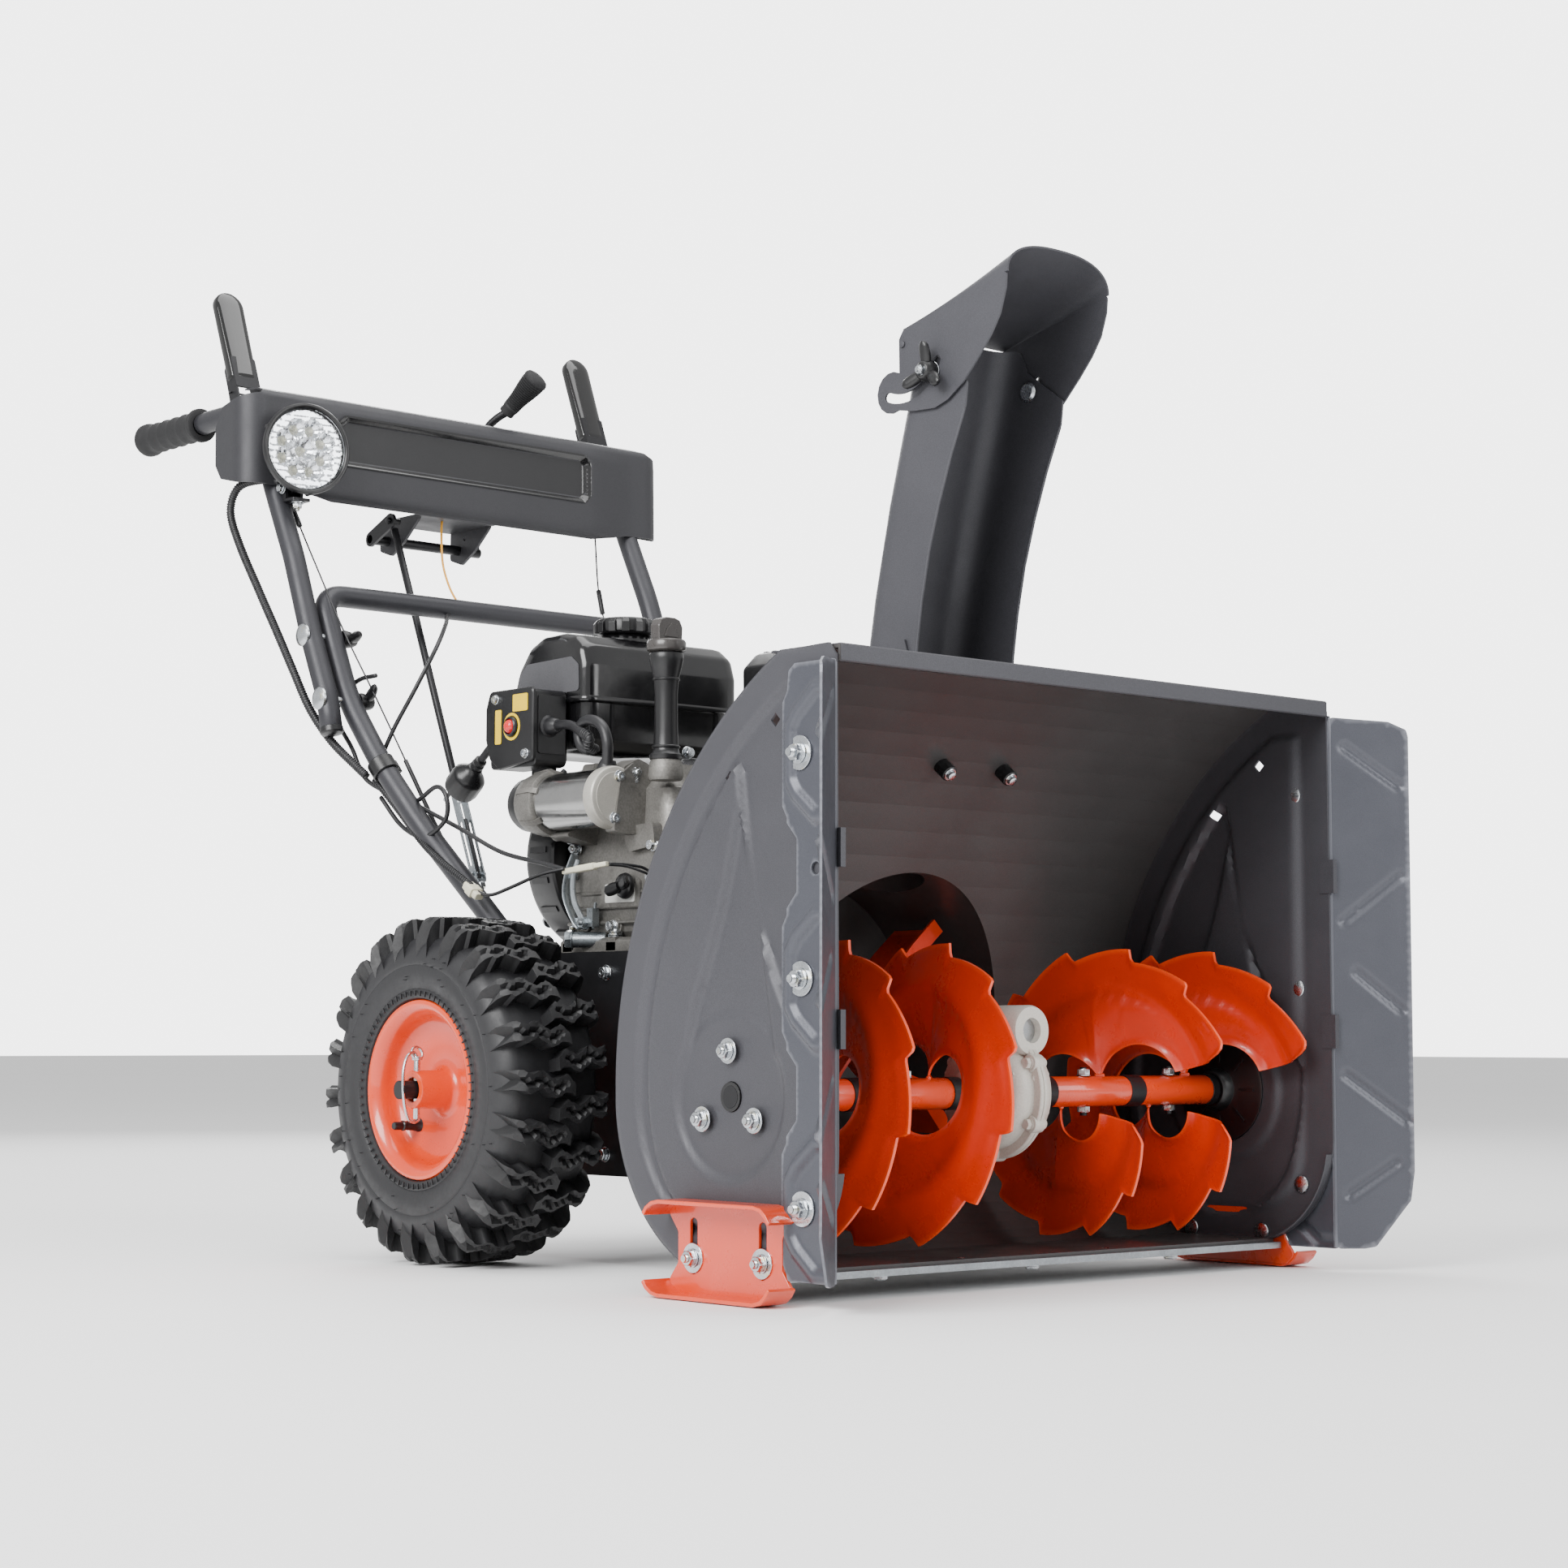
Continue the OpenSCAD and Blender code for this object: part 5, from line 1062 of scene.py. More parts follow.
REC = fillet([(-178, s(899)), (178, s(899)), (187, s(908)), (187, s(950)), (178, s(959.5)), (-178, s(959.5)), (-188, s(950)), (-188, s(908))], 8, 4)
def con_h(p):
    d = dist_poly(p, REC); i = inside(p, REC)
    h = np.where(i, -6.5 * smooth(d, 0.5, 10), 0.0)
    return 1.2 + h
b = Build()
lev = [fillet([(x - 21, 404 + 30), (x + 21, 404 + 30), (x + 21, 404 + 64), (x - 21, 404 + 64)], 5, 3) for x in (-261, 261)]
to_s = lambda y: s(982.5) + (y - 404) * 1.004
sl = [fillet([(x - 21, to_s(424)), (x + 21, to_s(424)), (x + 21, to_s(466)), (x - 21, to_s(466))], 5, 3) for x in (-259, 259)]
gate = fillet([(55, to_s(396)), (80.5, to_s(396)), (80.5, to_s(468)), (55, to_s(468))], 5, 3)
b.sheet(fillet(oc, 5, 3), 2.0, sl + [gate], 5.0, con_pos, con_h, edge=4.0)
# hemmed bottom edge
b.tube([tuple(q) for q in con_pos(np.array([(u, S0 + 0.6) for u in np.linspace(-194, 194, 40)]), np.zeros(40))], 1.7, 10)
# two shift brackets hang under the top
for x0 in (-64, 40):
    o = fillet([(382, 859), (470, 859), (470, 822), (446, 814), (420, 828)], 5, 4)
    b.sheet(o, 3.6, [circ(453.5, 832.6, 6.1, 24), circ(440, 846, 2.6, 12)], 9, lambda p, h, x0=x0: np.column_stack([x0 + 0.2 + h, p[:, 0], p[:, 1]]), lambda p: np.full(len(p), 3.6), edge=4)
b.box((-64, 382, 855.5), (44, 470, 858.5))
b.done("console_shell", "console", "machine", "console_plastic", ["console"], angle=42)
b = Build()
PAN = fillet([(-172, s(905.5)), (172, s(905.5)), (176.5, s(910)), (176.5, s(948)), (172, s(953)), (-172, s(953)), (-177, s(948)), (-177, s(910))], 5, 4)
b.sheet(PAN, 1.0, [], 6.0, con_pos, lambda p: np.full(len(p), -4.1), edge=5)
b.done("console_blank_panel", "panel", "machine", "console_plastic")
b = Build()
PO = fillet([(-180, s(901)), (180, s(901)), (184, s(906)), (184, s(952)), (180, s(957.6)), (-180, s(957.6)), (-185, s(952)), (-185, s(906))], 7, 4)
b.sheet(REC, 1.0, [PAN], 3.0, con_pos, lambda p: 2.1 - 6.5 * smooth(dist_poly(p, REC), 0.5, 9), edge=3)
b.done("console_panel_frame", "panel_gloss", "machine", "console_plastic")

# ---------------------------------------------------------------- headlight
lampc = (-252, 346, 905)
ML = T(*lampc) @ R(-9, "Z")
ml = ML @ to((0, 0, 0), (0, 1, 0))
b = Build()
b.lathe([(0, 27), (14, 27), (24, 25.8), (33, 22.6), (41, 17.4), (46.6, 11), (50, 4), (51, 1), (52.3, 0.2), (52.8, -2), (52.8, -6.5), (51.6, -8), (49.8, -8.3), (48.2, -7.6), (46.8, -5.6), (46.4, -2), (46.2, 1.5), (43, 9), (34, 17), (20, 21), (0, 22)], 80, ml)
for a in (25, 145, 265):  # bezel screws lugs
    b.cyl(3.1, -7.6, 3, 14, ml @ T(51.0 * cos(rad(a)), 51.0 * sin(rad(a)), 0), 0.6)
# lug and trunnion of the tilt
b.at(T(*lampc))
b.prism(fillet([(8, -42), (16, -38), (22, -33), (30, -38), (31.4, -43), (26, -48.4), (19, -48)], 2.5, 3), -4, 4, m=Matrix(((0, 0, 1, 0), (1, 0, 0, 0), (0, 1, 0, 0), (0, 0, 0, 1))))
b.cyl(5, -12, 12, 24, to((0, 26, -43), (1, 0, 0)), 0.5)
b.done("lamp_bowl", "black", "headlight", "black_plastic", ["headlight_shell"], angle=40)
b = Build()
cups = [(0, 0)] + [(25.5 * cos(rad(a)), 25.5 * sin(rad(a))) for a in range(22, 382, 45)]
# reflector plate with nine cups
def refl(p):
    h = np.zeros(len(p))
    for i, (cx, cy) in enumerate(cups):
        rr = np.hypot(p[:, 0] - cx, p[:, 1] - cy); R0 = 11.6 if i else 13.2
        h = np.maximum(h, np.where(rr < R0, 9.5 * (1 - (rr / R0) ** 2), 0))
    return h + 0.35 * np.sin(p[:, 0] * 1.7) * np.sin(p[:, 1] * 1.7)
b.sheet(circ(0, 0, 45.4, 72), 0.8, [], 1.7, lambda p, h: np.column_stack([p, h]), refl, m=ml, edge=2.2)
b.done("lamp_reflector", "chrome", "headlight", "lamp_lens", angle=25)
b = Build()
for cx, cy in cups:
    b.lathe([(0, 5), (2.6, 5.2), (2.6, 8), (1.9, 9.2), (0, 9.6)], 14, ml @ T(cx, cy, 0) @ R(180, "X") @ T(0, 0, -13.5))
b.done("lamp_emitters", "cream", "headlight")
b = Build()
def lensz(p):
    r = np.hypot(p[:, 0], p[:, 1])
    z = -(-6.4 - 2.2 * np.sqrt(np.clip(1 - (r / 47.0) ** 2, 0, 1)))
    for cx, cy in cups:
        rr = np.hypot(p[:, 0] - cx, p[:, 1] - cy)
        z = z + 0.7 * np.clip(1 - (rr / 10.5) ** 2, 0, 1)
    return z
b.sheet(circ(0, 0, 46.2, 72), 1.4, [], 2.2, lambda p, h: np.column_stack([p[:, 0], p[:, 1], -h]), lensz, m=ml, edge=2.5)
b.done("lamp_lens_disc", "lens", "headlight", "lamp_lens", ["headlight_lens"], angle=30)
b = Build()
U = fillet([(-264, 350), (-240, 350), (-240, 382), (-264, 382)], 4, 3)
b.sheet(U, 3.2, [circ(-252, 360, 4, 16)], 9, lambda p, h: np.column_stack([p[:, 0], p[:, 1], 846.2 + h]), lambda p: np.full(len(p), 3.2), edge=4)
for x0 in (-264, -244):
    b.sheet(fillet([(367, 847), (380, 847), (380, 868), (367, 868)], 5, 4), 3.6, [circ(372, 862, 5.08, 24)], 9, lambda p, h, x0=x0: np.column_stack([x0 + 0.2 + h, p[:, 0], p[:, 1]]), lambda p: np.full(len(p), 3.6), edge=3)
b.sheet(fillet([(-264, 838), (-240, 838), (-240, 866), (-264, 866)], 4, 3), 3.0, [], 9, lambda p, h: np.column_stack([p[:, 0], 378.8 + h, p[:, 1]]), lambda p: np.full(len(p), 3.0), edge=4)
b.done("lamp_bracket", "blackmetal", "machine", "black_paint", ["headlight_bracket"], bevel=0.4)
b = Build()
b.hexhead(to((-252, 360, 846), (0, 0, -1)), 10, 5, washer=8, tip=3); b.hexhead(to((-264.4, 372, 862), (-1, 0, 0)), 9, 4, washer=7)
b.done("lamp_bracket_bolts", "zinc", "machine")

# ---------------------------------------------------------------- cables
COND = [(-264, 380, 870), (-276, 400, 874), (-288, 430, 868), (-292, 440, 840), (-289, 424, 800), (-284, 390, 745), (-281, 352, 690), (-277, 324, 645), (-268, 302, 600), (-256, 276, 563), (-243, 246, 534), (-238, 232, 522)]
b = Build()
cp = catmull(COND, 8)
b.tube(cp, 4.2, 14)
b.coil(cp, 4.1, 1.1, 3.0, seg=6, per=9)
b.done("lamp_conduit", "cable", "machine", "cable_rubber", ["control_cables"], angle=60)
CR = [(-240, 400, 862), (-240, 384, 836), (-238, 340, 770), (-232, 290, 690), (-214, 250, 612), (-192, 214, 530), (-170, 180, 450), (-150, 120, 350), (-140, 76, 300)]
CL = [(240, 434, 868), (240, 424, 790), (236, 390, 720), (210, 320, 660), (190, 250, 580), (170, 190, 470), (150, 120, 350), (140, 76, 300)]
b = Build()
for q in (CR, CL):
    c = catmull(q, 7); k = len(c)
    b.tube(c[:int(k * 0.62)], 1.0, 10)
    b.tube(c[int(k * 0.62) - 1:], 2.6, 12)
    a0 = c[int(k * 0.12)]; a1 = c[int(k * 0.12) + 3]
    b.tube([a0.lerp(a1, t) for t in np.linspace(0, 1, 5)], 3.2, 12)
b.done("bowden_wires", "cable", "machine", angle=60)
b = Build()   # loop of wiring tied to the right leg, and the leads down to the engine
W1 = [(-206, 262, 640), (-214, 286, 636), (-226, 302, 618), (-232, 300, 590), (-228, 276, 556), (-224, 258, 524), (-214, 236, 508), (-205, 190, 492), (-208, 140, 506), (-208, 120, 492), (-206, 126, 468), (-210, 160, 452), (-212, 200, 466), (-216, 236, 500)]
b.tube(catmull(W1, 7), 2.6, 12)
W2 = [(-20, 346, 738), (-60, 330, 730), (-120, 250, 706), (-170, 196, 670), (-196, 200, 620), (-206, 232, 570), (-212, 246, 530), (-208, 226, 506), (-200, 180, 486), (-190, 120, 460), (-178, 60, 432), (-168, 0, 418), (-160, -40, 408)]
b.tube(catmull(W2, 7), 2.5, 12)
W3 = [(-222, 240, 520), (-214, 204, 484), (-212, 160, 446), (-216, 120, 424), (-214, 84, 404), (-212, 66, 394)]
b.tube(catmull(W3, 7), 3.4, 12); b.coil(catmull(W3, 7), 3.4, 0.9, 3.2, seg=6, per=8)
W4 = [(-212, 58, 388), (-206, 40, 384), (-196, 16, 392), (-184, -16, 404), (-172, -44, 410)]
b.tube(catmull(W4, 7), 2.0, 10)
b.done("tied_wiring", "cable", "machine", angle=60)
b = Build()
b.tube(catmull([(-20, 402, 862), (-24, 398, 840), (-34, 380, 800), (-36, 362, 768), (-30, 350, 746)], 7), 1.4, 10)
b.done("thin_lead", "orangewire", "machine")
b = Build()   # white connectors
for p0, p1, wd in (((-212, 74, 396), (-212, 52, 382), 8.0), ((-168, -38, 407), (-152, -92, 414), 5.2)):
    d = Vector(p1) - Vector(p0); L_ = d.length; m = to(p0, d)
    rings = []
    for z_, w_ in ((0, 0.7), (1, 0.82), (L_ * 0.3, 0.86), (L_ * 0.32, 1.0), (L_ * 0.72, 1.0), (L_ * 0.74, 0.74), (L_ - 1, 0.7), (L_, 0.6)):
        rings.append([(wd * w_ * math.copysign(abs(cos(a)) ** 0.4, cos(a)), wd * 0.7 * w_ * math.copysign(abs(sin(a)) ** 0.4, sin(a)), z_) for a in np.linspace(0, 2 * pi, 24, endpoint=False)])
    b.loft(rings, m)
b.done("white_connectors", "cream", "machine", bevel=0.3)
b = Build()   # tie clamp on the leg
dleg = (Vector((-205, 170, 463)) - Vector((-233, 277, 610))).normalized()
mc = to(Vector((-222, 226, 535)) + dleg * 4, dleg)
b.ring(12.6, 15.4, -9, 9, 32, mc, 1.0)
b.box((13, -6, -8), (22, 6, 8), mc); 
b.done("tie_clamp", "black", "machine", bevel=1.2)

# ---------------------------------------------------------------- chute
FZ = [575, 619, 658, 705, 751, 797, 840, 870]; FY = [-466, -471, -477, -487, -501, -518, -537, -552]
RZ = [575, 626, 666, 714, 761, 808, 847, 880, 926]; RY = [-381, -388, -395, -406, -417, -430, -441, -450, -462]
def sec(zz, n=64):
    """One level of the channel: outside x, y from the front left edge round the back to the front right edge."""
    yf, yr = float(np.interp(zz, FZ, FY)), float(np.interp(zz, RZ, RY))
    rho = 27.0; w = 68.5
    pts = [(-w, yf), (-w, yr - rho)] + [(-w + rho - rho * cos(a), yr - rho + rho * sin(a)) for a in np.linspace(0, pi / 2, 12)[1:]] + [(w - rho + rho * sin(a), yr - rho + rho * cos(a)) for a in np.linspace(0, pi / 2, 12)] + [(w, yf)]
    return pts
US = [0.0]
base_sec = sec(700)
for a_, c_ in zip(base_sec, base_sec[1:]): US.append(US[-1] + math.hypot(c_[0] - a_[0], c_[1] - a_[1]))
UT = US[-1]; US = np.array(US)
LEVEL = {}
def chute_pos(p, h):
    out = np.zeros((len(p), 3))
    for k, ((u, zz), hh) in enumerate(zip(p, h)):
        key = round(zz, 2)
        if key not in LEVEL:
            q = np.array(sec(zz)); d = np.gradient(q, axis=0); d /= np.linalg.norm(d, axis=1)[:, None]
            l = np.r_[0, np.cumsum(np.linalg.norm(np.diff(q, axis=0), axis=1))]
            LEVEL[key] = (q, np.column_stack([-d[:, 1], d[:, 0]]), l / l[-1] * UT)
        q, nn, l = LEVEL[key]
        x = np.interp(u, l, q[:, 0]); y = np.interp(u, l, q[:, 1]); nx = np.interp(u, l, nn[:, 0]); ny = np.interp(u, l, nn[:, 1])
        out[k] = (x + nx * hh, y + ny * hh, zz)
    return out
b = Build()
UB0, UB1 = 60.0, UT - 60.0
co = [(0, 580), (UT, 580), (UT, 842), (UT - 8, 866), (UT - 26, 880), (UB1 + 6, 902), (UB1 - 6, 926), (UB0 + 6, 926), (UB0 - 6, 902), (26, 880), (8, 866), (0, 842)]
co = fillet(co, [0, 0, 6, 6, 6, 6, 10, 10, 6, 6, 6, 6], 4)
b.sheet(co, 2.2, [], 7.0, chute_pos, lambda p: np.full(len(p), 0.0), edge=6.0)
# hemmed front edges
for u in (0.6, UT - 0.6):
    zz = np.linspace(583, 840, 60)
    b.tube([tuple(q) for q in chute_pos(np.array([(u, v) for v in zz]), np.full(60, -1.1))], 1.5, 10)
mch = T(0, -421, 572) @ R(13, "X")
b.lathe([(79, -14), (84, -14), (84, -0.2), (92.6, 0), (94, 0.8), (94, 3.2), (92.6, 4), (80, 4), (79, 3)], 72, mch)
b.cyl(3.4, -74, 74, 20, to((0, -455.5, 916), (1, 0, 0)), 0.6)
for sg in (1, -1):   # foot flanges and gussets
    b.at(Matrix.Identity(4) if sg > 0 else MIRX)
    b.box((60, -462, 574.5), (78, -392, 578.5))
    b.prism([(-470, 578), (-400, 578), (-400, 584), (-440, 590), (-452, 622), (-456, 622)], 69, 71.4, m=Matrix(((0, 0, 1, 0), (1, 0, 0, 0), (0, 1, 0, 0), (0, 0, 0, 1))))
b.at(Matrix.Identity(4))
b.done("chute_channel", "graphite", "chute", "plate_paint", ["chute"], angle=40)
b = Build()
for x in (-9, 9):
    b.lathe([(0, 0), (5.4, 0), (4.9, 1.8), (2.8, 2.9), (0, 3.2)], 20, to((x, -461.5, 905), (0, -1, -0.25)))
    b.lathe([(0, 0), (5.4, 0), (4.9, 1.8), (2.8, 2.9), (0, 3.2)], 20, to((x, -454.6, 905), (0, 1, 0.25)))
for k in range(4):
    a = rad(45 + 90 * k); b.hexhead(mch @ T(88 * cos(a), 88 * sin(a), 4), 9, 4.5, washer=7)
b.done("chute_rivets", "zinc", "chute")
b = Build()
b.lathe([(72, -20), (92, -20), (92.6, -19.4), (92.6, -16.6), (92, -16), (78.6, -16), (78, -15), (78, -1.6), (77.4, -1), (72.6, -1), (72, -1.6)], 72, mch)
b.done("turning_ring", "black", "machine", "black_plastic", ["chute_ring"], angle=40)

# deflector
PV = (-455.5, 916)
HS = arcp(-440, 870, 21, -115, 120, 10) + [(-450, 922), (-456.5, 931)] + [(-598, 963)] + [(-596.5, 946), (-589, 923), (-577, 905), (-560, 886), (-538, 864), (-518, 851), (-500, 845.5), (-470, 847)]
HS = fillet(HS, [0] * 11 + [4, 5, 3, 6, 8, 8, 8, 8, 8, 8, 8], 3)
def arc_slot(a0, a1, r=54, w=4.7):
    o = [(PV[0] + (r + w) * cos(rad(a)), PV[1] + (r + w) * sin(rad(a))) for a in np.linspace(a0, a1, 16)]
    e = (PV[0] + r * cos(rad(a1)), PV[1] + r * sin(rad(a1)))
    o += [(e[0] + w * cos(rad(a)), e[1] + w * sin(rad(a))) for a in np.linspace(a1, a1 + 180, 8)[1:-1]]
    o += [(PV[0] + (r - w) * cos(rad(a)), PV[1] + (r - w) * sin(rad(a))) for a in np.linspace(a1, a0, 16)]
    e = (PV[0] + r * cos(rad(a0)), PV[1] + r * sin(rad(a0)))
    o += [(e[0] + w * cos(rad(a)), e[1] + w * sin(rad(a))) for a in np.linspace(a0 - 180, a0, 8)[1:-1]]
    return o
b = Build()
for sg in (1, -1):
    b.at(Matrix.Identity(4) if sg > 0 else MIRX)
    b.sheet(HS, 2.0, [arc_slot(206, 292), circ(PV[0], PV[1], 3.6, 16)], 6.0, lambda p, h: np.column_stack([70.2 + h, p[:, 0], p[:, 1]]), lambda p: np.full(len(p), 2.0), edge=3.5)
b.at(Matrix.Identity(4))
# arched roof, flat at the hinge
rows_o, rows_i = [], []
for i in range(25):
    t = i / 24; y = -455.5 - 143.5 * t; z0 = 931.0 + 32.0 * t
    h = 1.5 + 31.5 * t ** 1.25
    ro, ri = [], []
    for j in range(41):
        th = pi * j / 40; c = cos(th); s_ = sin(th)
        x = -72.2 * math.copysign(abs(c) ** 0.8, c); dz = h * abs(s_) ** 0.85
        ro.append((x, y, z0 + dz)); ri.append((x * (70.2 / 72.2), y, z0 + dz - 2.0 * (0.25 + 0.75 * abs(s_))))
    rows_o.append(ro); rows_i.append(ri)
v = [p for r in rows_o for p in r] + [p for r in rows_i for p in r]; W_ = 41; O_ = 25 * W_; f = []
for i in range(24):
    for j in range(40):
        a, b1, c, d = i * W_ + j, i * W_ + j + 1, (i + 1) * W_ + j + 1, (i + 1) * W_ + j
        f.append((a, b1, c, d)); f.append((O_ + a, O_ + d, O_ + c, O_ + b1))
    for j in (0, 40):
        a, d = i * W_ + j, (i + 1) * W_ + j
        f.append((a, d, O_ + d, O_ + a) if j == 0 else (a, O_ + a, O_ + d, d))
for i in (0, 24):
    for j in range(40):
        a, b1 = i * W_ + j, i * W_ + j + 1
        f.append((a, O_ + a, O_ + b1, b1) if i == 0 else (a, b1, O_ + b1, O_ + a))
b.add(v, f)
b.done("deflector_hood", "graphite", "deflector", "plate_paint", ["deflector"], angle=42)
b = Build(); b2 = Build()
kc = (PV[0] + 54 * cos(rad(220)), PV[1] + 54 * sin(rad(220)))
for sg in (1, -1):
    mk_ = (Matrix.Identity(4) if sg > 0 else MIRX) @ to((72.4, kc[0], kc[1]), (1, 0, 0), up=(0, 0, 1))
    b2.cyl(3.9, -12, 20, 18, mk_, 0.6)
    b2.ring(4.2, 10.5, 0.0, 1.3, 28, mk_, 0.3)
    b2.lathe([(0, -12.6), (8, -12.2), (10, -10.6), (10.4, -9.6), (10.4, -8.6), (0, -8.6)], 26, mk_)
    b2.hexhead(mk_ @ T(0, 0, 13), 9, 5, tip=2.5)
    b.lathe([(4.2, 1.6), (9.6, 1.6), (11.2, 4), (10.8, 9), (8.6, 14.5), (6.4, 15.6), (5.6, 15.6), (5.6, 12), (4.2, 12)], 28, mk_)
    for q in (95, 215, 335):
        rings = []
        for t in np.linspace(0, 1, 9):
            c = 6 + 22 * t; w_ = 4.8 + 2.0 * sin(pi * t); th_ = 4.8 - 1.6 * t; zc = 8.0 + 6.5 * t
            if t > 0.98: w_ *= 0.6; th_ *= 0.6
            rings.append([(c, w_ * cos(rad(e)), zc + th_ * sin(rad(e))) for e in range(0, 360, 30)])
        b.loft(rings, mk_ @ R(q, "Z"))
b.done("deflector_wing_nuts", "black", "chute", "black_plastic", ["deflector_knobs"], angle=50)
b2.done("deflector_bolts", "zinc", "chute", "zinc")

# ---------------------------------------------------------------- engine
XZM = Matrix(((1, 0, 0, 0), (0, 0, 1, 0), (0, 1, 0, 0), (0, 0, 0, 1)))      # outline (x, z), depth along +Y
YZM = Matrix(((0, 0, 1, 0), (1, 0, 0, 0), (0, 1, 0, 0), (0, 0, 0, 1)))      # outline (y, z), depth along +X
def rrect(x0, y0, x1, y1, r, n=5):
    return fillet([(x0, y0), (x1, y0), (x1, y1), (x0, y1)], r, n)
def ringz(x0, y0, x1, y1, r, z, n=5):
    return [(q[0], q[1], z) for q in rrect(x0, y0, x1, y1, r, n)]
CZ = 0
b = Build()
# crankcase, drafted, with its joint to the side cover
b.loft([ringz(-80, -106, 74, 52, 14, 340), ringz(-86, -112, 78, 58, 16, 346), ringz(-90, -116, 82, 62, 18, 372), ringz(-91.4, -117.6, 82, 62, 18, 420), ringz(-86, -116, 82, 62, 20, 452), ringz(-84, -112, 76, 60, 22, 498), ringz(-76, -104, 66, 52, 20, 508), ringz(-70, -100, 58, 46, 18, 524)])
for z in (356, 372, 388):     # shallow pressed ribs round the foot
    b.loft([ringz(-91, -117, 82, 62, 17, z - 2.2), ringz(-92.6, -119, 83.4, 63, 18, z - 0.8), ringz(-92.6, -119, 83.4, 63, 18, z + 0.8), ringz(-91, -117, 82, 62, 17, z + 2.2)])
for y, z in ((-96, 352), (-96, 402), (-98, 436), (-30, 352), (24, 356), (40, 410), (40, 448)):   # cover screw bosses along X
    m = to((-84, y, z), (-1, 0, 0)); b.cyl(9, -12, 6.5, 24, m, 1.2); b.cyl(7, 6, 9, 24, m, 0.6)
b.prism(rrect(-74, 372, -8, 402, 5), -93.8, -88, m=YZM @ T(0, 0, 0))
b.prism(fillet([(-104, 436), (-60, 430), (-52, 446), (-60, 458), (-100, 460)], 5, 4), -98, -84, m=YZM)
# front (belt side) cover and shaft boss
b.lathe([(10.9, 0), (36, 0), (40, 2), (46, 9), (52, 12), (52, 16), (10.9, 16)], 64, to((0, -120.6, 431), (0, 1, 0)))
# engine foot
b.prism(fillet([(-92, 340), (-98, 336), (-98, 323), (98, 323), (98, 336), (88, 341)], 2.5, 3), -116, 58, m=XZM)
for y in (-104, -30, 46):
    for sx in (-1, 1):
        b.box((sx * 98 - (16 if sx > 0 else 0), y - 8, 322.6), (sx * 98 + (16 if sx < 0 else 0), y + 8, 340))
# oil filler boss on the cover, and a lug for the starter
b.lathe([(0, 0), (17, 0), (19, 4), (17.6, 18), (16, 22), (0, 22)], 36, to((-90, -112, 504), (0, 0, 1)))
b.prism(fillet([(-128, 450), (-70, 446), (-66, 510), (-100, 526), (-118, 512)], 6, 4), -72, -56, m=XZM)
b.prism(fillet([(-112, 450), (-70, 446), (-70, 512), (-88, 520)], 6, 4), 14, 30, m=XZM)
# cylinder and head, leaning back, with cooling fins
mc_ = T(70, -90, 400) @ R(-25, "Y")
b.loft([[(0, 12, 8), (0, 108, 8), (0, 108, 96), (0, 12, 96)], [(118, 12, 8), (118, 108, 8), (118, 108, 96), (118, 12, 96)]], mc_)
for k in range(11):
    x = 14 + 9.2 * k
    o = rrect(2 if k < 7 else -3, 2 if k < 7 else -2, 118 if k < 7 else 121, 103 if k < 7 else 106, 10)
    b.loft([[(x, p[0] + 0.6, p[1] + 0.6) for p in o], [(x + 0.8, p[0], p[1]) for p in o], [(x + 2.0, p[0], p[1]) for p in o], [(x + 2.8, p[0] + 0.6, p[1] + 0.6) for p in o]], mc_)
b.done("crankcase", "cast", "machine", "cast_alloy", ["engine_block"], angle=35)
b = Build()
b.loft([[(118, p[0], p[1]) for p in rrect(10, 10, 110, 94, 14)], [(123, p[0], p[1]) for p in rrect(8, 8, 112, 96, 15)], [(133, p[0], p[1]) for p in rrect(12, 12, 108, 92, 15)], [(138, p[0], p[1]) for p in rrect(20, 20, 100, 84, 14)]], mc_)
b.done("rocker_cover", "black", "machine", angle=40)
b = Build()
for y, z in ((-96, 352), (-96, 402), (-98, 436), (-30, 352), (24, 356), (40, 410), (40, 448)):
    b.hexhead(to((-93, y, z), (-1, 0, 0)), 10, 6, washer=6.5, tip=0)
for y in (-104, -30, 46):
    for sx in (-1, 1): b.hexhead(to((sx * 91, y, 340), (0, 0, 1)), 13, 7, washer=8, tip=4)
for y, z in ((-64, 508), (22, 455)): b.hexhead(to((-96, y, z), (-1 if y > 0 else -0.4, -1 if y < 0 else 0, 0)), 10, 6, washer=7)
for a in range(0, 360, 60): b.hexhead(to((47 * cos(rad(a)), -109, 431 + 47 * sin(rad(a))), (0, -1, 0)), 9, 4, washer=0)
b.hexhead(to((-68, -120, 534), (0, -1, 0)), 10, 5, washer=7)
b.done("engine_bolts", "zinc", "machine")
b = Build()   # drain pipe, governor arm and bracket, all zinc plated
b.tube([(-112, 22, 338), (-84, -6, 338)], 8.5, 24)
b.hexhead(to((-110, 20, 338), (-1, 1, 0)), 17, 8, washer=0, tip=0)
b.tube(catmull([(-97, 34, 432), (-101, 40, 412), (-103, 42, 388), (-101, 32, 364), (-98, 22, 350)], 8), 6.0, 12, flat=0.3)
b.tube(catmull([(-99, 26, 426), (-103, 30, 404), (-104, 26, 380), (-102, 12, 358)], 8), 3.2, 10)
b.box((-101, -2, 352), (-99, 34, 362)); b.box((-104, -6, 352), (-95, 4, 372))
b.hexhead(to((-101, 8, 356), (-1, 0, 0)), 10, 6, washer=7, tip=4)
b.tube([(-100, -6, 378), (-100, -2, 350)], 1.6, 8)
b.done("governor_and_drain", "galv", "machine", bevel=0.3)
b = Build()
b.prism(rrect(-66, 377, -16, 397, 2), -95.0, -93.6, m=YZM)
b.done("plain_label", "label", "machine", bevel=0.2)
b = Build()   # hand knob on the side of the engine
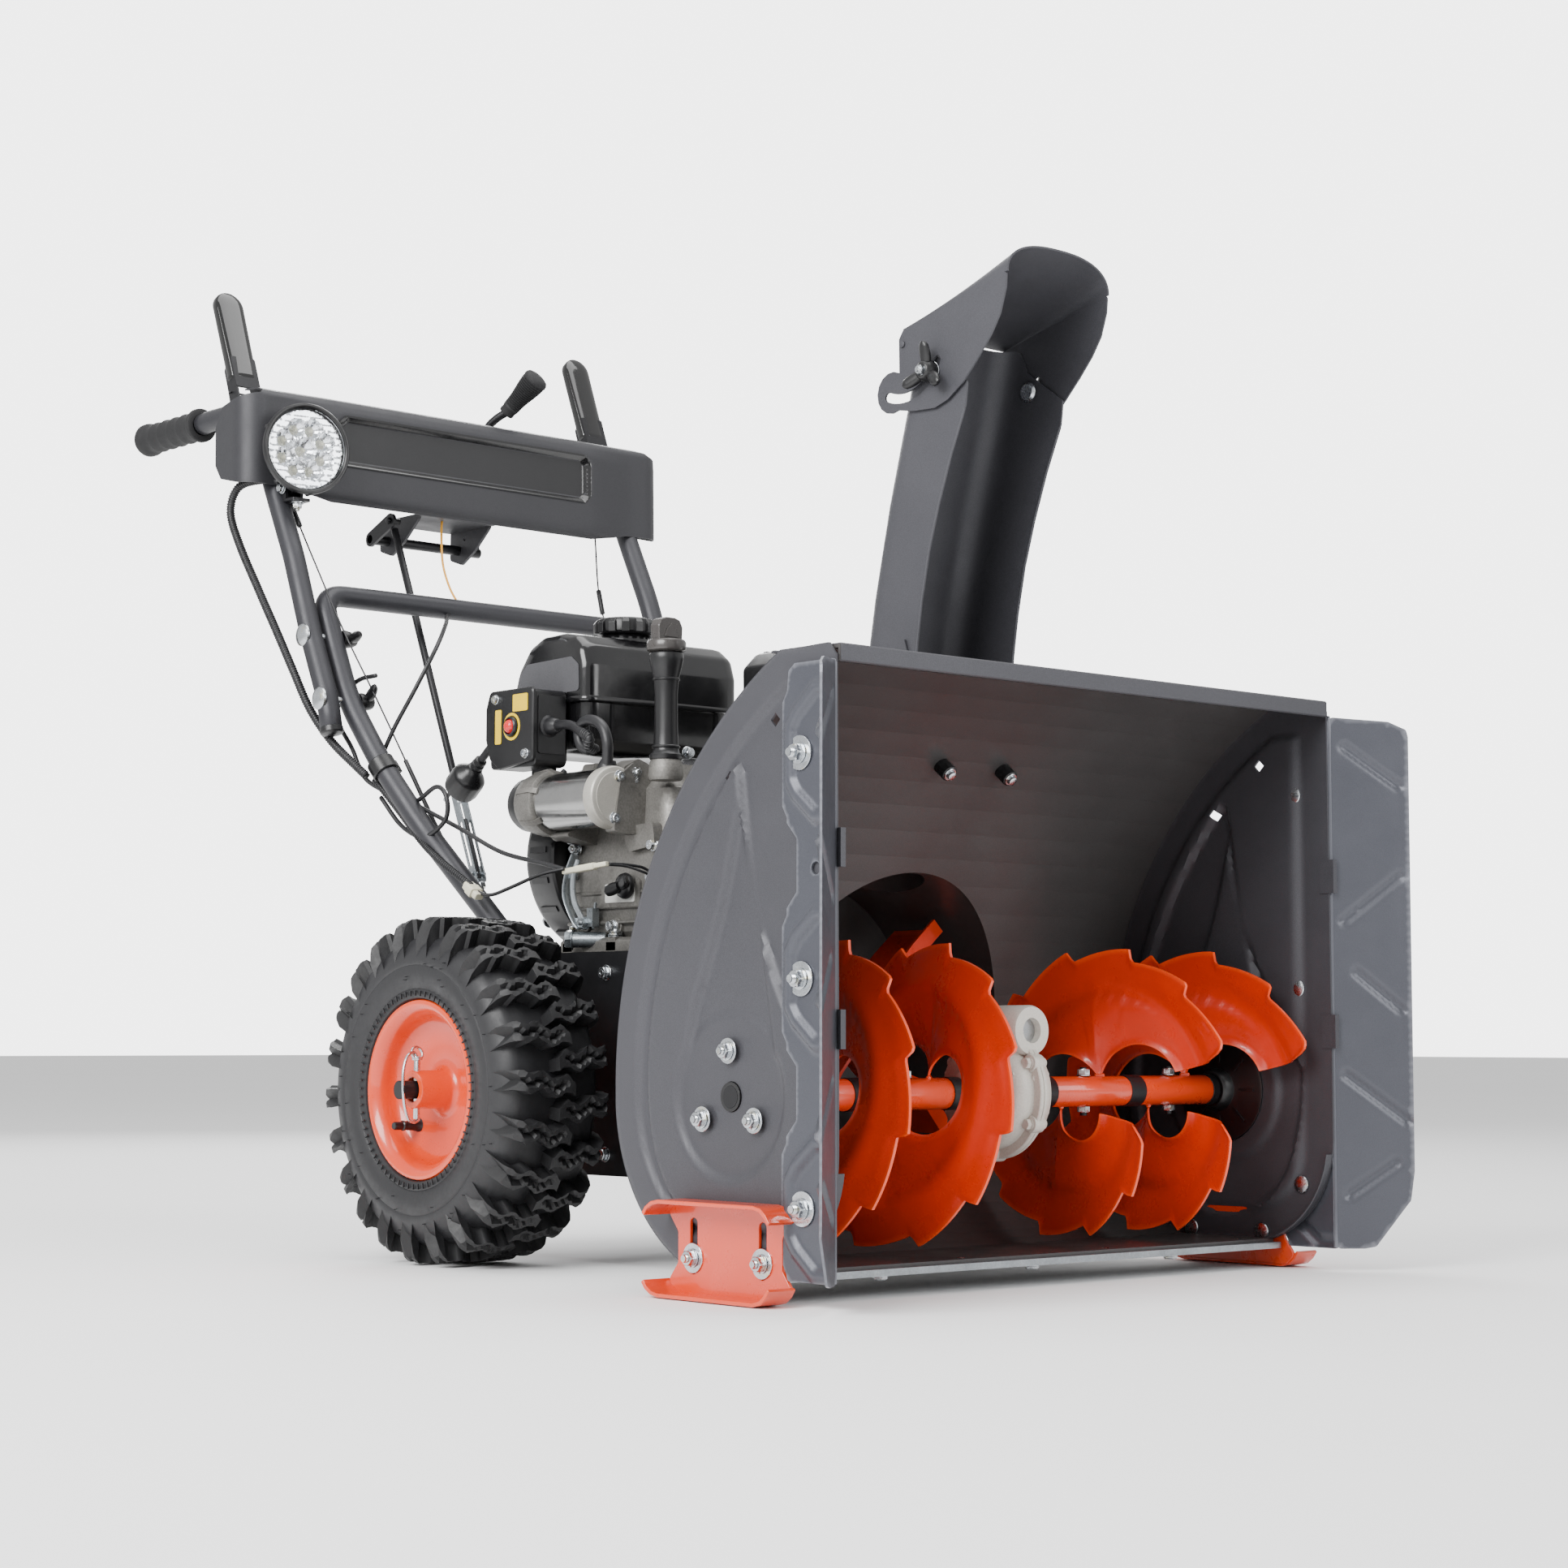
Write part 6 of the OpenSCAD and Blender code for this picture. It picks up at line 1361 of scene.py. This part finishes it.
mk_ = to((-92.6, -56, 394), (-1, 0, 0), up=(0, 0.35, 1))
b.lathe([(0, 0), (9, 0), (9, 3), (13.4, 4.4), (14.2, 7), (13, 10.6), (9, 12.4), (0, 13)], 30, mk_)
for q in (0, 180):
    rings = []
    for t in np.linspace(0, 1, 9):
        w_ = 5.4 + 1.8 * sin(pi * t); c = 2 + 17 * t; zc = 13 + 6.0 * t; th_ = 4.6 - 1.2 * t
        if t > 0.98: w_ *= 0.62; th_ *= 0.62
        rings.append([(c, w_ * cos(rad(e)), zc + th_ * sin(rad(e))) for e in range(0, 360, 30)])
    b.loft(rings, mk_ @ R(q, "Z"))
b.done("side_wing_knob", "black", "choke_knob", "black_plastic", ["choke_knob"], angle=50)

# recoil shroud at the back
b = Build()
CRZ = 431
mr = to((0, 62, CRZ), (0, 1, 0))
def recoil_notch(a, r, z):
    # drawn in beside the starter
    w = mr @ Vector((r * cos(a), r * sin(a), z)); d = math.hypot(w.x + 118, w.z - 480)
    if r > 60 and z < 34 and d < 38: return (r - (38 - d)) / r
    return 1
b.lathe([(88, 0), (105, 0), (107.6, 2), (108, 5), (107.6, 42), (105, 49), (99, 54), (92, 56), (89.6, 57.4), (88, 60), (87.6, 70), (85, 76), (79, 78), (44, 78), (42, 77), (40.6, 74), (40, 66), (0, 65), (0, 58), (80, 56), (84, 40), (88, 10)], 110, mr, mod=recoil_notch)
for k in range(28):
    a = 360 / 28 * k
    m = mr @ R(a, "Z")
    b.loft([[(50, -1.6, 77), (50, 1.6, 77), (50, 1.2, 81), (50, -1.2, 81)], [(78, -2.6, 77), (78, 2.6, 77), (78, 2.0, 81), (78, -2.0, 81)]], m)
for k in range(20):
    a = 18 * k + 4
    if 150 < a < 196: continue
    m = mr @ R(a, "Z") @ T(107.2, 0, 24) @ R(90, "Y")
    b.box((-14, -3.4, -0.6), (14, 3.4, 2.2), m)
b.ring(46, 50, 76, 82, 64, mr, 0.8); b.ring(77, 81, 76, 82, 64, mr, 0.8)
b.done("recoil_shroud", "black", "machine", "black_plastic", ["recoil_housing"], angle=35)
b = Build()
for a in (45, 135, 225, 315): b.hexhead(mr @ T(97 * cos(rad(a)), 97 * sin(rad(a)), 55), 9, 5, washer=8)
b.done("recoil_bolts", "zinc", "machine")

# fuel tank
b = Build()
def tank_ring(x, d):
    """Section of the upper tank across Y and Z, drawn in by d."""
    o = [(15 + d, 603), (15 + d, 640 - d * 0.4), (22 + d, 663 - d), (38 + d, 675 - d), (64, 679.5 - d), (96, 679 - d), (124 - d, 668 - d), (142 - d, 646 - d), (150 - d, 622 - d * 0.6), (151 - d, 603)]
    return [(x, q[0], q[1]) for q in fillet(o, [0, 14, 14, 18, 20, 20, 20, 14, 8, 0], 6)]
xs = [(-99.5, 15), (-99.2, 10), (-97.6, 5.5), (-94, 2.4), (-88, 0.7), (-80, 0), (-30, 0), (50, 0), (104, 0), (112, 0.8), (117, 2.6), (120, 6), (121.2, 11), (121.4, 16)]
b.loft([tank_ring(x, d) for x, d in xs])
b.loft([ringz(-98, 16, 120, 150, 16, 598.5), ringz(-101, 13, 122.6, 153, 17, 600), ringz(-101.6, 12.6, 123, 153.4, 17, 602.5), ringz(-100.4, 14, 122, 152, 16, 605.5)])
b.loft([ringz(-84, 30, 104, 136, 16, 545), ringz(-92, 22, 111, 143, 20, 549), ringz(-95, 19, 114, 146, 20, 560), ringz(-96, 18, 115, 147, 18, 600)])
b.lathe([(0, 0), (30, 0), (30, 3), (28.4, 6), (27.4, 11), (26, 12), (0, 12)], 48, to((0, 70, 673), (0, 0, 1)))
for x in (-60, 90):     # moulded strengthening ribs along the lower half
    b.box((x - 2, 16.2, 556), (x + 2, 20, 598))
for y in (60, 104): b.box((-97.4, y - 2, 556), (-93, y + 2, 598))
b.done("tank_shell", "tank", "machine", "tank_plastic", ["fuel_tank"], angle=50)
b = Build()
DEC = fillet([(26, 611), (138, 611), (136, 634), (120, 648), (40, 650), (27, 640)], 6, 4)
b.sheet(DEC, 0.8, [], 6.0, lambda p, h: np.column_stack([-100.1 - h, p[:, 0], p[:, 1]]), lambda p: 0.2 + 0 * p[:, 0], edge=4)
b.done("tank_blank_decal", "decal", "machine")
b = Build()
b.lathe([(0, 0), (30, 0), (32, 1.5), (33, 3), (33.4, 14), (31.6, 17.4), (27, 18.6), (24, 18.8), (22, 17.4), (0, 17.0)], 84, to((0, 70, 684.4), (0, 0, 1)))
for k in range(14):
    a = 360 / 14 * k; m = T(0, 70, 684.4) @ R(a, "Z")
    b.loft([[(29, -5, 1.0), (36.4, -4.2, 1.0), (36.4, 4.2, 1.0), (29, 5, 1.0)], [(29, -5, 12), (36.8, -4.2, 12), (36.8, 4.2, 12), (29, 5, 12)], [(27, -4.4, 17.4), (33, -3.6, 16.6), (33, 3.6, 16.6), (27, 4.4, 17.4)]], m)
b.done("tank_cap", "black", "fuel_cap", "black_plastic", ["fuel_cap"], angle=30, bevel=0.7)

# oil filler
b = Build()
mo = to((-90, -112, 526), (0, 0, 1))
b.lathe([(8, 0), (17, 0), (17.6, 1), (17.6, 5), (14.6, 7.4), (13.6, 12), (12.6, 30), (12.2, 70), (13.4, 86), (16.4, 98), (18.2, 106), (18.6, 112), (17.4, 113.8), (14, 114), (13, 112), (8, 110)], 48, mo)
b.ring(12.8, 15.2, 12, 15, 40, mo, 0.8); b.ring(13, 14.6, 84, 87, 40, mo, 0.8)
b.done("filler_neck", "black", "machine", "black_plastic", ["oil_filler_tube"], angle=40)
b = Build()
mo = to((-90, -112, 640.3), (0, 0, 1))
b.lathe([(0, 0), (17, 0), (20.4, 2), (21, 4), (21, 10.6), (19.6, 13), (16.4, 14), (0, 14)], 48, mo)
o = fillet([(-16, 13), (-16.6, 28), (-13, 35), (-6, 37.2), (6, 37.2), (13, 35), (16.6, 28), (16, 13)], [0, 3, 3, 4, 4, 3, 3, 0], 4)
b.loft([[(q[0] * 0.94, -7.6, q[1] - 0.8) for q in o], [(q[0], -6.2, q[1]) for q in o], [(q[0], 6.2, q[1]) for q in o], [(q[0] * 0.94, 7.6, q[1] - 0.8) for q in o]], mo)
b.prism([(-9, 16), (9, 16), (5.5, 25), (0, 31), (-5.5, 25)], -8.8, -7.0, m=mo @ Matrix(((1, 0, 0, 0), (0, 0, 1, 0), (0, 1, 0, 0), (0, 0, 0, 1))))
b.done("filler_cap", "cap", "dipstick_cap", "grey_plastic", ["dipstick_cap"], angle=35, bevel=0.5)

# muffler guard
b = Build()
def mring(y, d):
    return [(q[0], y, q[1]) for q in fillet([(58 + d, 560 + d), (185 - d, 560 + d), (186 - d, 640 - d), (170 - d, 658 - d), (76 + d, 658 - d), (57 + d, 640 - d)], 9, 4)]
b.loft([mring(-62, 8), mring(-62.6, 4), mring(-66, 1), mring(-72, 0), mring(-168, 0), mring(-176, 1.4), mring(-180, 6), mring(-180.4, 14)])
for k in range(7):    # louvre bars on the top and outer side
    y = -160 + 14 * k
    b.box((84, y, 657), (164, y + 6, 660.4)); b.box((184.6, y, 580), (188.2, y + 6, 634))
for k in range(5):
    b.box((80 + 20 * k, -183, 578), (88 + 20 * k, -179, 636))
b.done("muffler_guard", "black", "machine", "black_plastic", ["muffler_cover"], angle=35, bevel=0.5)
b = Build()
for x in (66, 178):
    for z in (570, 648): b.hexhead(to((x - (x > 100) * 4 + (x < 100) * 4, -180, z - (z > 600) * 12 + 4), (0, -1, 0)), 8, 4, washer=6)
b.done("muffler_screws", "zinc", "machine")

# electric starter
b = Build()
ms = to((-122, -69, 487), (0, 1, 0))
b.lathe([(0, 14), (31.4, 14), (31.4, 108), (0, 108)], 72, ms)
b.done("starter_can", "starter", "machine", "cast_alloy", ["starter_motor"], angle=30)
b = Build()
b.lathe([(0, 0.2), (30.4, 0.2), (32.2, 0.9), (33.4, 2.4), (34, 5), (34, 12), (33.4, 15.6), (31, 16.4), (0, 16.4)], 72, ms)
b.lathe([(0, 0), (27, 0), (27.4, 0.3), (27.4, 1), (0, 1)], 60, ms @ T(0, 0, -0.4))
b.done("starter_end_cap", "endcap", "machine", angle=25)
b = Build()
b.lathe([(24, 106), (33, 106), (35.6, 108), (36, 111), (35, 128), (32, 140), (30, 142), (24, 142)], 60, ms @ T(0, 0, 0))
for a in (20, 80, 140, 200, 260, 320):
    m = ms @ R(a, "Z"); b.loft([[(30, -3, 100), (33, -3, 100), (33, 3, 100), (30, 3, 100)], [(30, -3, 112), (37.6, -3, 110), (37.6, 3, 110), (30, 3, 112)], [(30, -3, 138), (35, -3, 134), (35, 3, 134), (30, 3, 138)]], m)
for a in (130, 250):
    b.cyl(7, 102, 122, 24, ms @ T(36 * cos(rad(a)), 36 * sin(rad(a)), 0), 1)
# bracket between starter and engine
b.prism(fillet([(-132, 450), (-84, 440), (-76, 462), (-86, 470), (-116, 458)], 5, 4), 8, 40, m=XZM)
b.prism(fillet([(-108, 500), (-84, 508), (-74, 524), (-92, 530), (-112, 520)], 5, 4), -68, -40, m=XZM)
b.prism(fillet([(-98, 500), (-68, 500), (-68, 528), (-86, 532)], 5, 4), 14, 34, m=XZM)
b.done("starter_gear_housing", "cast", "machine", angle=38, bevel=0.6)
b = Build()
b.lathe([(0, 160.4), (22, 160), (27, 158), (29.6, 153), (30.2, 141), (0, 141)], 60, ms)
b.done("starter_rear_cap", "black", "machine", angle=30)
b = Build()
for sz in (-1, 1):
    m = ms @ T(0, 0, 0) @ Matrix.Identity(4)
    p0 = (-122 + sz * 3, -69, 487 + sz * 22.5)
    mm_ = to(p0, (0, -1, 0))
    b.ring(2.6, 6.6, -0.4, 1.2, 24, mm_, 0.3)
    b.lathe([(0, 4.0), (2.2, 3.0), (2.4, 5.2), (4.6, 5.2), (5.2, 4.4), (5.2, 0.8), (0, 0.8)], 20, mm_)
b.hexhead(to((-96, -66, 515), (-0.2, -1, 0)), 10, 6, washer=7.5, tip=4)
b.hexhead(to((-100, 24, 456), (-1, 0, -0.3)), 10, 6, washer=7.5, tip=3)
b.hexhead(to((-92, 36, 438), (-1, 0, 0)), 10, 6, washer=7.5, tip=3)
b.done("starter_screws", "zinc", "machine")

# switch box with the mains inlet
b = Build()
def brx(x, d): return [(x, q[0], q[1]) for q in fillet([(46 + d, 527 + d), (128 - d, 527 + d), (128 - d, 612 - d), (46 + d, 612 - d)], 7, 4)]
b.loft([brx(-98.5, 3), brx(-101, 1), brx(-104, 0), brx(-143, 0), brx(-144, 0.8), brx(-144.2, 2)])
b.loft([[(x_, q[0], q[1]) for q in fillet([(44.6 + d, 533 + d), (106, 525.6 + d), (124 - d, 538 + d), (131 - d, 560), (131 - d, 594), (124 - d, 613.6 - d), (44.6 + d, 613.6 - d)], 6, 4)] for x_, d in ((-144, 1.0), (-144.8, 0), (-147.6, 0), (-149, 1.2), (-149.2, 3))])
b.prism(rrect(-141, 541, -104, 605, 4), 44.4, 47.2, m=XZM)       # pressed panel of the front
b.lathe([(0, 0), (18.5, 0), (19.5, 3), (19.5, 22), (17, 26), (13, 27), (0, 27)], 36, to((-122, 106, 574), (0, 1, -0.12)))
for i in range(4): b.ring(8, 10.4 - i, 26 + 4 * i, 28.6 + 4 * i, 28, to((-122, 106, 573), (0, 1, -0.3)), 0.8)
b.lathe([(0, 26), (8.6, 26), (6, 44), (4.6, 46), (0, 46)], 28, to((-122, 106, 573), (0, 1, -0.3)))
b.box((-112, 60, 517), (-104, 92, 527.5))
b.lathe([(8.2, -0.2), (11.6, -0.2), (11.8, 1.6), (10.4, 4.2), (8.9, 5.0), (8.4, 4.2), (8.2, 2)], 36, to((-149.2, 82, 572), (-1, 0, 0)))
b.done("switch_housing", "black", "machine", "black_plastic", ["switch_box"], angle=35, bevel=0.5)
b = Build()
b.lathe([(11.9, -0.4), (15.2, -0.4), (15.2, 0.5), (11.9, 0.5)], 36, to((-149.2, 82, 572), (-1, 0, 0)))
b.prism(rrect(53, 588, 80, 607, 2), -149.9, -148.9, m=YZM)
b.prism(rrect(101, 554, 112, 592, 2), -149.9, -148.9, m=YZM)
b.done("plain_plates", "yellow", "machine", bevel=0.15)
b = Build()
b.lathe([(0, 8.6), (3.4, 8.2), (6.2, 6.6), (7.7, 3.8), (7.9, 1.6), (7.9, -14), (0, -14)], 36, to((-149.2, 82, 572), (-1, 0, 0)))
b.done("push_button", "red", "start_button", "red_plastic", ["start_button"], angle=40)
b = Build()
for y, z in ((112, 604), (57, 541)):
    mm_ = to((-149.2, y, z), (-1, 0, 0))
    b.ring(2.4, 5.6, -0.3, 0.9, 22, mm_, 0.3); b.lathe([(0, 2.6), (1.9, 2.2), (2.1, 4.0), (4.2, 3.6), (4.8, 2.4), (4.8, 0.6), (0, 0.6)], 20, mm_)
b.hexhead(to((-108, 76, 517), (0, 0, -1)), 9, 5, washer=7)
b.done("switch_screws", "zinc", "machine")

# thick lead from the box to the starter, with boots and a spring sleeve
LP = catmull([(-126, 40, 571), (-127, 22, 571), (-128, 4, 569), (-132, -20, 560), (-134, -36, 552), (-130, -30, 544), (-118, -26, 541)], 8)
LQ = catmull([(-124, -54, 516), (-126, -58, 530), (-128, -60, 545), (-128, -54, 560), (-128, -42, 569), (-128, -26, 572), (-127, -12, 567), (-126, -8, 556), (-126, -14, 545), (-124, -26, 540)], 9)
b = Build()
b.tube(LP, 5.2, 16); b.tube(LQ, 6.0, 18)
b.coil(LP[int(len(LP) * 0.55):], 5.0, 1.3, 3.6, seg=8, per=10)
b.lathe([(0, -2), (12.4, -2), (12.4, 1.6), (10, 3.2), (9.4, 9), (7.2, 17), (6.4, 17.8), (0, 17.8)], 30, to((-126, 46, 571), (0, -1, 0)))
b.lathe([(0, -3), (13, -3), (12.6, 4), (10, 15), (8, 20), (0, 20)], 30, to((-122, -50, 508), (0, -0.24, 1)))
b.done("starter_lead", "cable", "machine", angle=50)
b = Build()   # second lead behind the box and the wire bundle under it
b.tube(catmull([(-104, 100, 527), (-106, 96, 516), (-110, 80, 508), (-112, 66, 510), (-108, 52, 516), (-104, 44, 524)], 8), 3.4, 12)
b.tube(catmull([(-98, -96, 408), (-112, -98, 412), (-130, -94, 414), (-150, -92, 414)], 8), 1.6, 10)
b.tube(catmull([(-98, -100, 402), (-112, -104, 406), (-130, -96, 412), (-150, -92, 413)], 8), 1.4, 10)
b.done("short_leads", "cable", "machine", angle=50)

# chassis, belt cover, with their screws
finish_node("belt_cover", "black"); finish_node("chassis_box", "blackmetal")
b = Build()
for sx in (-1, 1):
    for y, z in ((-196, 300), (-150, 300), (-100, 300), (-20, 300), (52, 300), (-196, 110), (-100, 112), (52, 112)):
        b.hexhead(to((sx * 158, y, z), (sx, 0, 0)), 11, 5, washer=8)
    for y, z in ((-34, 203), (34, 203)):
        b.hexhead(to((sx * 158, y, z), (sx, 0, 0)), 11, 5, washer=8)
b.done("chassis_bolts", "zinc", "machine")

# ---------------------------------------------------------------- stage and light
def plane(name, z, size, mat):
    me = bpy.data.meshes.new(name)
    n = 24; v = []; f = []
    for i in range(n + 1):
        for j in range(n + 1):
            v.append(((i / n - 0.5) * size, (j / n - 0.5) * size, z))
    for i in range(n):
        for j in range(n):
            f.append((i * (n + 1) + j, (i + 1) * (n + 1) + j, (i + 1) * (n + 1) + j + 1, i * (n + 1) + j + 1))
    me.from_pydata(v, [], f)
    o = bpy.data.objects.new(name, me); bpy.context.scene.collection.objects.link(o)
    me.materials.append(mat)
    return o
fl = material("floor_white", (0.93, 0.93, 0.93), 0.75, 0.0, grain=(300, 0.0, 0.0), mottle=(0.6, 0.01), rvar=0.04, spec=0.15)
plane("floor", -0.0006, 60.0, fl)

def area(name, loc, target, size, power, color=(1, 1, 1), sy=None):
    d = bpy.data.lights.new(name, "AREA"); d.energy = power; d.size = size; d.color = color
    if sy: d.shape = "RECTANGLE"; d.size_y = sy
    o = bpy.data.objects.new(name, d); bpy.context.scene.collection.objects.link(o)
    o.location = loc
    o.rotation_euler = (Vector(target) - Vector(loc)).to_track_quat("-Z", "Y").to_euler()
    return o
area("key_left", (-3.2, -0.9, 2.3), (0, 0, 0.45), 2.4, 205, sy=1.8)
area("top", (0.2, -0.3, 3.4), (0, 0, 0.4), 2.6, 80)
area("fill_front", (0.9, -3.4, 1.5), (0, -0.2, 0.45), 1.6, 42)
area("rim_back", (1.6, 3.0, 2.2), (0, 0, 0.6), 1.8, 70)
w = bpy.data.worlds.new("studio"); bpy.context.scene.world = w; w.use_nodes = True
nt = w.node_tree
bg = nt.nodes["Background"]
bg2 = nt.nodes.new("ShaderNodeBackground"); mixs = nt.nodes.new("ShaderNodeMixShader"); lp = nt.nodes.new("ShaderNodeLightPath")
bg.inputs[0].default_value = (1, 1, 1, 1); bg.inputs[1].default_value = 0.95
bg2.inputs[0].default_value = (1, 1, 1, 1); bg2.inputs[1].default_value = 4.5
nt.links.new(lp.outputs["Is Camera Ray"], mixs.inputs[0]); nt.links.new(bg.outputs[0], mixs.inputs[1]); nt.links.new(bg2.outputs[0], mixs.inputs[2])
nt.links.new(mixs.outputs[0], nt.nodes["World Output"].inputs[0])

# ---------------------------------------------------------------- finish
bpy.context.view_layer.update()
